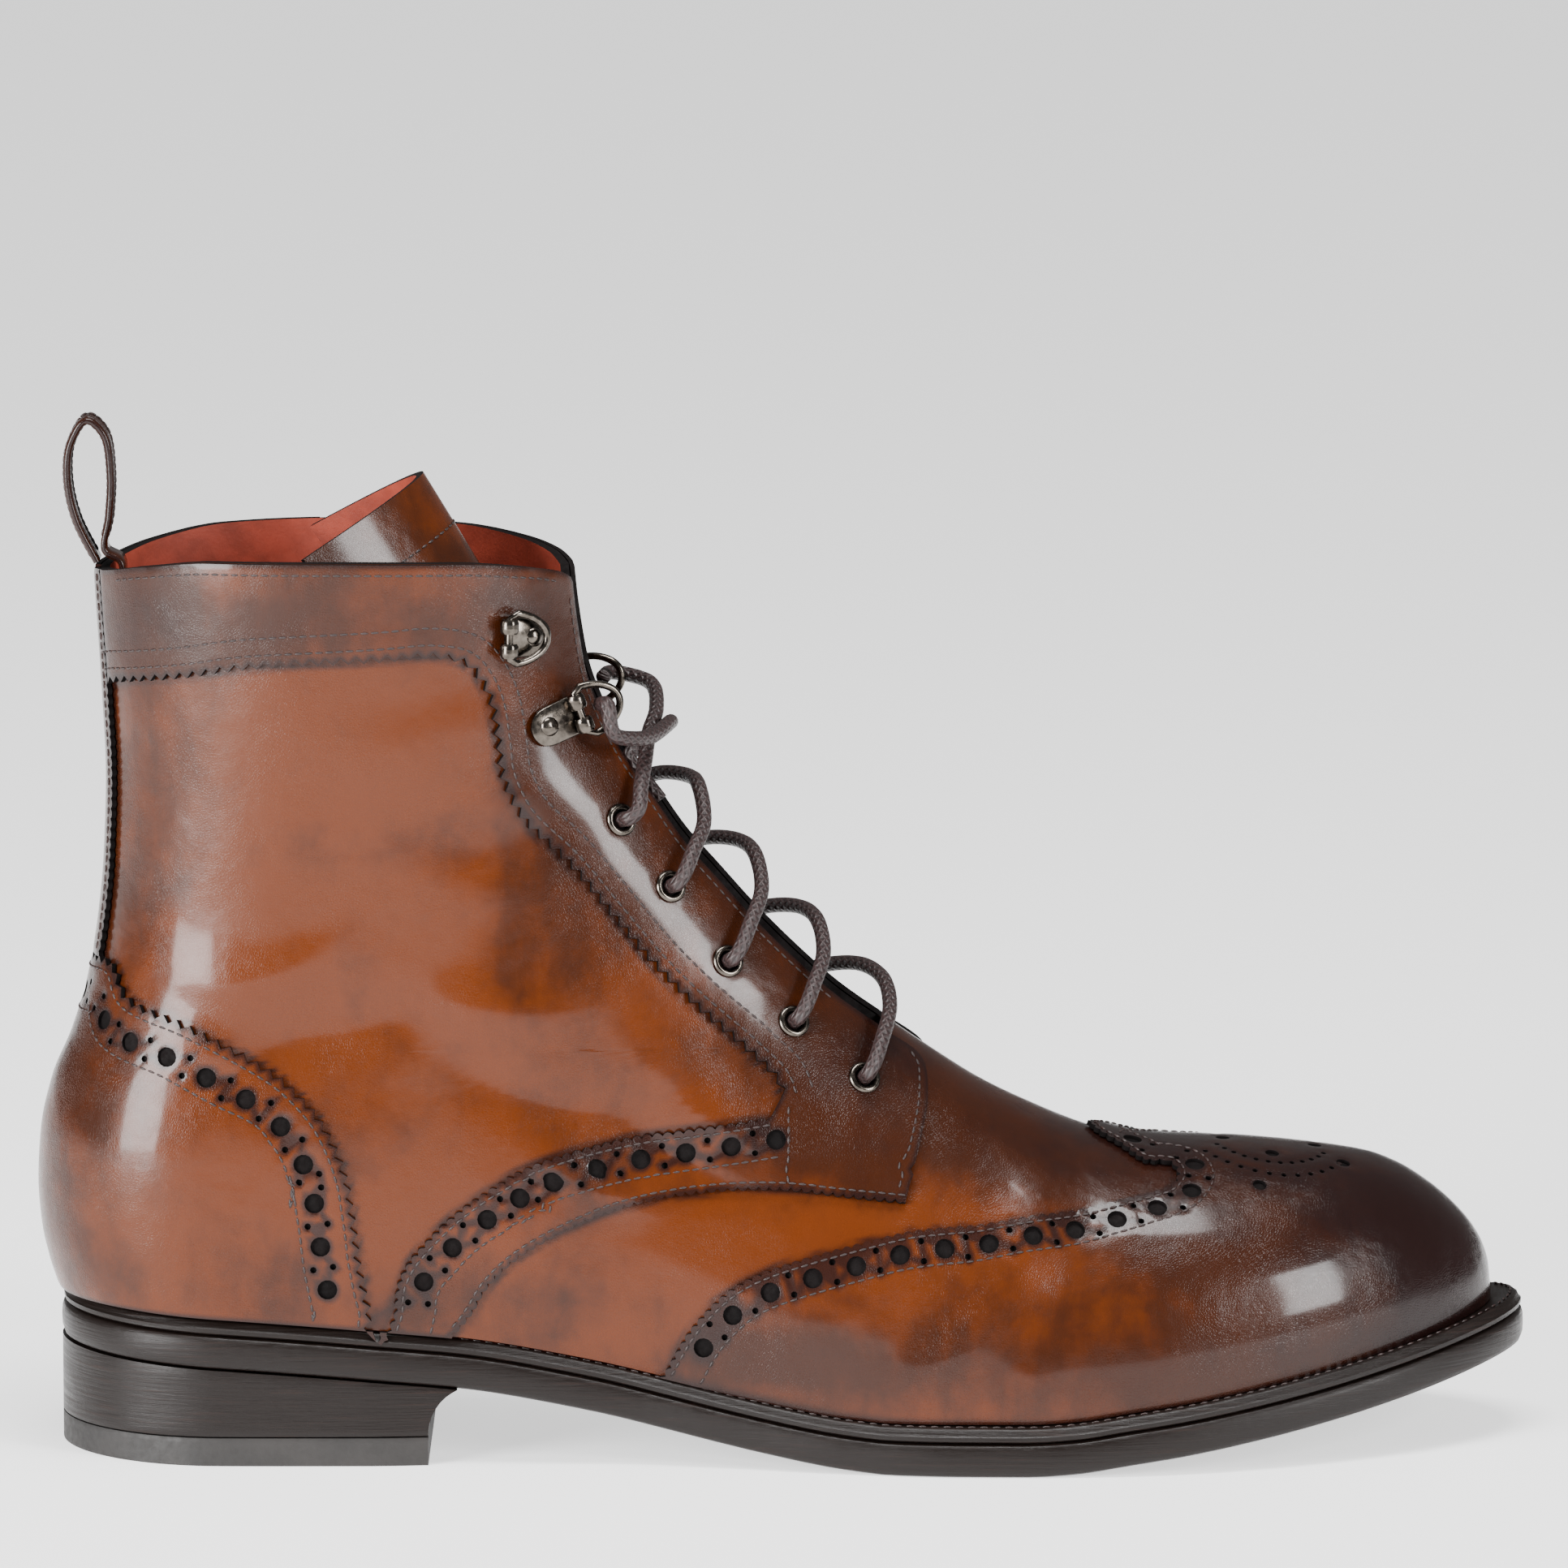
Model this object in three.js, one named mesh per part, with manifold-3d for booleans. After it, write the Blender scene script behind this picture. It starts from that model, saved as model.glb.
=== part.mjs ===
// Lace-up ankle boot for the right foot, with a wing cap, punched bands and a zip on the inner side.
// Millimetres. +X runs to the toe, +Y to the inner (medial) side, +Z up. Inside the functions x is
// measured from the back end of the sole; the whole boot is moved at the end, so that the origin is
// the middle of the flat underside of the heel.
import * as THREE from 'three';
import Module from 'manifold-3d';

const wasm = await Module();
wasm.setup();

// Driving sizes of the last and the shaft
const soleLength = 311;
const ballWidth = 99.6;
const waistWidth = 62.4;
const heelWidth = 66.4;
const ankleWidth = 58.8;
const collarWidth = 69;
const collarHeight = 192;
const instepRise = 77.7;
const forepartSwing = 12;
// Driving sizes of the sole unit
const heelHeight = 22.7;
const liftThickness = 6;
const heelLength = 78.5;
const breastSweep = 10;
const toeSpring = 18.5;
const soleThickness = 7;
const weltThickness = 3;
const insoleThickness = 2.5;
const edgeBevel = 0.8;
// Leather
const wall = 2;
const overlayThickness = 1.2;
const tongueThickness = 1.8;
const gap = 0.3;
const footGap = 0.5;
const backStripWidth = 17;
const throatGapLow = 17;
const throatGapHigh = 22;
// Fittings
const eyeletOuter = 6.8;
const eyeletBarrel = 5;
const eyeletBore = 4;
const eyeletFlange = 0.7;
const laceDiameter = 3.2;
const ringWire = 1.6;
const ringWidth = 12.4;
const ringReach = 9.9;
const clipWidth = 8.4;
const clipPlate = 0.9;
const clipReach = 7.4;
const clipTail = 4.4;
const rivetDiameter = 4.4;
const rivetHeight = 1.1;
const zipWidth = 9;
const zipThickness = 1;
const zipChainWidth = 4.6;
const sliderLength = 11;
const sliderThickness = 2.6;
const tabLength = 21;
const tabWidth = 4.6;
const tabThickness = 1.1;
const loopWidth = 9;
const loopTape = 1.3;
const loopHeight = 30;

// Fineness of the upper's net
const rearColumns = 12;
const vampColumns = 10;
const lowRows = 6;
const shaftRows = 5;

// Sections of the sole, from heel to toe: edge half widths and the line of the underside
const planSections = [
  { along: 0.000, half: 0.482 * heelWidth },
  { along: 0.064, half: 0.491 * heelWidth },
  { along: 0.129, half: 0.500 * heelWidth },
  { along: 0.209, half: 0.497 * heelWidth },
  { along: 0.290, half: 0.500 * waistWidth },
  { along: 0.370, half: 0.500 * waistWidth },
  { along: 0.450, half: 0.361 * ballWidth },
  { along: 0.531, half: 0.432 * ballWidth },
  { along: 0.611, half: 0.487 * ballWidth },
  { along: 0.675, half: 0.500 * ballWidth },
  { along: 0.740, half: 0.492 * ballWidth },
  { along: 0.820, half: 0.462 * ballWidth },
  { along: 0.900, half: 0.427 * ballWidth },
  { along: 1.000, half: 0.382 * ballWidth },
];
const undersideSections = [
  { along: 0.000, height: 1.00 * heelHeight },
  { along: 0.129, height: 0.895 * heelHeight },
  { along: 0.231, height: 0.780 * heelHeight },
  { along: 0.289, height: 0.690 * heelHeight },
  { along: 0.354, height: 0.530 * heelHeight },
  { along: 0.412, height: 0.348 * heelHeight },
  { along: 0.482, height: 0.145 * heelHeight },
  { along: 0.537, height: 0.030 * heelHeight },
  { along: 0.566, height: 0 },
  { along: 0.656, height: 0 },
  { along: 0.691, height: 0.03 * toeSpring },
  { along: 0.724, height: 0.11 * toeSpring },
  { along: 0.772, height: 0.22 * toeSpring },
  { along: 0.820, height: 0.35 * toeSpring },
  { along: 0.868, height: 0.50 * toeSpring },
  { along: 0.916, height: 0.67 * toeSpring },
  { along: 1.000, height: 1.00 * toeSpring },
];
// How far the middle line of the last swings to the inner side
const middleSections = [
  { along: 0.00, swing: 0 },
  { along: 0.26, swing: -0.04 * forepartSwing },
  { along: 0.35, swing: -0.08 * forepartSwing },
  { along: 0.48, swing: 0.08 * forepartSwing },
  { along: 0.64, swing: 0.37 * forepartSwing },
  { along: 0.77, swing: 0.54 * forepartSwing },
  { along: 0.88, swing: 0.75 * forepartSwing },
  { along: 1.00, swing: 1.00 * forepartSwing },
];
// How far the upper stands in from the edge of the sole, and how much it swells above that line
const insetSections = [
  { along: 0.00, inset: 1.6, swell: 0.03 },
  { along: 0.22, inset: 1.6, swell: 0.03 },
  { along: 0.35, inset: 2.2, swell: 0.10 },
  { along: 0.48, inset: 4.2, swell: 0.07 },
  { along: 0.66, inset: 5.2, swell: 0.05 },
  { along: 1.00, inset: 5.2, swell: 0.04 },
];
// Back line of the upper: share of the shaft's height above the seat, share of the sole's length
const backSections = [
  { rise: 0.000, along: 0.0026 },
  { rise: 0.044, along: -0.0045 },
  { rise: 0.088, along: -0.0090 },
  { rise: 0.142, along: -0.0109 },
  { rise: 0.208, along: -0.0090 },
  { rise: 0.277, along: -0.0013 },
  { rise: 0.340, along: 0.0122 },
  { rise: 0.409, along: 0.0232 },
  { rise: 0.497, along: 0.0313 },
  { rise: 0.585, along: 0.0357 },
  { rise: 0.692, along: 0.0376 },
  { rise: 0.799, along: 0.0354 },
  { rise: 1.000, along: 0.0299 },
  { rise: 1.100, along: 0.0288 },
];
// Front line of the throat, from the top of the instep to the collar
const throatSections = [
  { rise: 0.000, along: 0.5691 },
  { rise: 0.067, along: 0.5389 },
  { rise: 0.142, along: 0.5116 },
  { rise: 0.225, along: 0.4843 },
  { rise: 0.308, along: 0.4595 },
  { rise: 0.390, along: 0.4351 },
  { rise: 0.482, along: 0.4132 },
  { rise: 0.572, along: 0.3913 },
  { rise: 0.663, along: 0.3746 },
  { rise: 0.731, along: 0.3659 },
  { rise: 0.798, along: 0.3611 },
  { rise: 0.885, along: 0.3569 },
  { rise: 1.038, along: 0.3521 },
];
// Crown of the vamp and toe: share of the instep's rise above the seat
const crownSections = [
  { along: 0.5691, rise: 1.000 },
  { along: 0.5991, rise: 0.916 },
  { along: 0.6251, rise: 0.848 },
  { along: 0.6576, rise: 0.780 },
  { along: 0.6900, rise: 0.718 },
  { along: 0.7122, rise: 0.676 },
  { along: 0.7344, rise: 0.642 },
  { along: 0.7569, rise: 0.620 },
  { along: 0.8013, rise: 0.584 },
  { along: 0.8460, rise: 0.535 },
  { along: 0.8907, rise: 0.471 },
  { along: 0.9116, rise: 0.421 },
  { along: 0.9325, rise: 0.349 },
  { along: 0.9486, rise: 0.278 },
  { along: 0.9627, rise: 0.196 },
  { along: 0.9704, rise: 0.118 },
  { along: 0.9730, rise: 0.030 },
];
const tipAlong = 0.9730;
// Half widths of the shaft, and how round its back and front are
const shaftSections = [
  { rise: 0.00, half: 0.467 * heelWidth, backRound: 0.51 * heelWidth, frontRound: 1.19 * collarWidth },
  { rise: 0.11, half: 0.474 * heelWidth, backRound: 0.52 * heelWidth, frontRound: 1.19 * collarWidth },
  { rise: 0.23, half: 0.464 * heelWidth, backRound: 0.53 * heelWidth, frontRound: 1.19 * collarWidth },
  { rise: 0.36, half: 0.503 * ankleWidth, backRound: 0.54 * heelWidth, frontRound: 1.18 * collarWidth },
  { rise: 0.50, half: 0.500 * ankleWidth, backRound: 0.58 * heelWidth, frontRound: 1.12 * collarWidth },
  { rise: 0.64, half: 0.517 * ankleWidth, backRound: 0.62 * heelWidth, frontRound: 0.98 * collarWidth },
  { rise: 0.80, half: 0.467 * collarWidth, backRound: 0.69 * heelWidth, frontRound: 0.78 * collarWidth },
  { rise: 1.00, half: 0.500 * collarWidth, backRound: 0.75 * heelWidth, frontRound: 0.72 * collarWidth },
];
// Line of the collar: share of the way from back to front, drop below the collar's height
const collarSections = [
  { share: 0.00, drop: 5.4 },
  { share: 0.10, drop: 2.6 },
  { share: 0.25, drop: 0.4 },
  { share: 0.50, drop: 0 },
  { share: 0.75, drop: 0.6 },
  { share: 0.88, drop: 2.2 },
  { share: 0.95, drop: 4.2 },
  { share: 0.98, drop: 7.2 },
  { share: 1.00, drop: 11.5 },
];

// Smooth curve through a table's rows, without overshoot
function curve(rows, key, value, at) {
  const last = rows.length - 1;
  if (at <= rows[0][key]) return rows[0][value];
  if (at >= rows[last][key]) return rows[last][value];
  let i = 0;
  while (rows[i + 1][key] < at) i += 1;
  const slope = (j) => (rows[j + 1][value] - rows[j][value]) / (rows[j + 1][key] - rows[j][key]);
  const tangent = (j) => {
    if (j === 0) return slope(0);
    if (j === last) return slope(last - 1);
    const before = slope(j - 1);
    const after = slope(j);
    return before * after <= 0 ? 0 : (2 * before * after) / (before + after);
  };
  const step = rows[i + 1][key] - rows[i][key];
  const t = (at - rows[i][key]) / step;
  return (2 * t - 3) * t * t * rows[i][value] + rows[i][value]
    + (t - 1) * (t - 1) * t * step * tangent(i)
    + (3 - 2 * t) * t * t * rows[i + 1][value]
    + (t - 1) * t * t * step * tangent(i + 1);
}

const clamp01 = (t) => Math.min(Math.max(t, 0), 1);
const ease = (from, to, at) => {
  const t = clamp01((at - from) / (to - from));
  return t * t * (3 - 2 * t);
};
const mix = (a, b, t) => a + (b - a) * t;
// Quarter round: 0 at a closing line, 1 a radius away from it
const roundOff = (distance, radius) => Math.sqrt(1 - (1 - clamp01(distance / radius)) ** 2);

// Sole
const toeRoundAlong = 0.714;
const toeRoundPower = 2.5;
const underside = (x) => curve(undersideSections, 'along', 'height', x / soleLength);
const welted = soleThickness + gap + weltThickness;
const seat = (x) => underside(x) + welted;
const middle = (x) => curve(middleSections, 'along', 'swing', x / soleLength);
const toeRound = (x, end) => {
  const start = toeRoundAlong * soleLength;
  return Math.sqrt(1 - clamp01((x - start) / (end - start)) ** toeRoundPower);
};
const plainHalf = (x) => curve(planSections, 'along', 'half', x / soleLength);
const soleHalf = (x) => plainHalf(x) * roundOff(x, 0.5 * heelWidth) * toeRound(x, soleLength);

// Upper, as a half width over its own side view
const tipX = tipAlong * soleLength;
const throatX = throatSections[0].along * soleLength;
const heelSeat = seat(0);
const shaftRise = collarHeight - heelSeat;
const instepTop = seat(throatX) + instepRise;
const backX = (z) => soleLength * curve(backSections, 'rise', 'along', (z - heelSeat) / shaftRise);
const throatRise = collarHeight - instepTop;
const crownRows = crownSections.map((row) => ({
  x: row.along * soleLength,
  z: seat(row.along * soleLength) + row.rise * instepRise,
}));
const throatRows = throatSections.map((row) => ({
  x: row.along * soleLength,
  z: instepTop + row.rise * throatRise,
}));
const frontRows = [...throatRows.slice(1).reverse(), ...crownRows];
const frontRowsByHeight = [...frontRows].reverse();
const frontX = (z) => curve(frontRowsByHeight, 'z', 'x', z);
const openTopSlope = 8;
function frontZ(x) {
  const first = frontRows[0];
  return x < first.x ? first.z + (first.x - x) * openTopSlope : curve(frontRows, 'x', 'z', x);
}
const crownPower = [
  { along: 0.48, power: 1.6 },
  { along: 0.57, power: 1.65 },
  { along: 0.77, power: 2.1 },
  { along: 0.97, power: 2.3 },
];
const swellHeight = 52;
const featherHalf = (x) => (plainHalf(x) - curve(insetSections, 'along', 'inset', x / soleLength)) * toeRound(x, tipX);
function halfWidth(x, z) {
  const fromBack = x - backX(z);
  if (fromBack <= 0) return 0;
  const rise = (z - heelSeat) / shaftRise;
  const backRound = roundOff(fromBack, curve(shaftSections, 'rise', 'backRound', rise));
  const low = seat(x);
  const share = clamp01((z - low) / Math.max(frontZ(x) - low, 1e-6));
  const power = curve(crownPower, 'along', 'power', x / soleLength);
  const swell = curve(insetSections, 'along', 'swell', x / soleLength);
  const arch = Math.sqrt(1 - share ** power) * (1 + swell * Math.sin(Math.PI * clamp01((z - low) / swellHeight)));
  const foot = featherHalf(x) * arch * backRound;
  const shaftShare = ease(0.107, 0.453, rise) * (1 - ease(0.514, 0.66, x / soleLength));
  if (shaftShare <= 0) return foot;
  const frontRound = roundOff(frontX(z) - x, curve(shaftSections, 'rise', 'frontRound', rise));
  const leg = curve(shaftSections, 'rise', 'half', rise) * backRound * frontRound;
  return mix(foot, leg, shaftShare);
}
const ridgeY = (x, z) => middle(x) * (1 - 0.5 * ease(0.17, 0.547, (z - heelSeat) / shaftRise));
const lateral = -1;
const medial = 1;
const skin = (x, z, side) => new THREE.Vector3(x, ridgeY(x, z) + side * halfWidth(x, z), z);
function skinNormal(x, z, side) {
  const step = 0.4;
  const alongX = skin(x + step, z, side).sub(skin(x - step, z, side));
  const alongZ = skin(x, z + step, side).sub(skin(x, z - step, side));
  return alongX.cross(alongZ).multiplyScalar(-side).normalize();
}
const skinPoint = (x, z, side, offset) => skin(x, z, side).addScaledVector(skinNormal(x, z, side), offset);

// Meshes and booleans
function geometryOf(points, faces) {
  const geometry = new THREE.BufferGeometry();
  geometry.setAttribute('position', new THREE.Float32BufferAttribute(points.flatMap((p) => [p.x, p.y, p.z]), 3));
  geometry.setIndex(faces.flat());
  return geometry;
}
function weld(geometry) {
  const positions = geometry.attributes.position;
  const order = geometry.index ? Array.from(geometry.index.array) : Array.from({ length: positions.count }, (_, i) => i);
  const seen = new Map();
  const points = [];
  const merged = order.map((i) => {
    const key = [positions.getX(i), positions.getY(i), positions.getZ(i)].map((v) => Math.round(v * 2000)).join();
    if (!seen.has(key)) {
      seen.set(key, points.length);
      points.push(new THREE.Vector3().fromBufferAttribute(positions, i));
    }
    return seen.get(key);
  });
  const faces = [];
  for (let i = 0; i < merged.length; i += 3) {
    const [a, b, c] = merged.slice(i, i + 3);
    if (a !== b && b !== c && a !== c) faces.push([a, b, c]);
  }
  return { points, faces };
}
function solidOf(geometry) {
  const { points, faces } = weld(geometry);
  return new wasm.Manifold(new wasm.Mesh({
    numProp: 3,
    vertProperties: new Float32Array(points.flatMap((p) => [p.x, p.y, p.z])),
    triVerts: new Uint32Array(faces.flat()),
  }));
}
const meshTolerance = 0.08;
function geometryFromSolid(solid) {
  const mesh = solid.simplify(meshTolerance).getMesh();
  const geometry = new THREE.BufferGeometry();
  geometry.setAttribute('position', new THREE.BufferAttribute(new Float32Array(mesh.vertProperties), 3));
  geometry.setIndex(Array.from(mesh.triVerts));
  return geometry;
}

// Net of the upper: both sides share their back line, throat line, crown and toe tip
const columns = rearColumns + vampColumns;
const rows = lowRows + shaftRows;
const rowsAt = (k) => (k <= rearColumns ? rows : lowRows);
const isShared = (k, j) => k === 0 || k === columns || (k >= rearColumns && j >= lowRows);
const baseZ = (x) => seat(x) + footGap;
function netPlace(k, j) {
  const up = Math.sin((Math.PI / 2) * Math.min(j / lowRows, 1));
  if (k > rearColumns) {
    const x = mix(throatX, tipX, Math.sin((Math.PI / 2) * ((k - rearColumns) / vampColumns)));
    return { x, z: mix(baseZ(x), Math.max(frontZ(x), baseZ(x) + 0.05), up) };
  }
  const lowShare = 1 - Math.cos((Math.PI / 2) * (k / rearColumns));
  const highShare = 0.5 - 0.5 * Math.cos(Math.PI * (k / rearColumns));
  const share = mix(lowShare, highShare, clamp01(j / lowRows));
  if (j <= lowRows) {
    const z = mix(baseZ(share * throatX), instepTop, up);
    return { x: mix(backX(z), throatX, share), z };
  }
  const collarZ = collarHeight - curve(collarSections, 'share', 'drop', share);
  const z = mix(instepTop, collarZ, (j - lowRows) / shaftRows);
  return { x: mix(backX(z), frontX(z), share), z };
}
const net = (() => {
  const points = [];
  const faces = [];
  const index = new Map();
  const at = (side, k, j) => {
    const key = `${isShared(k, j) ? 0 : side},${k},${j}`;
    if (!index.has(key)) {
      const { x, z } = netPlace(k, j);
      index.set(key, points.length);
      points.push(isShared(k, j) ? new THREE.Vector3(x, ridgeY(x, z), z) : skin(x, z, side));
    }
    return index.get(key);
  };
  for (const side of [lateral, medial]) {
    for (let k = 0; k < columns; k += 1) {
      for (let j = 0; j < Math.min(rowsAt(k), rowsAt(k + 1)); j += 1) {
        const [a, b, c, d] = [at(side, k, j), at(side, k + 1, j), at(side, k + 1, j + 1), at(side, k, j + 1)];
        const quad = side === lateral ? [[a, b, c], [a, c, d]] : [[a, c, b], [a, d, c]];
        faces.push(...quad.filter(([p, q, r]) => p !== q && q !== r && p !== r));
      }
    }
  }
  const normals = points.map(() => new THREE.Vector3());
  for (const [a, b, c] of faces) {
    const normal = points[b].clone().sub(points[a]).cross(points[c].clone().sub(points[a]));
    for (const corner of [a, b, c]) normals[corner].add(normal);
  }
  normals.forEach((normal) => normal.normalize());
  const loop = (last, j) => {
    const there = Array.from({ length: last + 1 }, (_, k) => at(lateral, k, j));
    const back = Array.from({ length: last - 1 }, (_, i) => at(medial, last - 1 - i, j));
    return [...there, ...back];
  };
  return { points, faces, normals, foot: loop(columns, 0), collar: loop(rearColumns, rows) };
})();

// Closed solid of the last's shape, offset from the upper's outer face; reach lengthens it at both ends
function lastForm(offset, reach) {
  const points = net.points.map((point, i) => point.clone().addScaledVector(net.normals[i], offset));
  for (const i of [...net.foot, ...net.collar]) points[i].z = net.points[i].z;
  const faces = [...net.faces];
  const closeLoop = (loop, shift, upward) => {
    const ring = shift === 0 ? loop : loop.map((i) => points.push(points[i].clone().setZ(points[i].z + shift)) - 1);
    const count = loop.length;
    for (let i = 0; shift !== 0 && i < count; i += 1) {
      const n = (i + 1) % count;
      const quad = [[loop[i], ring[n], loop[n]], [loop[i], ring[i], ring[n]]];
      faces.push(...quad.map(([a, b, c]) => (upward ? [a, c, b] : [a, b, c])));
    }
    for (let i = 0; i < count / 2; i += 1) {
      const [a, b, c, d] = [ring[i], ring[i + 1], ring[(2 * count - i - 1) % count], ring[(count - i) % count]];
      const quad = [[a, c, b], [a, d, c]].filter(([p, q, r]) => p !== q && q !== r && p !== r);
      faces.push(...quad.map(([p, q, r]) => (upward ? [p, r, q] : [p, q, r])));
    }
  };
  closeLoop(net.foot, -reach, false);
  closeLoop(net.collar, reach, true);
  return solidOf(geometryOf(points, faces));
}

// Closed solid lofted through sections that each have the same number of corners
function loft(sections) {
  const size = sections[0].length;
  const points = sections.flat();
  const faces = [];
  for (let s = 0; s < sections.length - 1; s += 1) {
    for (let i = 0; i < size; i += 1) {
      const n = (i + 1) % size;
      const [a, b, c, d] = [s * size + i, s * size + n, (s + 1) * size + n, (s + 1) * size + i];
      faces.push([a, b, c], [a, c, d]);
    }
  }
  const last = (sections.length - 1) * size;
  for (let i = 0; i < size / 2 - 1; i += 1) {
    const [a, b, c, d] = [i, i + 1, size - 2 - i, size - 1 - i];
    faces.push([a, c, b], [a, d, c], [last + a, last + b, last + c], [last + a, last + c, last + d]);
  }
  return outward(geometryOf(points, faces));
}
function outward(geometry) {
  const { points, faces } = weld(geometry);
  let volume = 0;
  for (const [a, b, c] of faces) volume += points[a].dot(points[b].clone().cross(points[c]));
  return geometryOf(points, volume < 0 ? faces.map(([a, b, c]) => [a, c, b]) : faces);
}
// Prism along Y over an outline in the side view
function prism(outline, fromY, toY) {
  const shape = new THREE.Shape(outline.map(([x, z]) => new THREE.Vector2(x, z)));
  const geometry = new THREE.ExtrudeGeometry(shape, { depth: toY - fromY, bevelEnabled: false });
  geometry.rotateX(Math.PI / 2).translate(0, toY, 0);
  return solidOf(outward(geometry));
}
// Tube along points; a closed one has no ends
function tube(path, radius, sides, closed) {
  const count = path.length;
  const tangentAt = (i) => {
    const before = closed ? path[(i + count - 1) % count] : path[Math.max(i - 1, 0)];
    const after = closed ? path[(i + 1) % count] : path[Math.min(i + 1, count - 1)];
    return after.clone().sub(before).normalize();
  };
  let across = new THREE.Vector3(0, 0, 1).cross(tangentAt(0));
  if (across.length() < 0.2) across = new THREE.Vector3(1, 0, 0).cross(tangentAt(0));
  const points = [];
  for (let i = 0; i < count; i += 1) {
    const tangent = tangentAt(i);
    across.addScaledVector(tangent, -across.dot(tangent)).normalize();
    const up = tangent.clone().cross(across);
    for (let s = 0; s < sides; s += 1) {
      const angle = (2 * Math.PI * s) / sides;
      points.push(path[i].clone()
        .addScaledVector(across, radius * Math.cos(angle))
        .addScaledVector(up, radius * Math.sin(angle)));
    }
  }
  const faces = [];
  const spans = closed ? count : count - 1;
  for (let i = 0; i < spans; i += 1) {
    for (let s = 0; s < sides; s += 1) {
      const n = (s + 1) % sides;
      const next = ((i + 1) % count) * sides;
      faces.push([i * sides + s, i * sides + n, next + n], [i * sides + s, next + n, next + s]);
    }
  }
  for (let s = 1; !closed && s < sides - 1; s += 1) {
    const last = (count - 1) * sides;
    faces.push([0, s + 1, s], [last, last + s, last + s + 1]);
  }
  return outward(geometryOf(points, faces));
}

// Sole unit
const soleStations = 24;
const flatFrom = 0.566 * soleLength;
const flatTo = 0.656 * soleLength;
function soleXs(from, to, end) {
  const xs = [];
  for (let i = 0; i <= soleStations; i += 1) {
    const share = 0.5 - 0.5 * Math.cos((Math.PI * i) / soleStations);
    const even = i / soleStations;
    xs.push(mix(0, end, mix(share, even, 0.35)));
  }
  const close = 2.4;
  const kept = xs.filter((x) => x > from + close && x < to - close
    && Math.abs(x - flatFrom) > close && Math.abs(x - flatTo) > close);
  const flats = [flatFrom, flatTo].filter((x) => x > from + close && x < to - close);
  return [from, ...kept, ...flats, to].sort((a, b) => a - b);
}
function plate(xs, half, top, bottom, bevel) {
  const sections = xs.map((x) => {
    const w = Math.max(half(x), 0.5);
    const m = middle(x);
    const cut = Math.min(bevel, 0.3 * w);
    const [t, b] = [top(x), bottom(x)];
    return [
      new THREE.Vector3(x, m - w + cut, b), new THREE.Vector3(x, m - w, b + cut),
      new THREE.Vector3(x, m - w, t - cut), new THREE.Vector3(x, m - w + cut, t),
      new THREE.Vector3(x, m + w - cut, t), new THREE.Vector3(x, m + w, t - cut),
      new THREE.Vector3(x, m + w, b + cut), new THREE.Vector3(x, m + w - cut, b),
    ];
  });
  return loft(sections);
}
const endStep = 0.4;
const wholeSole = soleXs(endStep, soleLength - endStep, soleLength);
const outsole = plate(wholeSole, soleHalf, (x) => underside(x) + soleThickness, underside, edgeBevel);

// Welt, a ring under the edge of the upper
const weltInner = (x) => featherHalf(x) * roundOff(x - backX(heelSeat), 0.5 * heelWidth) - wall - gap;
const weltPlate = plate(wholeSole, (x) => soleHalf(x) - 0.4, seat, (x) => underside(x) + soleThickness + gap, 0.5);
const innerFrom = 0.035 * soleLength;
const innerTo = tipX - 2.2 * (wall + gap);
const innerXs = soleXs(innerFrom, innerTo, soleLength);
const cutReach = 4;
const weltHole = plate(innerXs, weltInner, (x) => seat(x) + cutReach, (x) => underside(x) + soleThickness - cutReach, 0);
const welt = geometryFromSolid(solidOf(weltPlate).subtract(solidOf(weltHole)));

// Insole, inside the welt and the upper
const formReach = 8;
const insoleXs = soleXs(innerFrom + gap, innerTo - gap, soleLength);
const insolePlate = plate(insoleXs, (x) => weltInner(x) - 2 * gap, (x) => seat(x) + insoleThickness,
  (x) => underside(x) + soleThickness + gap, 0.5);
const insole = geometryFromSolid(solidOf(insolePlate).intersect(lastForm(-wall - gap, formReach)));

// Heel: stacked block with a swept breast, and the top lift under it
const heelInset = 0.2;
function heelSolid(top, bottom, inset) {
  const long = heelLength + breastSweep + 4;
  const xs = [endStep, ...soleXs(endStep, long, soleLength).filter((x) => x > 3 && x < long), long];
  return solidOf(plate([...new Set(xs)], (x) => soleHalf(x) - inset, top, bottom, 0.3));
}
const breastHeight = underside(heelLength + breastSweep);
const straightBreast = 0.42 * breastHeight;
const breastOutline = [[-10, -5], [heelLength, -5], [heelLength, straightBreast]];
for (let i = 1; i <= 6; i += 1) {
  const angle = (Math.PI / 2) * (i / 6);
  breastOutline.push([
    heelLength + breastSweep * (1 - Math.cos(angle)),
    straightBreast + (breastHeight - straightBreast + 1) * Math.sin(angle),
  ]);
}
breastOutline.push([heelLength + breastSweep, 60], [-10, 60]);
const breast = prism(breastOutline, -ballWidth, ballWidth);
const heelBlock = geometryFromSolid(
  heelSolid((x) => underside(x) - gap, () => liftThickness + gap, heelInset).intersect(breast));
const topLift = geometryFromSolid(heelSolid(() => liftThickness, () => 0, heelInset).intersect(breast));

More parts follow.
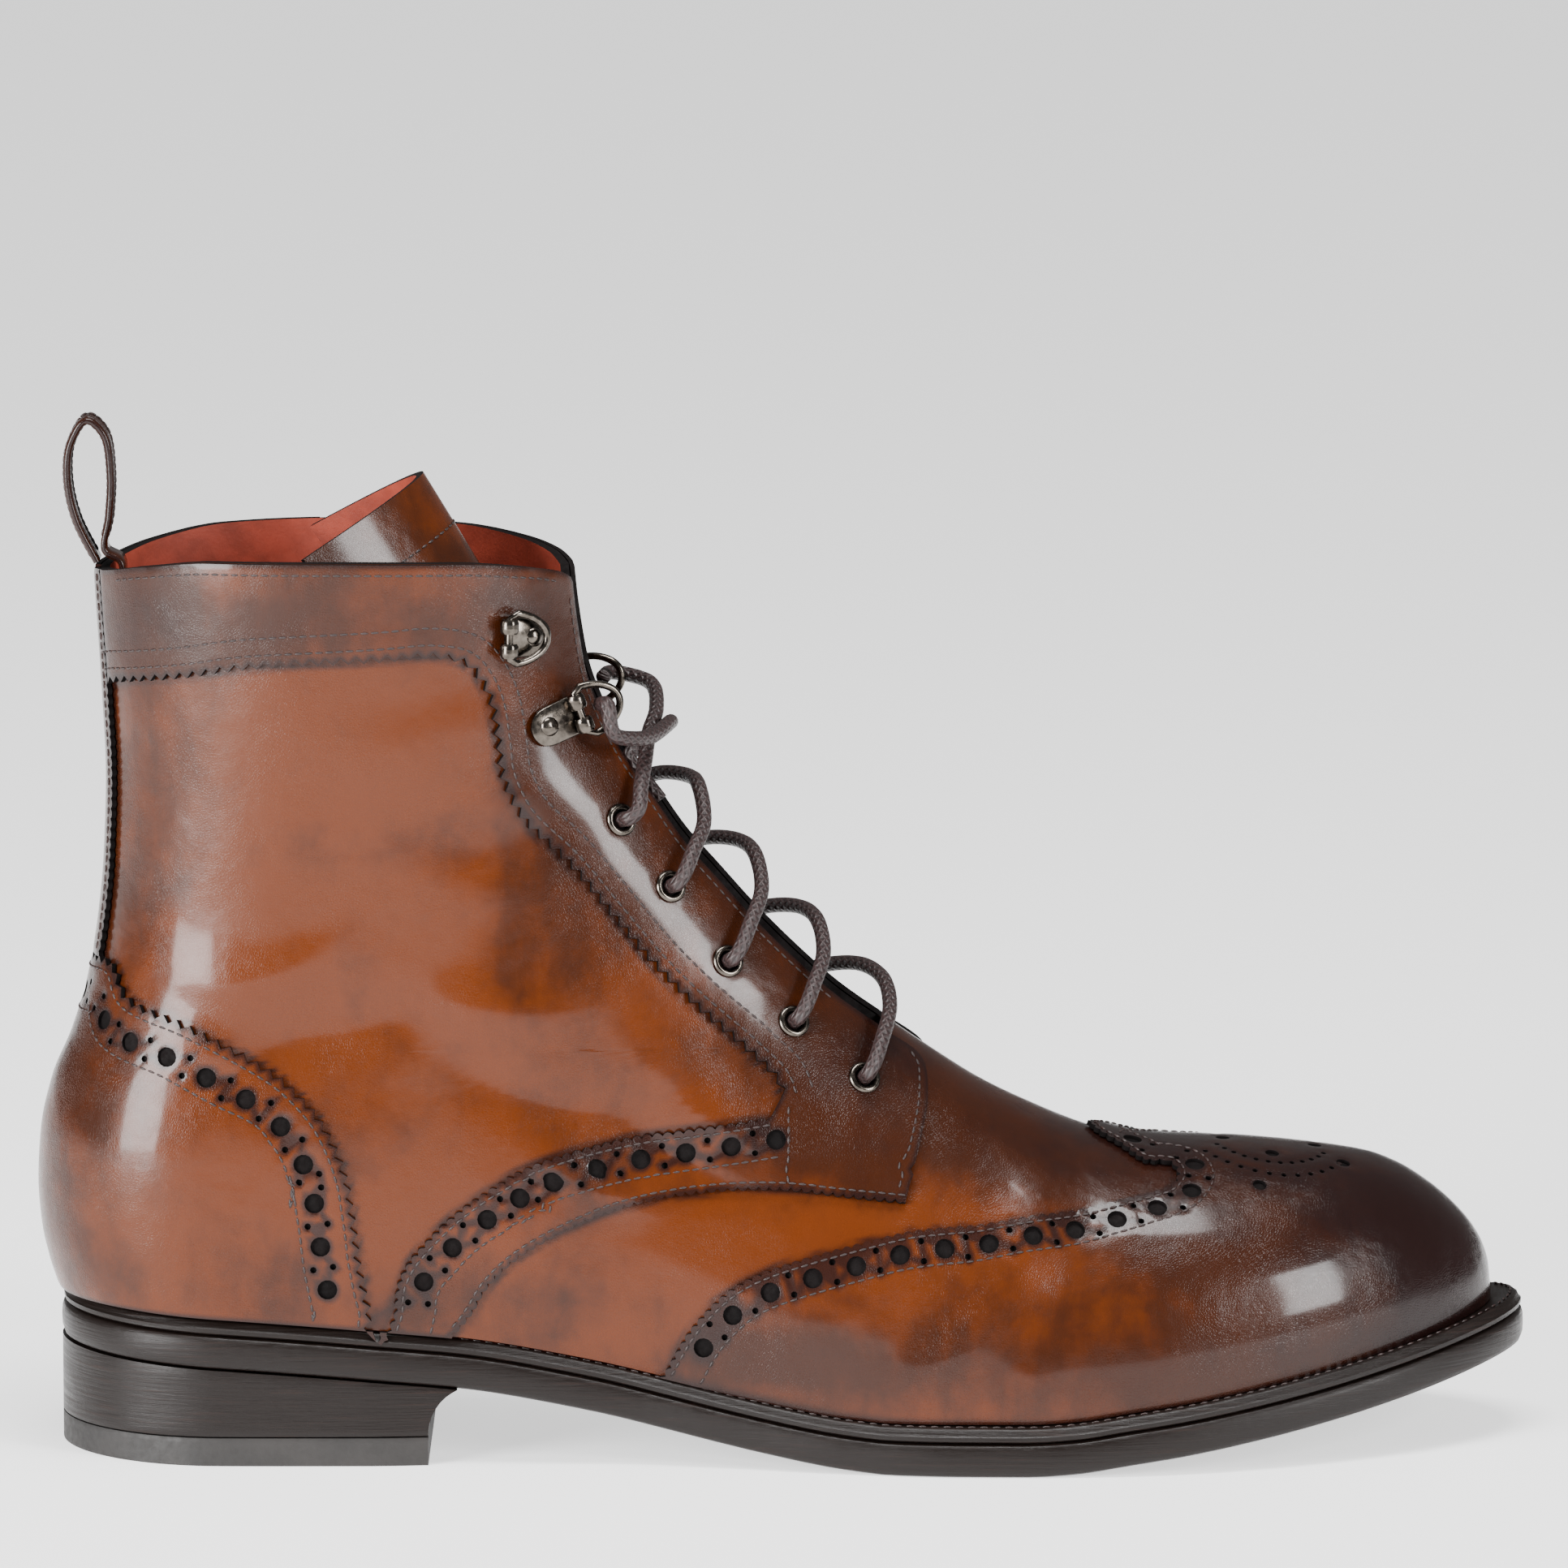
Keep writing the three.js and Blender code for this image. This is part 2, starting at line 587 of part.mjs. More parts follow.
// Throat slot between the facings
const slotDepth = 15;
const slotSections = throatRows.map((row, i) => {
  const before = throatRows[Math.max(i - 1, 0)];
  const after = throatRows[Math.min(i + 1, throatRows.length - 1)];
  const along = new THREE.Vector2(after.x - before.x, after.z - before.z).normalize();
  const [outX, outZ] = [along.y, -along.x];
  const half = 0.5 * mix(throatGapLow, throatGapHigh, i / (throatRows.length - 1));
  const deep = i === 0 ? wall + 4 : slotDepth;
  const y = ridgeY(row.x, row.z);
  const corner = (depth, side) => new THREE.Vector3(row.x - outX * depth, y + side * half, row.z - outZ * depth);
  return [corner(deep, -1), corner(-slotDepth, -1), corner(-slotDepth, 1), corner(deep, 1)];
});
const lastSlot = slotSections[slotSections.length - 1].map((p) => p.clone().setZ(p.z + slotDepth));
const throatSlot = solidOf(loft([...slotSections, lastSlot]));

// A place on or inside the throat: share of its rise, and depth behind its front line as a share of the collar's width
function behindThroat(row) {
  const z = instepTop + row.rise * throatRise;
  return { ...row, x: frontX(z) - row.behind * collarWidth, z };
}
const eyeletPlaces = [
  { rise: -0.0798, behind: 0.2789 },
  { rise: 0.0356, behind: 0.2472 },
  { rise: 0.1615, behind: 0.2341 },
  { rise: 0.3143, behind: 0.1960 },
  { rise: 0.4528, behind: 0.1772 },
].map(behindThroat);
const faceOffset = gap + overlayThickness;
const up = new THREE.Vector3(0, 0, 1);
// Moves a geometry made about +Z onto the upper, with +Z along the face's normal
function onSkin(geometry, place, side, offset) {
  const turn = new THREE.Quaternion().setFromUnitVectors(up, skinNormal(place.x, place.z, side));
  const point = skinPoint(place.x, place.z, side, offset);
  return geometry.clone().applyQuaternion(turn).translate(point.x, point.y, point.z);
}
const eyeletSides = 8;
const holeRadius = 0.5 * eyeletBarrel + gap;
const holeRod = new THREE.CylinderGeometry(holeRadius, holeRadius, 14, eyeletSides);
holeRod.rotateX(Math.PI / 2).rotateZ(Math.PI / 2);
const holeCutters = [lateral, medial].flatMap((side) => (
  eyeletPlaces.map((place) => solidOf(onSkin(holeRod, place, side, 0)))));
const withoutHoles = (solid) => holeCutters.reduce((left, cutter) => left.subtract(cutter), solid);

// Upper: one hollow shell, open at the collar, the throat and the foot
const outerForm = lastForm(0, 0);
const innerForm = lastForm(-wall, formReach);
const upper = geometryFromSolid(withoutHoles(outerForm.subtract(innerForm).subtract(throatSlot)));

// Overlays, cut from the layer between two larger forms
const layer = lastForm(faceOffset, 0).subtract(lastForm(gap, formReach));
const outlineOf = (table) => table.map((row) => [row.x * soleLength, row.z * collarHeight]);
const above = 1.2;
const below = -0.1;
const wingOutline = outlineOf([
  { x: 0.6992, z: 0.3560 },
  { x: 0.7051, z: 0.3385 },
  { x: 0.7215, z: 0.3286 },
  { x: 0.7379, z: 0.3188 },
  { x: 0.7543, z: 0.3089 },
  { x: 0.7595, z: 0.2995 },
  { x: 0.7537, z: 0.2911 },
  { x: 0.7315, z: 0.2839 },
  { x: 0.6759, z: 0.2729 },
  { x: 0.6209, z: 0.2656 },
  { x: 0.5662, z: 0.2568 },
  { x: 0.5116, z: 0.2354 },
  { x: 0.4569, z: 0.1984 },
  { x: 0.4292, z: 0.1521 },
  { x: 0.4128, z: 0.1052 },
  { x: 0.4092, z: below },
  { x: 1.1000, z: below },
  { x: 1.1000, z: 0.3560 },
]);
const counterOutline = outlineOf([
  { x: -0.1000, z: 0.5417 },
  { x: 0.0418, z: 0.5417 },
  { x: 0.0508, z: 0.5120 },
  { x: 0.0907, z: 0.4880 },
  { x: 0.1292, z: 0.4573 },
  { x: 0.1620, z: 0.4219 },
  { x: 0.1836, z: 0.3818 },
  { x: 0.1974, z: 0.3328 },
  { x: 0.2038, z: 0.2792 },
  { x: 0.2080, z: 0.2250 },
  { x: 0.2132, z: 0.1406 },
  { x: 0.2152, z: below },
  { x: -0.1000, z: below },
]);
const facingOutline = outlineOf([
  { x: -0.1000, z: above },
  { x: -0.1000, z: 0.8490 },
  { x: 0.0437, z: 0.8521 },
  { x: 0.1344, z: 0.8818 },
  { x: 0.2276, z: 0.8917 },
  { x: 0.2563, z: 0.8938 },
  { x: 0.2778, z: 0.8854 },
  { x: 0.2884, z: 0.8630 },
  { x: 0.2939, z: 0.8401 },
  { x: 0.2981, z: 0.7995 },
  { x: 0.3016, z: 0.7594 },
  { x: 0.3151, z: 0.7141 },
  { x: 0.3424, z: 0.6682 },
  { x: 0.3749, z: 0.6042 },
  { x: 0.4022, z: 0.5505 },
  { x: 0.4296, z: 0.5052 },
  { x: 0.4678, z: 0.4505 },
  { x: 0.4868, z: 0.4193 },
  { x: 0.4910, z: 0.4021 },
  { x: 0.4842, z: 0.3823 },
  { x: 0.4296, z: 0.3714 },
  { x: 0.3749, z: 0.3583 },
  { x: 0.3257, z: 0.3365 },
  { x: 0.2874, z: 0.3010 },
  { x: 0.2543, z: 0.2563 },
  { x: 0.2325, z: 0.2068 },
  { x: 0.2212, z: 0.1354 },
  { x: 0.2202, z: below },
  { x: 0.2682, z: below },
  { x: 0.2733, z: 0.1505 },
  { x: 0.2926, z: 0.1969 },
  { x: 0.3199, z: 0.2385 },
  { x: 0.3694, z: 0.2776 },
  { x: 0.4296, z: 0.2990 },
  { x: 0.4897, z: 0.3031 },
  { x: 0.5389, z: 0.2943 },
  { x: 0.5746, z: 0.2880 },
  { x: 0.5855, z: 0.3583 },
  { x: 0.5887, z: 0.4120 },
  { x: 0.5772, z: 0.4550 },
  { x: 0.5932, z: 0.4900 },
  { x: 0.5932, z: above },
]);
const wingCap = geometryFromSolid(layer.intersect(prism(wingOutline, -ballWidth, ballWidth)));
const counter = geometryFromSolid(layer.intersect(prism(counterOutline, -ballWidth, ballWidth)));
const stripBottom = counterOutline[0][1] + gap;
function stripPrism(width) {
  const [front, top] = [0.12 * soleLength, 1.2 * collarHeight];
  return prism([[-20, stripBottom], [front, stripBottom], [front, top], [-20, top]], -0.5 * width, 0.5 * width);
}
const backStrip = geometryFromSolid(layer.intersect(stripPrism(backStripWidth)));

// Zip on the inner side: a slanted strip from the collar to just above the sole
const zipTop = { x: 0.193 * soleLength, z: 0.985 * collarHeight };
const zipFoot = { x: 0.228 * soleLength, z: 0.36 * collarHeight };
function zipOutline(width, extraTop, extraFoot) {
  const along = new THREE.Vector2(zipFoot.x - zipTop.x, zipFoot.z - zipTop.z).normalize();
  const [ax, az] = [along.y * 0.5 * width, -along.x * 0.5 * width];
  const top = [zipTop.x - along.x * extraTop, zipTop.z - along.y * extraTop];
  const foot = [zipFoot.x + along.x * extraFoot, zipFoot.z + along.y * extraFoot];
  return [
    [top[0] + ax, top[1] + az], [foot[0] + ax, foot[1] + az],
    [foot[0] - ax, foot[1] - az], [top[0] - ax, top[1] - az],
  ];
}
const zipLayer = lastForm(gap + zipThickness, 0).subtract(lastForm(gap, formReach));
const zipTape = geometryFromSolid(zipLayer.intersect(prism(zipOutline(zipWidth, 0, 0), 5, ballWidth)));
const zipCut = prism(zipOutline(zipWidth + 2 * gap, 20, gap), 5, ballWidth);

// Facings, each in one piece with its half of the cuff and its punched band; the zip parts the medial cuff
const besideStrip = stripPrism(backStripWidth + 2 * gap);
const [facingLateral, facingMedial] = [lateral, medial].map((side) => {
  const [from, to] = side === lateral ? [-ballWidth, 0] : [0, ballWidth];
  const cut = layer.intersect(prism(facingOutline, from, to)).subtract(throatSlot).subtract(besideStrip);
  return withoutHoles(side === medial ? cut.subtract(zipCut) : cut);
});
const [facingMedialFront, cuffMedialBack] = facingMedial.decompose().sort((a, b) => b.volume() - a.volume());

const named = (name, geometry, material) => {
  const mesh = new THREE.Mesh(geometry, material);
  mesh.name = name;
  return mesh;
};
const finish = (colour, roughness, metalness) => new THREE.MeshStandardMaterial({ color: colour, roughness, metalness });
const calf = finish(0x7a3511, 0.32, 0);
const darkCalf = finish(0x4a2414, 0.35, 0);
const soleEdge = finish(0x21140f, 0.45, 0);
const rubberLift = finish(0x15100e, 0.7, 0);
const lining = finish(0xa5402c, 0.6, 0);
const waxedCord = finish(0x35211f, 0.8, 0);
const gunmetal = finish(0x8d8576, 0.28, 1);

// Tongue: a thin curled sheet behind the throat that leans back inside the shaft. Half widths are shares of
// the ball's width, and curl is the sheet's bend over that width.
const tongueSections = [
  { rise: -0.0721, behind: 0.0684, half: 0.1305, curl: 3.586 },
  { rise: -0.0241, behind: 0.0797, half: 0.1406, curl: 4.183 },
  { rise: 0.0433, behind: 0.0979, half: 0.1606, curl: 4.482 },
  { rise: 0.1297, behind: 0.1075, half: 0.1707, curl: 4.582 },
  { rise: 0.2355, behind: 0.1102, half: 0.1807, curl: 4.681 },
  { rise: 0.3509, behind: 0.1063, half: 0.1908, curl: 4.681 },
  { rise: 0.4759, behind: 0.1080, half: 0.2008, curl: 4.582 },
  { rise: 0.6106, behind: 0.0986, half: 0.2159, curl: 4.482 },
  { rise: 0.7692, behind: 0.1645, half: 0.2309, curl: 4.382 },
  { rise: 0.9424, behind: 0.2955, half: 0.2510, curl: 4.283 },
  { rise: 1.1394, behind: 0.4638, half: 0.2610, curl: 4.183 },
];
const tongueCells = 9;
const tongue = (() => {
  const path = tongueSections.map(behindThroat).map((row) => (
    { ...row, half: row.half * ballWidth, curl: row.curl / ballWidth }));
  return loft(path.map((row, i) => {
    const before = path[Math.max(i - 1, 0)];
    const after = path[Math.min(i + 1, path.length - 1)];
    const along = new THREE.Vector2(after.x - before.x, after.z - before.z).normalize();
    const [inX, inZ] = [-along.y, along.x];
    const middleY = ridgeY(row.x, row.z);
    const points = [];
    for (const face of [0, 1]) {
      for (let c = 0; c <= tongueCells; c += 1) {
        const share = face === 0 ? c / tongueCells : 1 - c / tongueCells;
        const y = mix(-row.half, row.half, share);
        const depth = row.curl * y * y;
        const lean = Math.atan(2 * row.curl * y);
        const thick = face * tongueThickness;
        const inward = depth + thick * Math.cos(lean);
        points.push(new THREE.Vector3(row.x + inX * inward, middleY + y - thick * Math.sin(lean), row.z + inZ * inward));
      }
    }
    return points;
  }));
})();

// Pull loop: a folded tape at the back of the collar, its tail sewn to the inside
const loopRows = [
  { x: -0.007, z: 0 },
  { x: -0.153, z: 0.30 },
  { x: -0.210, z: 0.58 },
  { x: -0.187, z: 0.83 },
  { x: -0.073, z: 1.00 },
  { x: 0.047, z: 0.90 },
  { x: 0.093, z: 0.62 },
  { x: 0.080, z: 0.32 },
  { x: 0.050, z: 0.08 },
];
const loopTail = 0.47 * loopHeight;
const pullLoop = (() => {
  const foot = { x: backX(collarHeight) - 0.2, z: collarHeight - collarSections[0].drop + loopTape };
  const places = loopRows.map((row) => new THREE.Vector3(foot.x + row.x * loopHeight, foot.z + row.z * loopHeight, 0));
  const bent = new THREE.CatmullRomCurve3(places, false, 'centripetal').getPoints(26);
  const tailEnd = foot.z - loopTail;
  const insideX = (z) => backX(z) + wall + 3.5 * gap + 0.5 * loopTape;
  const tail = [foot.z, foot.z - 0.5 * loopTail, tailEnd].map((z) => (
    new THREE.Vector3(Math.max(insideX(z), insideX(tailEnd)), z, 0)));
  const path = [...bent, ...tail];
  return loft(path.map((point, i) => {
    const before = path[Math.max(i - 1, 0)];
    const after = path[Math.min(i + 1, path.length - 1)];
    const along = after.clone().sub(before).normalize();
    const [nx, nz] = [-along.y * 0.5 * loopTape, along.x * 0.5 * loopTape];
    const half = 0.5 * loopWidth;
    return [
      new THREE.Vector3(point.x + nx, -half, point.y + nz), new THREE.Vector3(point.x - nx, -half, point.y - nz),
      new THREE.Vector3(point.x - nx, half, point.y - nz), new THREE.Vector3(point.x + nx, half, point.y + nz),
    ];
  }));
})();

// Fittings are made in a frame of their own: +X along the face, +Y across, +Z out of it
function frameOnSkin(place, side, offset, alongX, alongZ) {
  const out = skinNormal(place.x, place.z, side);
  const along = new THREE.Vector3(alongX, 0, alongZ);
  along.y = -(along.x * out.x + along.z * out.z) / out.y;
  along.normalize();
  const across = out.clone().cross(along);
  const origin = skinPoint(place.x, place.z, side, offset);
  return new THREE.Matrix4().makeBasis(along, across, out).setPosition(origin);
}
const inFrame = (geometry, frame) => geometry.clone().applyMatrix4(frame);

// Eyelet: a flange on the facing and a barrel through it
const eyelet = new THREE.LatheGeometry([
  [0.5 * eyeletBore, eyeletFlange],
  [0.5 * eyeletBore, -overlayThickness - gap - wall - gap],
  [0.5 * eyeletBarrel, -overlayThickness - gap - wall - gap],
  [0.5 * eyeletBarrel, 0],
  [0.5 * eyeletOuter, 0],
  [0.5 * eyeletOuter - 0.5 * eyeletFlange, eyeletFlange],
  [0.5 * eyeletBore, eyeletFlange],
].map(([r, h]) => new THREE.Vector2(r, h)), eyeletSides);
eyelet.rotateX(Math.PI / 2);
const eyeletSeat = faceOffset + 2 * gap;
const eyelets = [lateral, medial].flatMap((side) => eyeletPlaces.map((place, i) => ({
  name: `eyelet_${side === lateral ? 'lateral' : 'medial'}_${i + 1}`,
  geometry: outward(onSkin(eyelet, place, side, eyeletSeat)),
})));

// D-ring clips: a folded plate with a rivet, its eye round the straight bar of the ring
const clipPlaces = [
  { level: 'low', x: 0.3305 * soleLength, z: 0.811 * collarHeight, alongX: 1, alongZ: 0.38, ringAngle: 12 },
  { level: 'top', x: 0.3199 * soleLength, z: 0.9115 * collarHeight, alongX: -1, alongZ: 0.06, ringAngle: 174 },
];
const clipLift = 0.7;
const eyeRadius = 0.5 * ringWire + gap + clipPlate;
const eyeSides = 8;
const ringSides = 5;
const clipShape = new THREE.Shape();
clipShape.moveTo(clipReach, -0.5 * clipWidth);
clipShape.lineTo(clipReach, 0.5 * clipWidth);
clipShape.lineTo(0, 0.5 * clipWidth);
for (let i = 1; i < 6; i += 1) {
  const angle = Math.PI / 2 + (Math.PI * i) / 6;
  clipShape.lineTo(clipTail * Math.cos(angle), 0.5 * clipWidth * Math.sin(angle));
}
clipShape.lineTo(0, -0.5 * clipWidth);
const clipSolid = (() => {
  const plateSolid = solidOf(outward(new THREE.ExtrudeGeometry(clipShape, { depth: clipPlate, bevelEnabled: false })));
  const rod = (radius, length) => {
    const cylinder = new THREE.CylinderGeometry(radius, radius, length, eyeSides);
    return solidOf(outward(cylinder.translate(clipReach, 0, 0).translate(0, 0, eyeRadius)));
  };
  const dome = new THREE.LatheGeometry([
    [0, rivetHeight + clipPlate],
    [0.3 * rivetDiameter, 0.75 * rivetHeight + clipPlate],
    [0.5 * rivetDiameter, clipPlate],
    [0.5 * rivetDiameter, 0.5 * clipPlate],
    [0, 0.5 * clipPlate],
  ].map(([r, h]) => new THREE.Vector2(r, h)), eyeSides);
  dome.rotateX(Math.PI / 2);
  return plateSolid.add(rod(eyeRadius, clipWidth)).subtract(rod(0.5 * ringWire + gap, 2 * clipWidth))
    .add(solidOf(outward(dome)));
})();
const clipGeometry = geometryFromSolid(clipSolid);
function ringGeometry(degrees) {
  const half = 0.5 * ringWidth - 0.5 * ringWire;
  const reach = ringReach - 0.5 * ringWire;
  const flat = [[-0.75 * half, 0], [0.75 * half, 0], [0.95 * half, 0.07 * reach]];
  for (let i = 0; i <= 8; i += 1) {
    const angle = (Math.PI * (i + 0.6)) / 9.2;
    flat.push([half * Math.cos(angle), reach * Math.sin(angle)]);
  }
  flat.push([-0.95 * half, 0.07 * reach]);
  const turn = THREE.MathUtils.degToRad(degrees);
  const path = flat.map(([across, away]) => new THREE.Vector3(
    clipReach + away * Math.cos(turn), across, eyeRadius + away * Math.sin(turn)));
  return tube(path, 0.5 * ringWire, ringSides, true);
}
const fittings = [lateral, medial].flatMap((side) => clipPlaces.flatMap((place) => {
  const frame = frameOnSkin(place, side, faceOffset + clipLift, place.alongX, place.alongZ);
  const name = `${side === lateral ? 'lateral' : 'medial'}_${place.level}`;
  return [
    { name: `ring_clip_${name}`, geometry: outward(inFrame(clipGeometry, frame)) },
    { name: `d_ring_${name}`, geometry: outward(inFrame(ringGeometry(place.ringAngle), frame)) },
  ];
}));

// Zip slider with its bridge, and the pull tab that hangs from it
const sliderDrop = 10;
const bridgeWire = 1.2;
const bridgeHeight = 2.1;
const zipAlong = new THREE.Vector2(zipFoot.x - zipTop.x, zipFoot.z - zipTop.z).normalize();
const sliderPlace = { x: zipTop.x + zipAlong.x * sliderDrop, z: zipTop.z + zipAlong.y * sliderDrop };
const sliderFrame = frameOnSkin(sliderPlace, medial, gap + zipThickness + gap, zipAlong.x, zipAlong.y);
const tabEye = 0.5 * bridgeWire + gap + 0.7;
const pinHeight = sliderThickness + bridgeHeight;
const slider = (() => {
  const [long, wide] = [0.5 * sliderLength, 0.5 * (zipWidth - 1)];
  const outline = [[-long, -wide], [0.4 * long, -wide], [long, -0.62 * wide], [long, 0.62 * wide],
    [0.4 * long, wide], [-long, wide]];
  const shape = new THREE.Shape(outline.map(([x, y]) => new THREE.Vector2(x, y)));
  const body = new THREE.ExtrudeGeometry(shape, { depth: sliderThickness, bevelEnabled: false });
  const legs = 0.5 * tabWidth + gap + 0.5 * bridgeWire;
  const bridge = [[-legs, 0.6 * sliderThickness], [-legs, pinHeight], [legs, pinHeight], [legs, 0.6 * sliderThickness]]
    .map(([y, z]) => new THREE.Vector3(0, y, z));
  return geometryFromSolid(solidOf(outward(body)).add(solidOf(tube(bridge, 0.5 * bridgeWire, 6, false))));
})();
const pullTab = (() => {
  const droop = THREE.MathUtils.degToRad(-4);
  const shape = new THREE.Shape();
  const neck = Math.asin((0.5 * tabThickness) / tabEye);
  for (let i = 0; i <= 8; i += 1) {
    const angle = neck + ((2 * Math.PI - 2 * neck) * i) / 8;
    const [x, z] = [tabEye * Math.cos(angle), tabEye * Math.sin(angle)];
    if (i === 0) shape.moveTo(x, z);
    else shape.lineTo(x, z);
  }
  shape.lineTo(tabLength, -0.5 * tabThickness);
  shape.lineTo(tabLength, 0.5 * tabThickness);
  const hole = new THREE.Path();
  for (let i = 0; i < 8; i += 1) {
    const angle = -(2 * Math.PI * i) / 8;
    const radius = 0.5 * bridgeWire + gap;
    if (i === 0) hole.moveTo(radius, 0);
    else hole.lineTo(radius * Math.cos(angle), radius * Math.sin(angle));
  }
  shape.holes.push(hole);
  const tab = new THREE.ExtrudeGeometry(shape, { depth: tabWidth, bevelEnabled: false });
  tab.rotateX(Math.PI / 2).translate(0, 0.5 * tabWidth, 0);
  tab.rotateY(-droop).translate(0, 0, pinHeight);
  return tab;
})();
fittings.push({ name: 'zip_slider', geometry: outward(inFrame(slider, sliderFrame)) });
fittings.push({ name: 'zip_pull', geometry: outward(inFrame(pullTab, sliderFrame)) });

// Lace: each crossing leaves a lateral eyelet, goes over the throat and enters the next medial eyelet.
// back is the share of the way from the front line to the eyelets, on the share of the way to the next
// eyelet, and lift the height over the upper's skin
const crossingRows = [
  { side: lateral, back: 1.00, on: 0.00, lift: 3.6 },
  { side: lateral, back: 1.02, on: 0.00, lift: 4.9 },
  { side: lateral, back: 0.86, on: 0.03, lift: 5.9 },
  { side: lateral, back: 0.55, on: 0.12, lift: 5.8 },
  { side: lateral, back: 0.14, on: 0.25, lift: 5.6 },
  { side: lateral, back: -0.10, on: 0.50, lift: 6.6 },
  { side: medial, back: 0.10, on: 0.68, lift: 6.6 },
  { side: medial, back: 0.45, on: 0.88, lift: 6.2 },
  { side: medial, back: 0.84, on: 0.98, lift: 6.2 },
  { side: medial, back: 1.02, on: 1.00, lift: 5.1 },
  { side: medial, back: 1.00, on: 1.00, lift: 3.7 },
];
const laceSides = 6;
const laceSteps = 12;
const frontOf = (place) => {
  const index = throatRows.findIndex((row, i) => {
    const next = throatRows[Math.min(i + 1, throatRows.length - 1)];
    return next.x - next.z < place.x - place.z;
  });
  const [from, to] = [throatRows[Math.max(index, 0)], throatRows[Math.max(index, 0) + 1]];
  const share = (from.x - from.z - place.x + place.z) / (from.x - from.z - to.x + to.z);
  return { x: mix(from.x, to.x, share), z: mix(from.z, to.z, share) };
};
function lacePlace(place, side, back, lift) {
  const front = frontOf(place);
  if (back < 0) return new THREE.Vector3(front.x + 0.7 * lift, ridgeY(front.x, front.z), front.z + 0.7 * lift);
  return skinPoint(mix(front.x, place.x, back), mix(front.z, place.z, back), side, lift);
}
const laceTube = (places, steps) => {
  const bend = new THREE.CatmullRomCurve3(places, false, 'centripetal');
  return tube(bend.getSpacedPoints(steps), 0.5 * laceDiameter, laceSides, false);
};
const crossings = eyeletPlaces.slice(0, -1).map((place, i) => laceTube(crossingRows.map((row) => {
  const next = eyeletPlaces[i + 1];
  const at = { x: mix(place.x, next.x, row.on), z: mix(place.z, next.z, row.on) };
  return lacePlace(at, row.side, row.back, row.lift);
}), laceSteps));
// The last crossing leaves the top lateral eyelet for the low medial ring, and the free end comes out of
// the low lateral ring, turns over the throat and stops at the top eyelets
const ringStrandRows = [
  { x: 0.3965, z: 0.7420, y: -0.245 },
  { x: 0.3990, z: 0.7640, y: -0.160 },
  { x: 0.4016, z: 0.7896, y: -0.029 },
  { x: 0.4062, z: 0.8083, y: 0.087 },
  { x: 0.4010, z: 0.8290, y: 0.246 },
];
const endStrandRows = [
  { x: 0.3781, z: 0.8052, y: -0.333 },
  { x: 0.3923, z: 0.7948, y: -0.261 },
  { x: 0.4058, z: 0.7938, y: -0.152 },
  { x: 0.4141, z: 0.7990, y: -0.044 },
  { x: 0.4158, z: 0.7958, y: 0.044 },
  { x: 0.4077, z: 0.7802, y: 0.123 },
  { x: 0.3942, z: 0.7667, y: 0.087 },
  { x: 0.3878, z: 0.7563, y: 0.052 },
  { x: 0.3974, z: 0.7344, y: 0.029 },
  { x: 0.4090, z: 0.7104, y: 0.015 },
];
const strandPlace = (row) => new THREE.Vector3(row.x * soleLength, row.y * collarWidth, row.z * collarHeight);
function ringCentre(side, lift) {
  const place = clipPlaces[0];
  const turn = THREE.MathUtils.degToRad(place.ringAngle);
  const away = 0.5 * ringReach;
  const point = new THREE.Vector3(
    clipReach + away * Math.cos(turn) - lift * Math.sin(turn), 0, eyeRadius + away * Math.sin(turn) + lift * Math.cos(turn));
  return point.applyMatrix4(frameOnSkin(place, side, faceOffset + clipLift, place.alongX, place.alongZ));
}
const inRing = -0.6;
const overRing = 3.8;
const topEyelet = eyeletPlaces[eyeletPlaces.length - 1];
const ringStrand = laceTube([
  ...crossingRows.slice(0, 3).map((row) => lacePlace(topEyelet, row.side, row.back, row.lift)),
  ...ringStrandRows.map(strandPlace), ringCentre(medial, overRing), ringCentre(medial, inRing),
], 1.4 * laceSteps);
const endStrand = laceTube([
  ringCentre(lateral, inRing), ringCentre(lateral, overRing), ...endStrandRows.map(strandPlace),
], 1.6 * laceSteps);

const boot = new THREE.Group();
const add = (name, geometry, material) => boot.add(named(name, geometry, material));
add('outsole', outsole, soleEdge);
add('welt', welt, soleEdge);
add('insole', insole, lining);
add('heel_block', heelBlock, soleEdge);
add('top_lift', topLift, rubberLift);
add('upper', upper, calf);
add('wing_cap', wingCap, darkCalf);
add('counter', counter, calf);
add('back_strip', backStrip, calf);
add('facing_lateral', geometryFromSolid(facingLateral), calf);
add('facing_medial', geometryFromSolid(facingMedialFront), calf);
add('cuff_medial_back', geometryFromSolid(cuffMedialBack), calf);
add('tongue', tongue, darkCalf);
add('pull_loop', pullLoop, darkCalf);
add('zip_tape', zipTape, darkCalf);
for (const { name, geometry } of [...eyelets, ...fittings]) add(name, geometry, gunmetal);
crossings.forEach((geometry, i) => add(`lace_crossing_${i + 1}`, geometry, waxedCord));
add('lace_to_ring', ringStrand, waxedCord);
add('lace_end', endStrand, waxedCord);
boot.position.x = -0.5 * heelLength;

export default boot;
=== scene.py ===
"""Lace-up ankle boot with wing cap and punched bands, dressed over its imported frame.

Lengths in the tables are millimetres in the last's own frame: x from the back of the sole to the toe,
y to the inner side, z up. to_frame() turns them into the model's metres.
"""

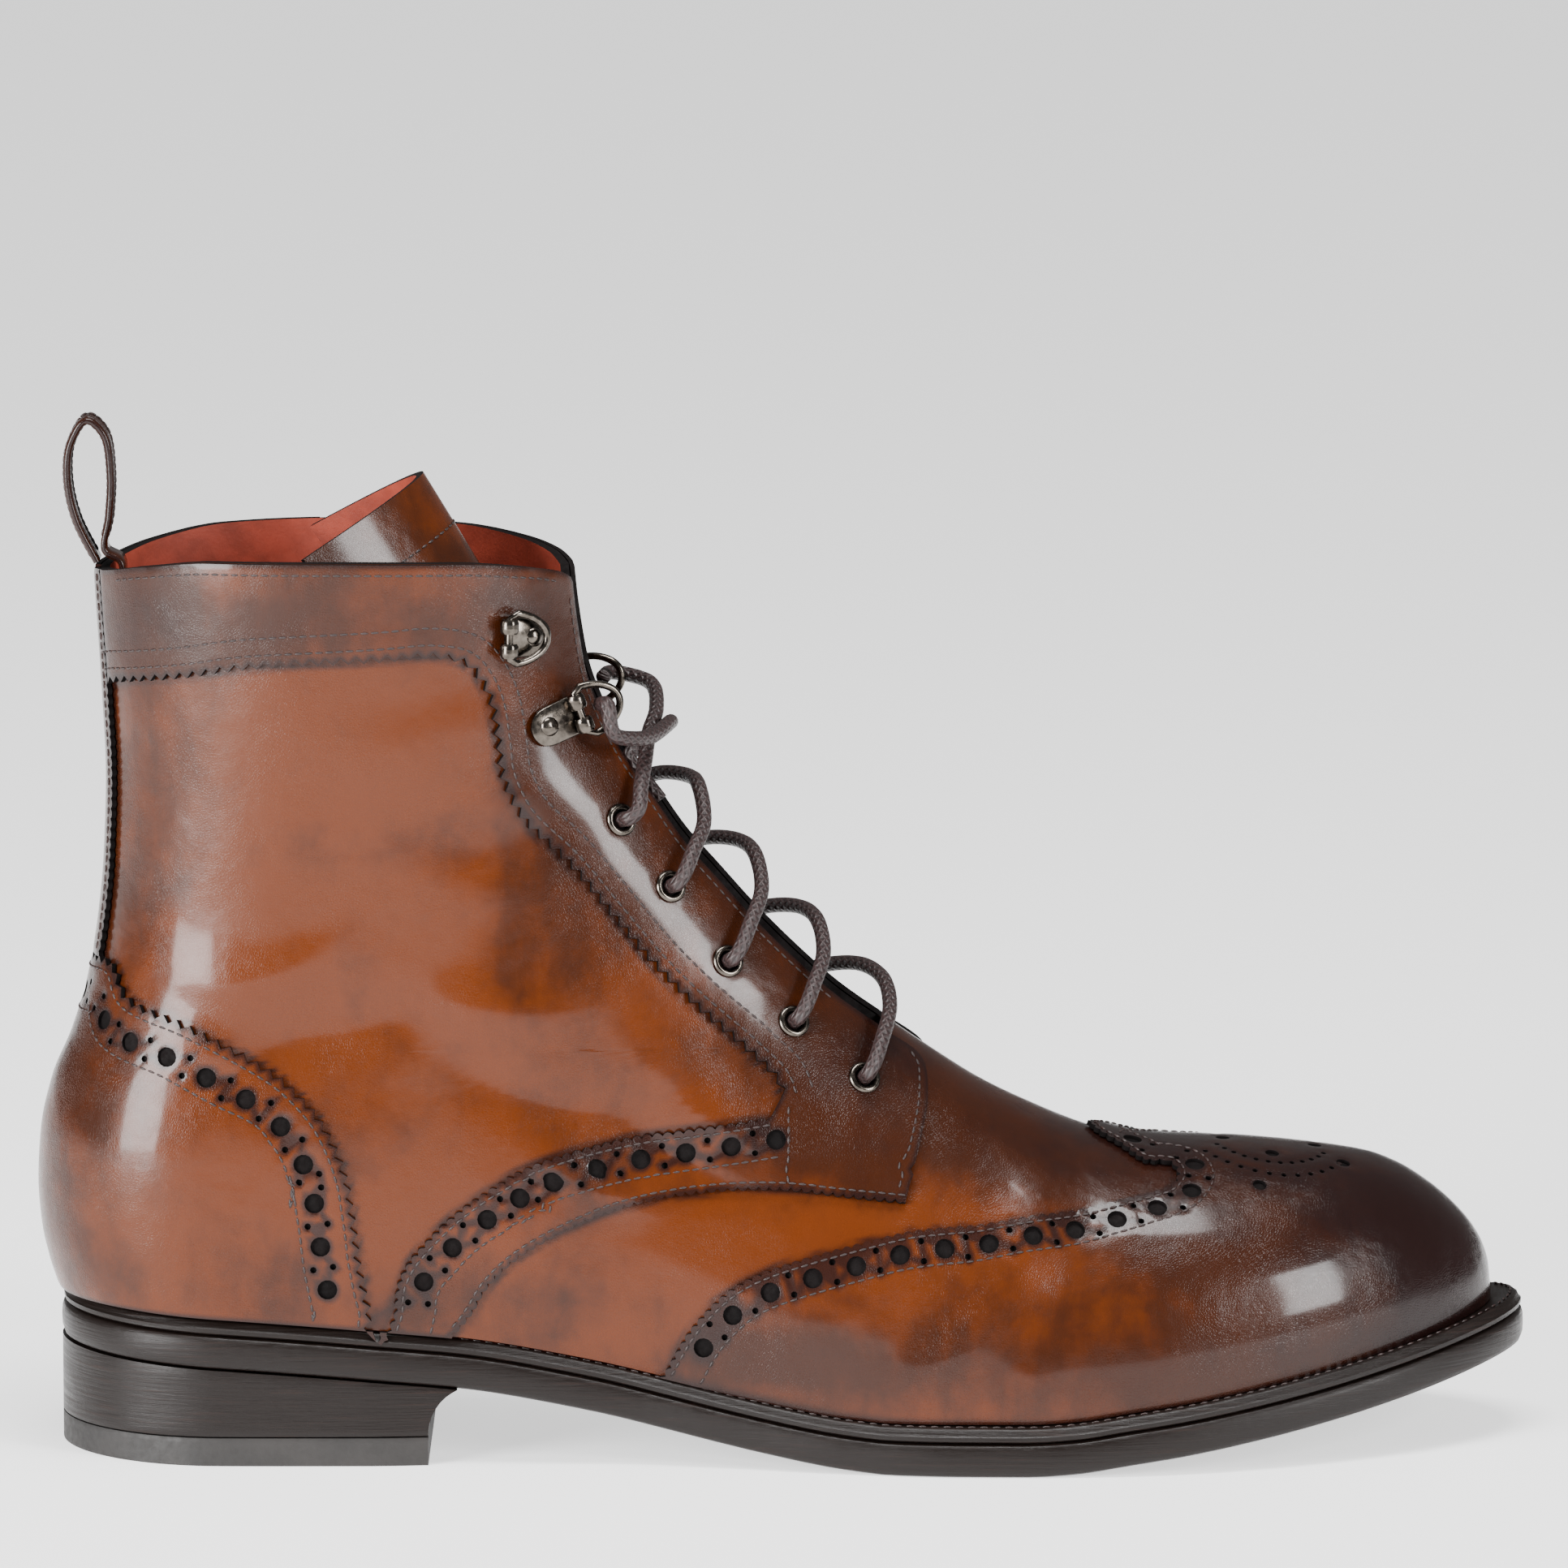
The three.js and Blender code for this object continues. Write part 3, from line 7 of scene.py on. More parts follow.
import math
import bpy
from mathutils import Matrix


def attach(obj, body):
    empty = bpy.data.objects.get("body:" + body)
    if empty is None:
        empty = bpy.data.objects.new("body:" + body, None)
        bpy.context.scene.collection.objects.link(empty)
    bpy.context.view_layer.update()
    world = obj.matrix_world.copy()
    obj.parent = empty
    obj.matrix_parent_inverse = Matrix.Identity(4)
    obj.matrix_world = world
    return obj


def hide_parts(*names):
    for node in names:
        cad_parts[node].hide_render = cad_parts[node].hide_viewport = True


bl_info = {
    "name": "Lace-up ankle boot",
    "version": (1, 0, 0),
    "blender": (4, 5, 0),
    "location": "View3D > Sidebar > Boot",
    "description": "Builds a polished wing cap ankle boot, one button for each group of pieces",
    "category": "Add Mesh",
}

import bmesh
import bpy
import numpy as np
from mathutils import Vector
from mathutils.geometry import delaunay_2d_cdt
from mathutils.kdtree import KDTree

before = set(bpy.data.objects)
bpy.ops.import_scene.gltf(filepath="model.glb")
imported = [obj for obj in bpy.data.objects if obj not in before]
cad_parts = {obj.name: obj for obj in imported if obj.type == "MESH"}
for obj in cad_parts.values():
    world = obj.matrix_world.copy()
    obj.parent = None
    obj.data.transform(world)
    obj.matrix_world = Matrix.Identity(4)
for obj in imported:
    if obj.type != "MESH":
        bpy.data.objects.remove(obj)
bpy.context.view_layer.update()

# Sizes and colours

LENGTH = dict(unit="LENGTH", subtype="DISTANCE", min=0.0)


def length(name, description, default):
    return bpy.props.FloatProperty(name=name, description=description, default=default, precision=5,
                                   **LENGTH)


def colour(name, description, default):
    return bpy.props.FloatVectorProperty(
        name=name, description=description, default=default, subtype="COLOR", size=3, min=0.0, max=1.0)


class BootSizes(bpy.types.PropertyGroup):
    leather_wall: length("Upper thickness", "Outer leather and lining together", 0.002)
    overlay_low: length("Overlay underside", "Height of an overlay's underside over the upper", 0.0003)
    overlay_high: length("Overlay face", "Height of an overlay's face over the upper", 0.0015)
    stitch_pitch: length("Stitch pitch", "Distance from one upper stitch to the next", 0.0021)
    stitch_length: length("Stitch length", "Length of one upper stitch", 0.0017)
    thread: length("Thread radius", "Radius of the upper's thread", 0.00026)
    gimp_pitch: length("Gimp pitch", "Width of one tooth of the gimped edges", 0.00315)
    gimp_depth: length("Gimp depth", "Depth of one tooth of the gimped edges", 0.0014)
    rope_pitch: length("Rope edge pitch", "Width of one tooth of the bands' small edge", 0.0022)
    rope_depth: length("Rope edge depth", "Depth of one tooth of the bands' small edge", 0.0008)
    hole: length("Large hole", "Diameter of the large punched holes", 0.0042)
    pin_hole: length("Small hole", "Diameter of the small punched holes", 0.0014)
    hole_pitch: length("Hole pitch", "Distance from one large hole to the next", 0.0094)
    lace: length("Lace diameter", "Diameter of the round lace", 0.0032)


class BootColours(bpy.types.PropertyGroup):
    cognac: colour("Cognac", "Lightest polish of the leather", (0.090, 0.0180, 0.0022))
    chestnut: colour("Chestnut", "Middle polish of the leather", (0.030, 0.0072, 0.0022))
    # Dark polish at the toe; near edges and beside the overlays the same colour is also painted shadow, along
    # with burnishing.
    burnish_and_edge_shadow: colour("Burnish", "Dark polish at toe, seams and edges", (0.0100, 0.0036, 0.0032))
    # Real inking on cut edges; on the floors of the punched holes this colour is painted shade.
    edge_ink_and_hole_shade: colour("Edge ink", "Ink on cut edges and inside the holes", (0.0035, 0.0022, 0.0022))
    lining: colour("Lining", "Lining leather", (0.30, 0.045, 0.024))
    sole: colour("Sole", "Waxed sole and heel edges", (0.0062, 0.0036, 0.0028))
    lace: colour("Lace", "Waxed lace", (0.0125, 0.0052, 0.0050))
    thread: colour("Thread", "Upper thread", (0.018, 0.008, 0.007))
    metal: colour("Metal", "Eyelets, rings and zip pull", (0.13, 0.112, 0.095))


def sizes():
    return bpy.context.scene.boot_sizes


def colours():
    return bpy.context.scene.boot_colours


# The last: its tables are shares of these lengths

SOLE_LENGTH = 311.0
BALL = 99.6
WAIST = 62.4
HEEL = 66.4
ANKLE = 58.8
COLLAR = 69.0
TOP = 192.0
INSTEP = 77.7
HEEL_RISE = 22.7
TOE_SPRING = 18.5
SWING = 12.0
WELTED = 10.3
SOLE = 7.0
ORIGIN_X = 39.25


def curve(rows, at, column=1):
    rows = np.asarray(rows, float)
    xs = rows[:, 0]
    ys = rows[:, column]
    slope = np.diff(ys) / np.diff(xs)
    tangent = np.zeros(len(xs))
    tangent[0] = slope[0]
    tangent[-1] = slope[-1]
    before = slope[:-1]
    after = slope[1:]
    same = before * after > 0
    tangent[1:-1] = np.where(same, 2 * before * after / np.where(same, before + after, 1.0), 0.0)
    at = np.clip(np.asarray(at, float), xs[0], xs[-1])
    i = np.clip(np.searchsorted(xs, at, side="right") - 1, 0, len(xs) - 2)
    h = xs[i + 1] - xs[i]
    t = (at - xs[i]) / h
    start = ((2 * t - 3) * t * t + 1) * ys[i] + ((t - 2) * t * t + t) * h * tangent[i]
    return start + (3 - 2 * t) * t * t * ys[i + 1] + (t - 1) * t * t * h * tangent[i + 1]


def scaled(rows, *factors):
    return np.array(rows, float) * np.array(factors, float)


def clamp01(t):
    return np.clip(t, 0.0, 1.0)


def ease(start, end, at):
    t = clamp01((np.asarray(at, float) - start) / (end - start))
    return t * t * (3 - 2 * t)


def mix(a, b, t):
    return a + (b - a) * t


def round_off(distance, radius):
    return np.sqrt(1 - (1 - clamp01(distance / radius)) ** 2)


def plan_rows():
    heel = [(0, 0.482), (0.064, 0.491), (0.129, 0.5), (0.209, 0.497)]
    waist = [(0.29, 0.5), (0.37, 0.5)]
    ball = [(0.45, 0.361), (0.531, 0.432), (0.611, 0.487), (0.675, 0.5), (0.74, 0.492), (0.82, 0.462),
            (0.9, 0.427), (1, 0.382)]
    parts = [scaled(heel, SOLE_LENGTH, HEEL), scaled(waist, SOLE_LENGTH, WAIST),
             scaled(ball, SOLE_LENGTH, BALL)]
    return np.vstack(parts)


def underside_rows():
    rear = [(0, 1), (0.129, 0.895), (0.231, 0.78), (0.289, 0.69), (0.354, 0.53), (0.412, 0.348),
            (0.482, 0.145),
            (0.537, 0.03), (0.566, 0), (0.656, 0)]
    toe = [(0.691, 0.03), (0.724, 0.11), (0.772, 0.22), (0.82, 0.35), (0.868, 0.5), (0.916, 0.67), (1, 1)]
    return np.vstack([scaled(rear, SOLE_LENGTH, HEEL_RISE), scaled(toe, SOLE_LENGTH, TOE_SPRING)])


PLAN = plan_rows()
UNDERSIDE = underside_rows()
MIDDLE = scaled([(0, 0), (0.26, -0.04), (0.35, -0.08), (0.48, 0.08), (0.64, 0.37), (0.77, 0.54),
                 (0.88, 0.75),
                 (1, 1)], SOLE_LENGTH, SWING)
FEATHER = scaled([(0, 1.6, 0.03), (0.22, 1.6, 0.03), (0.35, 2.2, 0.10), (0.48, 4.2, 0.07),
                  (0.66, 5.2, 0.05),
                  (1, 5.2, 0.04)], SOLE_LENGTH, 1, 1)
BACK = scaled([(0, 0.0026), (0.044, -0.0045), (0.088, -0.009), (0.142, -0.0109), (0.208, -0.009),
               (0.277, -0.0013), (0.34, 0.0122), (0.409, 0.0232), (0.497, 0.0313), (0.585, 0.0357),
               (0.692, 0.0376), (0.799, 0.0354), (1, 0.0299), (1.1, 0.0288)], 1, SOLE_LENGTH)
THROAT = [(0.067, 0.5389), (0.142, 0.5116), (0.225, 0.4843), (0.308, 0.4595), (0.39, 0.4351),
          (0.482, 0.4132),
          (0.572, 0.3913), (0.663, 0.3746), (0.731, 0.3659), (0.798, 0.3611), (0.885, 0.3569),
          (1.038, 0.3521)]
CROWN = [(0.5691, 1), (0.5991, 0.916), (0.6251, 0.848), (0.6576, 0.78), (0.69, 0.718), (0.7122, 0.676),
         (0.7344, 0.642), (0.7569, 0.62), (0.8013, 0.584), (0.846, 0.535), (0.8907, 0.471), (0.9116, 0.421),
         (0.9325, 0.349), (0.9486, 0.278), (0.9627, 0.196), (0.9704, 0.118), (0.973, 0.03)]
SHAFT = [(0, 0.467 * HEEL, 0.51 * HEEL, 1.19 * COLLAR), (0.11, 0.474 * HEEL, 0.52 * HEEL, 1.19 * COLLAR),
         (0.23, 0.464 * HEEL, 0.53 * HEEL, 1.19 * COLLAR),
         (0.36, 0.503 * ANKLE, 0.54 * HEEL, 1.18 * COLLAR),
         (0.5, 0.5 * ANKLE, 0.58 * HEEL, 1.12 * COLLAR), (0.64, 0.517 * ANKLE, 0.62 * HEEL, 0.98 * COLLAR),
         (0.8, 0.467 * COLLAR, 0.69 * HEEL, 0.78 * COLLAR), (1, 0.5 * COLLAR, 0.75 * HEEL, 0.72 * COLLAR)]
COLLAR_DROP = [(0, 5.4), (0.1, 2.6), (0.25, 0.4), (0.5, 0), (0.75, 0.6), (0.88, 2.2), (0.95, 4.2),
               (0.98, 7.2),
               (1, 11.5)]
CROWN_POWER = scaled([(0.48, 1.6), (0.57, 1.65), (0.77, 2.1), (0.97, 2.3)], SOLE_LENGTH, 1)
TIP_X = 0.973 * SOLE_LENGTH
THROAT_X = 0.5691 * SOLE_LENGTH
HEEL_SEAT = HEEL_RISE + WELTED
SHAFT_RISE = TOP - HEEL_SEAT
INSTEP_TOP = WELTED + INSTEP
THROAT_RISE = TOP - INSTEP_TOP


def underside(x):
    return curve(UNDERSIDE, x)


def seat(x):
    return underside(x) + WELTED


def base_z(x):
    return seat(x) + 0.5


def middle(x):
    return curve(MIDDLE, x)


def toe_round(x, end):
    return np.sqrt(1 - clamp01((x - 0.714 * SOLE_LENGTH) / (end - 0.714 * SOLE_LENGTH)) ** 2.5)


def sole_half(x):
    return curve(PLAN, x) * round_off(x, 0.5 * HEEL) * toe_round(x, SOLE_LENGTH)


def feather_half(x):
    return (curve(PLAN, x) - curve(FEATHER, x)) * toe_round(x, TIP_X)


def front_rows():
    throat = [(along * SOLE_LENGTH, INSTEP_TOP + rise * THROAT_RISE) for rise, along in reversed(THROAT)]
    crown = [(along * SOLE_LENGTH, float(seat(along * SOLE_LENGTH)) + rise * INSTEP)
             for along, rise in CROWN]
    return np.array(throat + crown)


FRONT = front_rows()
FRONT_BY_HEIGHT = FRONT[::-1, ::-1].copy()


def back_x(z):
    return curve(BACK, (z - HEEL_SEAT) / SHAFT_RISE)


def front_x(z):
    return curve(FRONT_BY_HEIGHT, z)


def front_z(x):
    steep = FRONT[0, 1] + (FRONT[0, 0] - x) * 8
    return np.where(x < FRONT[0, 0], steep, curve(FRONT, x))


def half_width(x, z):
    low = seat(x)
    from_back = x - back_x(z)
    rise = (z - HEEL_SEAT) / SHAFT_RISE
    back_round = round_off(from_back, curve(SHAFT, rise, 2))
    share = clamp01((z - low) / np.maximum(front_z(x) - low, 1e-6))
    arch = np.sqrt(np.maximum(1 - share ** curve(CROWN_POWER, x), 0))
    swell = curve(FEATHER, x, 2) * np.sin(math.pi * clamp01((z - low) / 52))
    foot = feather_half(x) * arch * (1 + swell) * back_round
    shaft_share = ease(0.107, 0.453, rise) * (1 - ease(0.514, 0.66, x / SOLE_LENGTH))
    leg = curve(SHAFT, rise) * back_round * round_off(front_x(z) - x, curve(SHAFT, rise, 3))
    return np.where(from_back <= 0, 0.0, mix(foot, leg, shaft_share))


def ridge_y(x, z):
    return middle(x) * (1 - 0.5 * ease(0.17, 0.547, (z - HEEL_SEAT) / SHAFT_RISE))


def skin(x, z, side):
    x = np.asarray(x, float)
    z = np.asarray(z, float)
    return np.stack([x, ridge_y(x, z) + side * half_width(x, z), z], -1)


def slot_half(z):
    return mix(8.5, 11.0, clamp01((z - INSTEP_TOP) / THROAT_RISE))


def to_frame(points):
    return (np.asarray(points, float) - np.array([ORIGIN_X, 0.0, 0.0])) * 0.001


def unit(vectors):
    size = np.linalg.norm(vectors, axis=-1, keepdims=True)
    return vectors / np.maximum(size, 1e-12)


# Creases: place along and up, length, width, lean in degrees, depth, side

CREASES = [
    (128, 66, 30, 3.2, -38, -0.55, 0), (137, 74, 26, 3.0, -40, 0.45, 0), (146, 80, 22, 2.8, -44, -0.45, 0),
    (112, 60, 26, 4.0, -28, 0.45, 0), (100, 78, 34, 5.0, -20, -0.5, 0), (92, 96, 32, 5.5, -8, 0.45, 0),
    (60, 92, 34, 6.0, 12, -0.5, 0), (48, 104, 28, 5.0, 18, 0.4, 0), (40, 84, 26, 5.0, 22, -0.35, 0),
    (190, 40, 24, 4.5, 62, -0.4, 0), (202, 42, 26, 4.5, 66, 0.35, 0), (214, 40, 24, 4.5, 70, -0.35, 0),
    (178, 46, 22, 4.0, 58, 0.3, 0), (88, 132, 30, 7.0, -6, -0.35, 0), (70, 150, 34, 8.0, 4, 0.35, 0),
]


def relief(points):
    height = np.zeros(len(points))
    for x, z, long, wide, lean, depth, side in CREASES:
        turn = math.radians(lean)
        dx = points[:, 0] - x
        dz = points[:, 2] - z
        along = dx * math.cos(turn) + dz * math.sin(turn)
        across = -dx * math.sin(turn) + dz * math.cos(turn)
        across = across - 0.012 * along * along
        here = np.exp(-(along / long) ** 2 * 2.2 - (across / wide) ** 2)
        if side:
            here = here * (np.sign(points[:, 1]) == side)
        height += 2.2 * depth * here
    return height


# Burnish of the polish: place along and up, reach along and up, amount

SHADES = [
    (300, 35, 46, 30, 0.75), (262, 52, 40, 16, 0.40), (215, 66, 48, 12, 0.62), (180, 84, 30, 10, 0.45),
    (150, 100, 20, 40, 0.25), (104, 150, 14, 40, 0.30), (60, 178, 70, 9, 0.22), (110, 118, 26, 20, 0.24),
    (70, 70, 30, 10, 0.18), (20, 40, 40, 12, 0.22), (160, 22, 40, 8, 0.25), (100, 36, 30, 8, 0.2),
    (18, 150, 14, 60, 0.30), (4, 90, 12, 40, 0.35), (128, 88, 30, 10, 0.16), (245, 22, 40, 8, 0.3),
]


def tone(points, extra=0.0):
    amount = np.full(len(points), extra)
    for x, z, reach_x, reach_z, depth in SHADES:
        away = ((points[:, 0] - x) / reach_x) ** 2 + ((points[:, 2] - z) / reach_z) ** 2
        amount += depth * np.exp(-away)
    return clamp01(amount)


# Charts: flat coordinates for the sides of the boot, in millimetres along the surface


class LegChart:
    """Distance round from the back line, and height."""

    def __init__(self):
        self.heights = np.linspace(8.0, 200.0, 193)
        self.turns = np.linspace(0.0, math.pi, 361)
        turns, heights = np.meshgrid(self.turns, self.heights)
        back = back_x(heights)
        x = mix(back, front_x(heights), 0.5 - 0.5 * np.cos(turns))
        y = half_width(x, heights)
        y[:, -1] = 0.0
        step = np.hypot(np.diff(x, axis=1), np.diff(y, axis=1))
        self.arc = np.hstack([np.zeros((len(self.heights), 1)), np.cumsum(step, axis=1)])
        self.total = self.arc[:, -1]
        self.shares = np.linspace(0.0, 1.0, 361)
        self.turn_at = np.stack([np.interp(self.shares * row[-1], row, self.turns) for row in self.arc])

    def table(self, grid, column, height):
        j = np.clip((height - self.heights[0]) / (self.heights[1] - self.heights[0]), 0,
                    len(self.heights) - 1.001)
        i = np.clip(column, 0, grid.shape[1] - 1.001)
        j0 = j.astype(int)
        i0 = i.astype(int)
        tj = j - j0
        ti = i - i0
        low = mix(grid[j0, i0], grid[j0, i0 + 1], ti)
        high = mix(grid[j0 + 1, i0], grid[j0 + 1, i0 + 1], ti)
        return mix(low, high, tj)

    def flat(self, x, z):
        """Chart place of a place in the side view."""
        x = np.asarray(x, float)
        z = np.asarray(z, float)
        back = back_x(z)
        share = clamp01((x - back) / (front_x(z) - back))
        turn = np.arccos(1 - 2 * share)
        return np.stack([self.table(self.arc, turn / self.turns[1], z), z], -1)

    def side_view(self, uv):
        v = uv[:, 1]
        total = np.interp(v, self.heights, self.total)
        turn = self.table(self.turn_at, np.abs(uv[:, 0]) / total * 360, v)
        return mix(back_x(v), front_x(v), 0.5 - 0.5 * np.cos(turn))

    def place(self, uv, side):
        uv = np.asarray(uv, float)
        away = side * np.where(uv[:, 0] < 0, -1, 1)
        return skin(self.side_view(uv), uv[:, 1], away)

    def slot_edge(self, z):
        """Chart places of the throat's edge at these heights."""
        z = np.asarray(z, float)
        back = back_x(z)
        low = np.full(len(z), 0.55)
        high = np.ones(len(z))
        for _ in range(30):
            share = 0.5 * (low + high)
            wide = half_width(mix(back, front_x(z), share), z) > slot_half(z)
            low = np.where(wide, share, low)
            high = np.where(wide, high, share)
        return self.flat(mix(back, front_x(z), low), z), low


class ToeChart:
    """Along the crown to the tip, and across from the crown to the sole."""

    ALONG = 198.0
    ACROSS = 80.0

    def x_at(self, s):
        reach = TIP_X - THROAT_X
        curved = THROAT_X + reach * np.sin(0.5 * math.pi * np.clip(s, 0, 1))
        return np.where(s < 0, THROAT_X + reach * 0.5 * math.pi * s, curved)

    def flat(self, x, z):
        x = np.asarray(x, float)
        z = np.asarray(z, float)
        reach = TIP_X - THROAT_X
        share = (x - THROAT_X) / reach
        s = np.where(share < 0, share / (0.5 * math.pi), np.arcsin(np.clip(share, 0, 1)) / (0.5 * math.pi))
        low = base_z(x)
        w = np.arccos(clamp01((z - low) / (front_z(x) - low))) / (0.5 * math.pi)
        return np.stack([s * self.ALONG, w * self.ACROSS], -1)

    def place(self, uv, side):
        uv = np.asarray(uv, float)
        x = self.x_at(uv[:, 0] / self.ALONG)
        w = np.clip(np.abs(uv[:, 1]) / self.ACROSS, 0, 1)
        low = base_z(x)
        z = mix(low, np.maximum(front_z(x), low + 0.05), np.cos(0.5 * math.pi * w))
        return skin(x, z, side * np.where(uv[:, 1] < 0, -1, 1))


def chart_frame(chart, uv, side):
    """Places, outward normals and the two surface directions for one chart millimetre."""
    uv = np.asarray(uv, float)
    step = 0.4
    du = (chart.place(uv + [step, 0], side) - chart.place(uv - [step, 0], side)) / (2 * step)
    dv = (chart.place(uv + [0, step], side) - chart.place(uv - [0, step], side)) / (2 * step)
    place = chart.place(uv, side)
    normal = unit(np.cross(du, dv))
    heart = np.stack([place[:, 0], ridge_y(place[:, 0], place[:, 2]), place[:, 2]], -1)
    out = place - heart
    rising = np.where(place[:, 0] > THROAT_X, 1.0, 0.2) * 6.0
    out[:, 2] += np.where(place[:, 2] > 40, rising, 0.0)
    normal *= np.where(np.sum(normal * out, axis=1) < 0, -1.0, 1.0)[:, None]
    return place, normal, du, dv


def chart_shift(chart, uv, side, along, across, ahead):
    """Moves chart places by real millimetres: along a direction of the chart, and square to it."""
    _, normal, du, dv = chart_frame(chart, uv, side)
    forward = unit(ahead[:, :1] * du + ahead[:, 1:] * dv)
    sideways = np.cross(normal, forward)
    move = forward * along[:, None] + sideways * across[:, None]
    uu = np.sum(du * du, axis=1)
    vv = np.sum(dv * dv, axis=1)
    cross = np.sum(du * dv, axis=1)
    bu = np.sum(move * du, axis=1)
    bv = np.sum(move * dv, axis=1)
    det = np.maximum(uu * vv - cross * cross, 1e-9)
    return uv + np.stack([(bu * vv - bv * cross) / det, (bv * uu - bu * cross) / det], -1)


def smooth_line(points, step=0.5):
    """Centripetal curve through chart points, at even chart steps."""
    points = np.asarray(points, float)
    if len(points) == 2:
        count = max(int(np.linalg.norm(points[1] - points[0]) / step), 2)
        return mix(points[0], points[1], np.linspace(0, 1, count + 1)[:, None])
    ends = np.vstack([2 * points[0] - points[1], points, 2 * points[-1] - points[-2]])
    knots = np.concatenate([[0],
                            np.cumsum(np.maximum(np.linalg.norm(np.diff(ends, axis=0), axis=1),
                                                 1e-6) ** 0.5)])
    line = []
    for i in range(1, len(ends) - 2):
        p0, p1, p2, p3 = ends[i - 1:i + 3]
        t0, t1, t2, t3 = knots[i - 1:i + 3]
        t = np.linspace(t1, t2, 24, endpoint=False)[:, None]
        a1 = (t1 - t) / (t1 - t0) * p0 + (t - t0) / (t1 - t0) * p1
        a2 = (t2 - t) / (t2 - t1) * p1 + (t - t1) / (t2 - t1) * p2
        a3 = (t3 - t) / (t3 - t2) * p2 + (t - t2) / (t3 - t2) * p3
        b1 = (t2 - t) / (t2 - t0) * a1 + (t - t0) / (t2 - t0) * a2
        b2 = (t3 - t) / (t3 - t1) * a2 + (t - t1) / (t3 - t1) * a3
        line.append((t2 - t) / (t2 - t1) * b1 + (t - t1) / (t2 - t1) * b2)
    line.append(points[-1:])
    return np.vstack(line)


def walk(chart, line, side, pitch, ends=True, start=0.0):
    """Even real steps along a chart line."""
    place = chart.place(line, side)
    gone = np.concatenate([[0], np.cumsum(np.linalg.norm(np.diff(place, axis=0), axis=1))])
    total = gone[-1]
    if ends:
        count = max(int(round(total / pitch)), 1)
        at = np.linspace(0, total, count + 1)
    else:
        at = np.arange(start, total, pitch)
    return np.stack([np.interp(at, gone, line[:, 0]), np.interp(at, gone, line[:, 1])], -1)


def heading(line):
    ahead = np.gradient(line, axis=0)
    return ahead / np.maximum(np.linalg.norm(ahead, axis=1, keepdims=True), 1e-9)


def offset_line(chart, line, side, distance):
    """A line beside another, without the points that fold back inside a tight turn."""
    moved = chart_shift(chart, line, side, np.zeros(len(line)), np.full(len(line), distance), heading(line))
    fine = walk(chart, line, side, 0.5)
    source = KDTree(len(fine))
    for number, point in enumerate(chart.place(fine, side)):
        source.insert(point, number)
    source.balance()
    near = np.array([source.find(point)[2] for point in chart.place(moved, side)])
    keep = near > 0.93 * abs(distance)
    ends = np.flatnonzero(keep)
    return moved[ends] if len(ends) > 3 else moved


def toothed(chart, line, side, kind, inward):
    """The cut edge of an overlay: plain, gimped with triangles, or a small rope edge."""
    s = sizes()
    if kind == "gimp":
        pitch = s.gimp_pitch * 500
        depth = s.gimp_depth * 1000
        wave = np.array([0.0, 1.0])
    elif kind == "rope":
        pitch = s.rope_pitch * 250
        depth = s.rope_depth * 1000
        wave = np.array([0.0, 0.25, 1.0, 0.25])
    else:
        return walk(chart, line, side, 1.6)
    places = walk(chart, line, side, pitch)
    deep = wave[np.arange(len(places)) % len(wave)] * depth * inward
    deep[-1] = 0.0
    return chart_shift(chart, places, side, np.zeros(len(places)), deep, heading(places))


def inside(loops, points):
    """Which points lie inside an odd number of the loops."""
    crossings = np.zeros(len(points), int)
    for loop in loops:
        a = loop
        b = np.roll(loop, -1, axis=0)
        for first in range(0, len(points), 4000):
            part = points[first:first + 4000]
            above = (a[None, :, 1] > part[:, None, 1]) != (b[None, :, 1] > part[:, None, 1])
            slope = (b[:, 0] - a[:, 0]) / np.where(b[:, 1] == a[:, 1], 1e-9, b[:, 1] - a[:, 1])
            hit = a[None, :, 0] + slope[None] * (part[:, None, 1] - a[None, :, 1])
            crossings[first:first + 4000] += np.sum(above & (part[:, None, 0] < hit), axis=1)
    return crossings % 2 == 1


def edge_distance(loops, points, limit=8.0):
    tree = KDTree(sum(len(loop) for loop in loops) * 4)
    index = 0
    for loop in loops:
        after = np.roll(loop, -1, axis=0)
        for share in (0.0, 0.25, 0.5, 0.75):
            for place in mix(loop, after, share):
                tree.insert((place[0], place[1], 0.0), index)
                index += 1
    tree.balance()
    return np.array([min(tree.find((p[0], p[1], 0.0))[2], limit) for p in points])


# Mesh helpers


def make_piece(name, points, faces, materials, face_material=None, attributes=None, body="boot", sharp=None,
               uvs=None, in_metres=False, merge=None):
    verts = np.asarray(points, float) if in_metres else to_frame(points)
    mesh = bpy.data.meshes.new(name)
    mesh.from_pydata(verts.tolist(), [], [list(map(int, face)) for face in faces])
    for material in materials:
        mesh.materials.append(material)
    if face_material is not None:
        mesh.polygons.foreach_set("material_index", np.asarray(face_material, np.int32))
    for key, values in (attributes or {}).items():
        layer = mesh.attributes.new(key, "FLOAT", "POINT")
        layer.data.foreach_set("value", np.asarray(values, np.float32))
    if uvs is not None:
        layer = mesh.uv_layers.new(name="run")
        corner = np.zeros(len(mesh.loops), np.int32)
        mesh.loops.foreach_get("vertex_index", corner)
        layer.data.foreach_set("uv", np.asarray(uvs, np.float32)[corner].ravel())
    mesh.polygons.foreach_set("use_smooth", np.ones(len(mesh.polygons), bool))
    mesh.update()
    mesh.validate()
    if merge:
        merge_doubles(mesh, merge)
    if sharp:
        mesh.set_sharp_from_angle(angle=math.radians(sharp))
    piece = bpy.data.objects.new(name, mesh)
    bpy.context.scene.collection.objects.link(piece)
    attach(piece, body)
    return piece


def merge_doubles(mesh, distance):
    shape = bmesh.new()
    shape.from_mesh(mesh)
    bmesh.ops.remove_doubles(shape, verts=shape.verts, dist=distance)
    shape.to_mesh(mesh)
    shape.free()
    mesh.update()


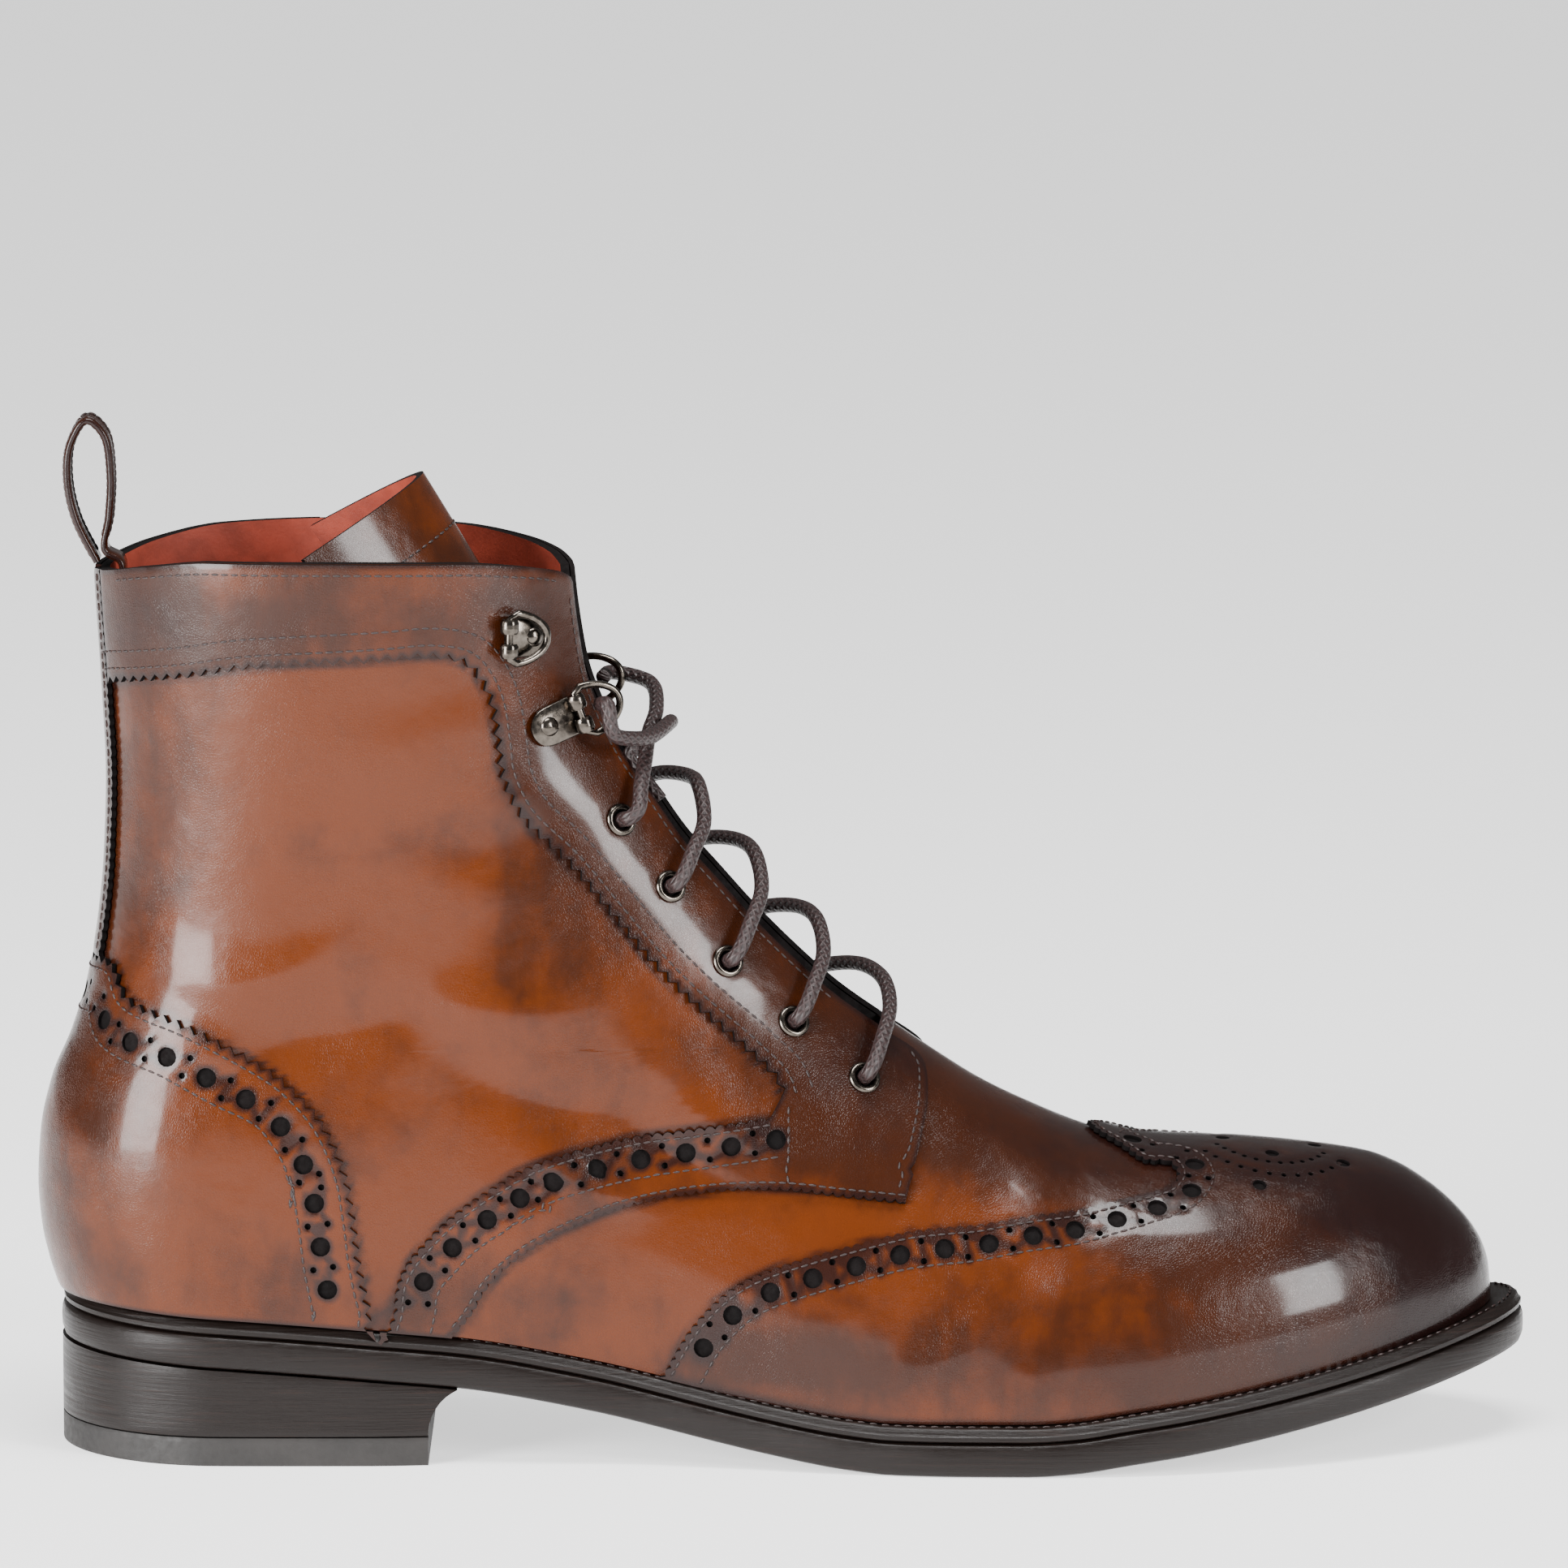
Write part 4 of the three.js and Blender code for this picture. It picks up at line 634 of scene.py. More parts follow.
def grid_faces(rows, columns, closed=False, flip=False):
    faces = []
    last = columns if closed else columns - 1
    for r in range(rows - 1):
        for c in range(last):
            n = (c + 1) % columns
            quad = [r * columns + c, r * columns + n, (r + 1) * columns + n, (r + 1) * columns + c]
            faces.append(quad[::-1] if flip else quad)
    return faces


def tube_rings(path, radius, sides, first=None):
    """Rings of points round a path without twist; radius may change along it."""
    path = np.asarray(path, float)
    radius = np.broadcast_to(np.asarray(radius, float), (len(path),))
    tangent = unit(np.gradient(path, axis=0))
    across = np.cross([0.0, 0.0, 1.0], tangent[0]) if first is None else np.asarray(first, float)
    if np.linalg.norm(across) < 0.2:
        across = np.cross([1.0, 0.0, 0.0], tangent[0])
    rings = []
    angle = np.linspace(0, 2 * math.pi, sides, endpoint=False)
    for i in range(len(path)):
        across = across - tangent[i] * np.dot(across, tangent[i])
        across = across / np.linalg.norm(across)
        up = np.cross(tangent[i], across)
        rings.append(path[i] + radius[i] * (np.cos(angle)[:, None] * across + np.sin(angle)[:, None] * up))
    return np.array(rings)


def tube(path, radius, sides, closed=False):
    """Points and faces of a closed tube; ends are capped unless it is a ring."""
    path = np.asarray(path, float)
    rings = tube_rings(path, radius, sides)
    count = len(rings)
    points = rings.reshape(-1, 3)
    faces = grid_faces(count, sides, True)
    if closed:
        last = (count - 1) * sides
        best = np.argmin([np.linalg.norm(rings[0] - np.roll(rings[-1], -k, axis=0)) for k in range(sides)])
        faces += [[last + (s + best) % sides, last + (s + 1 + best) % sides, (s + 1) % sides, s]
                  for s in range(sides)]
    else:
        faces.append(list(range(sides))[::-1])
        faces.append([(count - 1) * sides + s for s in range(sides)])
    return points, faces


def joined(parts):
    """Joins lists of points and faces; gives the number of the part for each face too."""
    points = []
    faces = []
    owner = []
    offset = 0
    for index, (part_points, part_faces) in enumerate(parts):
        points.append(np.asarray(part_points, float))
        faces += [[i + offset for i in face] for face in part_faces]
        owner += [index] * len(part_faces)
        offset += len(part_points)
    return np.vstack(points), faces, owner


def lathe(profile, sides):
    """Closed turned ring about +Z from a closed profile of (radius, height)."""
    angle = np.linspace(0, 2 * math.pi, sides, endpoint=False)
    rings = [np.stack([r * np.cos(angle), r * np.sin(angle), np.full(sides, h)], -1) for r, h in profile]
    count = len(profile)
    points = np.vstack(rings)
    faces = []
    for i in range(count):
        j = (i + 1) % count
        for s in range(sides):
            n = (s + 1) % sides
            faces.append([i * sides + s, i * sides + n, j * sides + n, j * sides + s])
    return points, faces


# Shader helpers


def feed(tree, socket, value):
    if value is None:
        return
    if isinstance(value, bpy.types.NodeSocket):
        tree.links.new(value, socket)
    else:
        socket.default_value = value


def maths(tree, operation, a, b=None, c=None, clamp=False):
    node = tree.nodes.new("ShaderNodeMath")
    node.operation = operation
    node.use_clamp = clamp
    for socket, value in zip(node.inputs, (a, b, c)):
        feed(tree, socket, value)
    return node.outputs[0]


def blended(tree, share, a, b, kind="MIX"):
    node = tree.nodes.new("ShaderNodeMix")
    node.data_type = "RGBA"
    node.blend_type = kind
    feed(tree, node.inputs[0], share)
    feed(tree, node.inputs[6], rgba(a))
    feed(tree, node.inputs[7], rgba(b))
    return node.outputs[2]


def rgba(value):
    if isinstance(value, bpy.types.NodeSocket):
        return value
    return (value[0], value[1], value[2], 1.0)


def remap(tree, value, low, high, to_low=0.0, to_high=1.0, smooth=True):
    node = tree.nodes.new("ShaderNodeMapRange")
    node.interpolation_type = "SMOOTHSTEP" if smooth else "LINEAR"
    for socket, item in zip(node.inputs, (value, low, high, to_low, to_high)):
        feed(tree, socket, item)
    return node.outputs[0]


def noise(tree, vector, scale, detail=3.0, rough=0.5, distortion=0.0):
    node = tree.nodes.new("ShaderNodeTexNoise")
    feed(tree, node.inputs["Vector"], vector)
    feed(tree, node.inputs["Scale"], scale)
    feed(tree, node.inputs["Detail"], detail)
    feed(tree, node.inputs["Roughness"], rough)
    feed(tree, node.inputs["Distortion"], distortion)
    return node.outputs["Fac"]


def attribute(tree, name):
    node = tree.nodes.new("ShaderNodeAttribute")
    node.attribute_name = name
    return node.outputs["Fac"]


def object_place(tree, stretch=None):
    node = tree.nodes.new("ShaderNodeTexCoord")
    if stretch is None:
        return node.outputs["Object"]
    mapping = tree.nodes.new("ShaderNodeMapping")
    mapping.inputs["Scale"].default_value = stretch
    tree.links.new(node.outputs["Object"], mapping.inputs["Vector"])
    return mapping.outputs["Vector"]


def new_group(name, inputs, outputs):
    if name in bpy.data.node_groups:
        return bpy.data.node_groups[name], None, None
    group = bpy.data.node_groups.new(name, "ShaderNodeTree")
    for label, kind, default in inputs:
        socket = group.interface.new_socket(name=label, in_out="INPUT", socket_type=kind)
        socket.default_value = default
    for label, kind in outputs:
        group.interface.new_socket(name=label, in_out="OUTPUT", socket_type=kind)
    return group, group.nodes.new("NodeGroupInput"), group.nodes.new("NodeGroupOutput")


def polish_group():
    """Hand polish: three colours laid in clouds, darker where the tone says, and darker near edges: burnishing
    there, with painted shadow of the cut edges.
    """
    group, inputs, outputs = new_group(
        "Polish",
        [("Light", "NodeSocketColor", (1, 1, 1, 1)), ("Middle", "NodeSocketColor", (0.5, 0.5, 0.5, 1)),
         ("Dark", "NodeSocketColor", (0, 0, 0, 1)), ("Tone", "NodeSocketFloat", 0.0),
         ("Edge", "NodeSocketFloat", 8.0), ("Edge reach", "NodeSocketFloat", 3.0)],
        [("Color", "NodeSocketColor"), ("Roughness", "NodeSocketFloat")])
    if inputs is None:
        return group
    place = object_place(group)
    cloud = noise(group, place, 26.0, 4.0, 0.55, 0.6)
    mottle = noise(group, place, 130.0, 5.0, 0.6, 0.3)
    streak = noise(group, object_place(group, (40.0, 40.0, 14.0)), 3.0, 4.0, 0.6, 0.4)
    clouds = maths(group, "MULTIPLY_ADD", cloud, 0.9, -0.45)
    mottles = maths(group, "MULTIPLY_ADD", mottle, 0.34, -0.17)
    streaks = maths(group, "MULTIPLY_ADD", streak, 0.36, -0.18)
    level = maths(group, "ADD", maths(group, "ADD", inputs.outputs["Tone"], clouds),
                  maths(group, "ADD", mottles, streaks))
    first = remap(group, level, 0.0, 0.42)
    second = remap(group, level, 0.38, 0.95)
    colour_a = blended(group, first, inputs.outputs["Light"], inputs.outputs["Middle"])
    colour_b = blended(group, second, colour_a, inputs.outputs["Dark"])
    rim = maths(group, "DIVIDE", inputs.outputs["Edge"], inputs.outputs["Edge reach"])
    rim_noise = maths(group, "ADD", rim, maths(group, "MULTIPLY_ADD", mottle, 0.5, -0.25))
    # Near an edge the colour goes towards the dark one: burnishing, and painted shadow of the cut edge.
    edge_burnish_and_shadow_mask = remap(group, rim_noise, 0.0, 1.0, 0.86, 0.0)
    colour_c = blended(group, edge_burnish_and_shadow_mask, colour_b, inputs.outputs["Dark"])
    shine = maths(group, "MULTIPLY_ADD", mottle, 0.16, 0.20)
    group.links.new(colour_c, outputs.inputs["Color"])
    group.links.new(maths(group, "ADD", shine, maths(group, "MULTIPLY", level, -0.05)),
                    outputs.inputs["Roughness"])
    return group


def grain_group():
    """Fine calf grain with faint pores and soft waves."""
    group, inputs, outputs = new_group(
        "Calf grain",
        [("Depth", "NodeSocketFloat", 1.0), ("Cell", "NodeSocketFloat", 1900.0)],
        [("Height", "NodeSocketFloat")])
    if inputs is None:
        return group
    place = object_place(group)
    cells = group.nodes.new("ShaderNodeTexVoronoi")
    cells.feature = "DISTANCE_TO_EDGE"
    group.links.new(place, cells.inputs["Vector"])
    group.links.new(inputs.outputs["Cell"], cells.inputs["Scale"])
    folds = remap(group, cells.outputs["Distance"], 0.0, 0.28)
    fine = noise(group, place, 2600.0, 2.0)
    soft = noise(group, place, 60.0, 3.0, 0.5)
    patch = remap(group, noise(group, place, 45.0, 2.0), 0.35, 0.65, 0.35, 1.0)
    small = maths(group, "MULTIPLY",
                  maths(group, "MULTIPLY_ADD", fine, 0.4, maths(group, "MULTIPLY", folds, 0.6)),
                  patch)
    total = maths(group, "MULTIPLY_ADD", small, 0.09, maths(group, "MULTIPLY", soft, 1.6))
    group.links.new(maths(group, "MULTIPLY", total, inputs.outputs["Depth"]), outputs.inputs["Height"])
    return group


def placed_group(tree, group, **values):
    node = tree.nodes.new("ShaderNodeGroup")
    node.node_tree = group
    for key, value in values.items():
        feed(tree, node.inputs[key.replace("_", " ")], value)
    return node


def new_material(name):
    material = bpy.data.materials.new(name)
    material.use_nodes = True
    tree = material.node_tree
    shader = tree.nodes["Principled BSDF"]
    return material, tree, shader


def add_bump(tree, shader, height, distance, strength=1.0):
    bump = tree.nodes.new("ShaderNodeBump")
    bump.inputs["Strength"].default_value = strength
    bump.inputs["Distance"].default_value = distance
    tree.links.new(height, bump.inputs["Height"])
    tree.links.new(bump.outputs["Normal"], shader.inputs["Normal"])


def leather(name, light, middle_tone, dark, edge_reach=1.7, coat=0.30, grain=1.0):
    if name in bpy.data.materials:
        return bpy.data.materials[name]
    material, tree, shader = new_material(name)
    polish = placed_group(tree, polish_group(), Light=rgba(light), Middle=rgba(middle_tone),
                          Dark=rgba(dark),
                          Tone=attribute(tree, "tone"), Edge=attribute(tree, "edge"), Edge_reach=edge_reach)
    tree.links.new(polish.outputs["Color"], shader.inputs["Base Color"])
    tree.links.new(polish.outputs["Roughness"], shader.inputs["Roughness"])
    shader.inputs["Specular IOR Level"].default_value = 0.16
    shader.inputs["Coat Weight"].default_value = coat
    shader.inputs["Coat Roughness"].default_value = 0.11
    heights = placed_group(tree, grain_group(), Depth=grain)
    add_bump(tree, shader, heights.outputs["Height"], 0.0006)
    return material


def plain_material(name, base, roughness, grain_scale=900.0, bump=0.00008, coat=0.0, spread=0.3,
                   metallic=0.0):
    if name in bpy.data.materials:
        return bpy.data.materials[name]
    material, tree, shader = new_material(name)
    place = object_place(tree)
    cloud = noise(tree, place, grain_scale * 0.12, 3.0)
    fine = noise(tree, place, grain_scale, 3.0)
    darker = tuple(part * (1 - spread) for part in base)
    lighter = tuple(min(part * (1 + spread), 1.0) for part in base)
    tree.links.new(blended(tree, remap(tree, cloud, 0.3, 0.7), darker, lighter),
                   shader.inputs["Base Color"])
    tree.links.new(remap(tree, fine, 0.2, 0.8, roughness * 0.85, roughness * 1.15),
                   shader.inputs["Roughness"])
    shader.inputs["Coat Weight"].default_value = coat
    shader.inputs["Metallic"].default_value = metallic
    add_bump(tree, shader, fine, bump)
    return material


def calf():
    c = colours()
    return leather("Polished calf", c.cognac, c.chestnut, c.burnish_and_edge_shadow)


def overlay_calf():
    c = colours()
    return leather("Overlay calf", c.cognac, c.chestnut, c.burnish_and_edge_shadow, 1.4)


# Material of the inked cut edges and undersides, and of the dark floors in the punched holes, which are painted
# shade.
def ink_and_hole_shade():
    material = plain_material("Edge ink", colours().edge_ink_and_hole_shade, 0.8)
    for node in material.node_tree.nodes:
        if node.type == "BSDF_PRINCIPLED":
            node.inputs["Specular IOR Level"].default_value = 0.12
    return material


def lining():
    return plain_material("Lining leather", colours().lining, 0.55, 1500.0, 0.00005, 0.1, 0.18)


def sole_material():
    if "Waxed sole edge" in bpy.data.materials:
        return bpy.data.materials["Waxed sole edge"]
    base = colours().sole
    material, tree, shader = new_material("Waxed sole edge")
    scratch = noise(tree, object_place(tree, (1.0, 1.0, 26.0)), 60.0, 6.0, 0.65)
    speck = noise(tree, object_place(tree), 320.0, 4.0)
    warm = tuple(part * k for part, k in zip(base, (2.6, 1.9, 1.6)))
    tree.links.new(blended(tree, remap(tree, scratch, 0.52, 0.78), base, warm), shader.inputs["Base Color"])
    tree.links.new(remap(tree, scratch, 0.3, 0.7, 0.30, 0.48), shader.inputs["Roughness"])
    shader.inputs["Specular IOR Level"].default_value = 0.22
    shader.inputs["Coat Weight"].default_value = 0.06
    shader.inputs["Coat Roughness"].default_value = 0.3
    height = maths(tree, "ADD", scratch, maths(tree, "MULTIPLY", speck, 0.4))
    add_bump(tree, shader, height, 0.00018)
    return material


def rubber():
    return plain_material("Top lift rubber", (0.012, 0.010, 0.009), 0.6, 700.0)


def thread_material():
    return plain_material("Waxed thread", colours().thread, 0.45, 4000.0, 0.00003)


def metal():
    if "Gunmetal" in bpy.data.materials:
        return bpy.data.materials["Gunmetal"]
    material, tree, shader = new_material("Gunmetal")
    fine = noise(tree, object_place(tree), 700.0, 4.0)
    base = colours().metal
    darker = tuple(part * 0.55 for part in base)
    tree.links.new(blended(tree, remap(tree, fine, 0.3, 0.7), darker, base), shader.inputs["Base Color"])
    tree.links.new(remap(tree, fine, 0.2, 0.8, 0.14, 0.28), shader.inputs["Roughness"])
    shader.inputs["Metallic"].default_value = 1.0
    add_bump(tree, shader, fine, 0.00003)
    return material


def lace_material():
    if "Waxed lace" in bpy.data.materials:
        return bpy.data.materials["Waxed lace"]
    material, tree, shader = new_material("Waxed lace")
    run = tree.nodes.new("ShaderNodeUVMap")
    run.uv_map = "run"
    parts = tree.nodes.new("ShaderNodeSeparateXYZ")
    tree.links.new(run.outputs["UV"], parts.inputs["Vector"])
    length_turn = maths(tree, "MULTIPLY", parts.outputs["X"], 2 * math.pi * 0.75)
    round_turn = maths(tree, "MULTIPLY", parts.outputs["Y"], 2 * math.pi * 6)
    left = maths(tree, "SINE", maths(tree, "ADD", length_turn, round_turn))
    right = maths(tree, "SINE", maths(tree, "SUBTRACT", length_turn, round_turn))
    braid = maths(tree, "MAXIMUM", left, right)
    fuzz = noise(tree, object_place(tree), 1800.0, 3.0)
    base = colours().lace
    lighter = tuple(min(part * 2.4, 1.0) for part in base)
    shade = maths(tree, "MULTIPLY_ADD", braid, 0.4, maths(tree, "MULTIPLY", fuzz, 0.5), clamp=True)
    tree.links.new(blended(tree, shade, base, lighter), shader.inputs["Base Color"])
    shader.inputs["Roughness"].default_value = 0.5
    shader.inputs["Coat Weight"].default_value = 0.12
    shader.inputs["Coat Roughness"].default_value = 0.4
    add_bump(tree, shader, maths(tree, "MULTIPLY_ADD", fuzz, 0.35, braid), 0.00014)
    return material


# Stage: camera, light, floor


def look_at(piece, target):
    away = Vector(target) - piece.location
    piece.rotation_euler = away.to_track_quat("-Z", "Y").to_euler()


def soft_box(name, place, target, size, power, height=None):
    light = bpy.data.lights.new(name, "AREA")
    light.shape = "RECTANGLE"
    light.size = size
    light.size_y = height or size
    light.energy = power
    lamp = bpy.data.objects.new(name, light)
    lamp.location = place
    bpy.context.scene.collection.objects.link(lamp)
    look_at(lamp, target)


class BOOT_OT_stage(bpy.types.Operator):
    """Camera, soft boxes, world and pale floor"""

    bl_idname = "boot.stage"
    bl_label = "Stage"

    def execute(self, context):
        target = Vector((0.11405, 0.0, 0.14))
        rise = math.radians(9.4)
        data = bpy.data.cameras.new("Camera")
        data.sensor_width = 36.0
        data.lens = 282.8
        data.clip_end = 30.0
        camera = bpy.data.objects.new("Camera", data)
        camera.location = target + Vector((0.0, -math.cos(rise), math.sin(rise))) * 2.6
        context.scene.collection.objects.link(camera)
        look_at(camera, target)
        context.scene.camera = camera

        mesh = bpy.data.meshes.new("floor")
        reach = 6.0
        mesh.from_pydata([(-reach, -reach, 0), (reach, -reach, 0), (reach, reach, 0), (-reach, reach, 0)],
                         [], [(0, 1, 2, 3)])
        floor = bpy.data.objects.new("floor", mesh)
        material, tree, shader = new_material("Studio floor")
        grain = noise(tree, object_place(tree), 40.0)
        tree.links.new(blended(tree, grain, (0.86, 0.86, 0.86), (0.88, 0.88, 0.88)),
                       shader.inputs["Base Color"])
        shader.inputs["Roughness"].default_value = 0.7
        shader.inputs["Emission Color"].default_value = (1.0, 1.0, 1.0, 1.0)
        shader.inputs["Emission Strength"].default_value = 1.1
        mesh.materials.append(material)
        context.scene.collection.objects.link(floor)

        world = bpy.data.worlds.new("Studio")
        world.use_nodes = True
        background = world.node_tree.nodes["Background"]
        background.inputs["Color"].default_value = (1.0, 1.0, 1.0, 1.0)
        background.inputs["Strength"].default_value = 0.22
        context.scene.world = world
        middle_point = (0.08, 0.0, 0.08)
        soft_box("Left soft box", (-1.05, -0.95, 0.42), middle_point, 0.6, 46.0, 0.8)
        soft_box("Right soft box", (1.25, -0.9, 0.60), middle_point, 0.3, 22.0, 0.7)
        soft_box("Top soft box", (0.15, -0.25, 1.5), middle_point, 0.8, 26.0, 0.4)
        return {"FINISHED"}


# Upper


def upper_net():
    """Outer points of the upper, both sides, and its faces."""
    rear, vamp, low, shaft = 62, 72, 34, 58
    faces = []
    points = []
    t = np.linspace(0, 1, shaft + 1)
    t[1:] = mix(0.006, 1.0, (t[1:] - t[1]) / (1 - t[1]))
    share_low = np.full(shaft + 1, 0.5)
    share_high = np.ones(shaft + 1)
    for _ in range(30):
        share = 0.5 * (share_low + share_high)
        z = mix(INSTEP_TOP, TOP - curve(COLLAR_DROP, share), t)
        wide = half_width(mix(back_x(z), front_x(z), share), z) > slot_half(z)
        share_low = np.where(wide, share, share_low)
        share_high = np.where(wide, share_high, share)
    slot_share = share_low.copy()
    slot_share[0] = 1.0
    for side in (-1, 1):
        start = sum(len(part) for part in points)
        k = np.arange(rear + vamp + 1)[:, None]
        j = np.arange(low + 1)[None, :]
        up = np.sin(0.5 * math.pi * j / low) * np.ones_like(k)
        fore_x = mix(THROAT_X, TIP_X, np.sin(0.5 * math.pi * clamp01((k - rear) / vamp))) * np.ones_like(j)
        fore_z = mix(base_z(fore_x), np.maximum(front_z(fore_x), base_z(fore_x) + 0.05), up)
        low_share = 1 - np.cos(0.5 * math.pi * clamp01(k / rear))
        high_share = 0.5 - 0.5 * np.cos(math.pi * clamp01(k / rear))
        back_share = mix(low_share, high_share, j / low)
        rear_z = mix(base_z(back_share * THROAT_X), INSTEP_TOP, up)
        rear_x = mix(back_x(rear_z), THROAT_X, back_share)
        x = np.where(k >= rear, fore_x, rear_x)
        z = np.where(k >= rear, fore_z, rear_z)
        grid = skin(x, z, side)
        grid[rear:, low, 1] = ridge_y(x[rear:, low], z[rear:, low])
        points.append(grid.reshape(-1, 3))
        for kk in range(rear + vamp):
            for jj in range(low):
                quad = [start + kk * (low + 1) + jj, start + (kk + 1) * (low + 1) + jj,
                        start + (kk + 1) * (low + 1) + jj + 1, start + kk * (low + 1) + jj + 1]
                faces.append(quad if side < 0 else quad[::-1])
        start = sum(len(part) for part in points)
        share = (0.5 - 0.5 * np.cos(math.pi * np.arange(rear + 1) / rear))[:, None] * slot_share[None, :]
        z = mix(INSTEP_TOP, TOP - curve(COLLAR_DROP, share), t[None, :])
        z[:, 0] = INSTEP_TOP
        x = mix(back_x(z), front_x(z), share)
        grid = skin(x, z, side)
        grid[-1, 0, 1] = ridge_y(x[-1, 0], z[-1, 0])
        points.append(grid.reshape(-1, 3))
        for kk in range(rear):
            for jj in range(shaft):
                quad = [start + kk * (shaft + 1) + jj, start + (kk + 1) * (shaft + 1) + jj,
                        start + (kk + 1) * (shaft + 1) + jj + 1, start + kk * (shaft + 1) + jj + 1]
                faces.append(quad if side < 0 else quad[::-1])
    return merged(np.vstack(points), faces)


def merged(points, faces, close=0.02):
    """Welds points that lie together and drops the faces that fold away."""
    keys = {}
    number = np.zeros(len(points), int)
    kept = []
    for i, key in enumerate(map(tuple, np.round(points / close).astype(int))):
        if key not in keys:
            keys[key] = len(kept)
            kept.append(points[i])
        number[i] = keys[key]
    result = []
    for face in faces:
        corners = []
        for i in face:
            n = number[i]
            if n not in corners:
                corners.append(n)
        if len(corners) > 2:
            result.append(corners)
    return np.array(kept), result


def vertex_normals(points, faces):
    normals = np.zeros_like(points)
    for face in faces:
        corners = points[face]
        area = np.zeros(3)
        for i in range(1, len(face) - 1):
            area += np.cross(corners[i] - corners[0], corners[i + 1] - corners[0])
        normals[face] += area
    return unit(normals)


def thickened(points, faces, wall):
    """Adds an inner wall and the rims; marks 0 outside, 1 inside, 2 rim."""
    normals = vertex_normals(points, faces)
    count = len(points)
    edges = {}
    for face in faces:
        for a, b in zip(face, face[1:] + face[:1]):
            edges[(a, b)] = True
    rims = [[b, a, a + count, b + count] for a, b in edges if (b, a) not in edges]
    inner = points - normals * wall
    all_faces = list(faces) + [[i + count for i in face[::-1]] for face in faces] + rims
    marks = [0] * len(faces) + [1] * len(faces) + [2] * len(rims)
    return np.vstack([points, inner]), all_faces, marks, normals


# Places along the overlays' toothed edges; the upper is darkened beside them, partly stain and partly painted
# shadow of the raised edge.
stain_and_shadow_places = []


def stain_and_shadow_distance(points, reach=6.0):
    """Distance of each point to the overlays' cut edges, for the dark stripe beside them: stain, with painted
    shadow of the raised edge.
    """
    tree = KDTree(len(stain_and_shadow_places))
    for i, place in enumerate(stain_and_shadow_places):
        tree.insert(place, i)
    tree.balance()
    return np.array([min(tree.find(p)[2], reach) for p in points])


class BOOT_OT_upper(bpy.types.Operator):
    """The upper with its lining, creased at the ankle and vamp"""

    bl_idname = "boot.upper"
    bl_label = "Upper"

    def execute(self, context):
        points, faces = upper_net()
        wall = sizes().leather_wall * 1000
        full, all_faces, marks, normals = thickened(points, faces, wall)
        lift = relief(points)
        count = len(points)
        full[:count] += normals * lift[:, None]
        full[count:] += normals * lift[:, None]
        shade = np.tile(tone(points), 2)
        # The upper is painted darker near the overlays' edges: stain, with painted shadow of the raised edges.
        near = np.tile(stain_and_shadow_distance(points), 2)
        piece = make_piece("boot_upper", full, all_faces, [calf(), lining(), ink_and_hole_shade()], marks,
                           {"tone": shade, "edge": near}, sharp=50)
        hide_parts("upper")
        return {"FINISHED"}


# Overlays


def side_points(table):
    table = np.asarray(table, float)
    return table[:, 0] * SOLE_LENGTH, table[:, 1] * TOP


FACING_GIMP = [
    (0.0437, 0.8521), (0.0900, 0.8680), (0.1344, 0.8818), (0.2276, 0.8917), (0.2563, 0.8938),
    (0.2778, 0.8854),
    (0.2884, 0.8630), (0.2939, 0.8401), (0.2981, 0.7995), (0.3016, 0.7594), (0.3151, 0.7141),
    (0.3424, 0.6682),
    (0.3749, 0.6042), (0.4022, 0.5505), (0.4296, 0.5052), (0.4678, 0.4505), (0.4868, 0.4193),
    (0.4910, 0.4021)]
BAND_TOP = [(0.4842, 0.3823), (0.4296, 0.3714), (0.3749, 0.3583), (0.3257, 0.3365), (0.2874, 0.3010),
            (0.2543, 0.2563), (0.2325, 0.2068), (0.2212, 0.1354), (0.2202, 0.1330)]
BAND_LOW = [(0.2733, 0.1505), (0.2926, 0.1969), (0.3199, 0.2385), (0.3694, 0.2776), (0.4296, 0.2990),
            (0.4897, 0.3031), (0.5389, 0.2943), (0.5746, 0.2880)]
FLAP_FRONT = [(0.5746, 0.2880), (0.5855, 0.3583), (0.5887, 0.4000), (0.5850, 0.4250)]
COUNTER_EDGE = [(0.0418, 0.5417), (0.0508, 0.5120), (0.0907, 0.4880), (0.1292, 0.4573), (0.1620, 0.4219),
                (0.1836, 0.3818), (0.1974, 0.3328), (0.2038, 0.2792), (0.2080, 0.2250), (0.2132, 0.1406)]
WING_EDGE = [(0.6992, 0.3560), (0.7051, 0.3385), (0.7215, 0.3286), (0.7379, 0.3188), (0.7543, 0.3089),
             (0.7595, 0.2995), (0.7537, 0.2911), (0.7315, 0.2839), (0.6759, 0.2729), (0.6209, 0.2656),
             (0.5662, 0.2568), (0.5116, 0.2354), (0.4569, 0.1984), (0.4292, 0.1521), (0.4128, 0.1052)]
EYELETS = [(-0.0798, 0.2789), (0.0356, 0.2472), (0.1615, 0.2341), (0.3143, 0.1960), (0.4528, 0.1772)]


def behind_throat(rise, behind):
    z = INSTEP_TOP + rise * THROAT_RISE
    return float(front_x(z)) - behind * COLLAR, z


def base_line(chart, start, end, count=24):
    x = np.linspace(start, end, count)
    return chart.flat(x, base_z(x))


def hole_loop(chart, centre, side, diameter, corners):
    angle = np.linspace(0, 2 * math.pi, corners, endpoint=False)
    centres = np.repeat(np.asarray(centre, float)[None], corners, axis=0)
    ahead = np.tile([1.0, 0.0], (corners, 1))
    radius = 0.5 * diameter
    return chart_shift(chart, centres, side, radius * np.cos(angle), radius * np.sin(angle), ahead)


stitch_rows = {"left": [], "right": [], "welt": []}


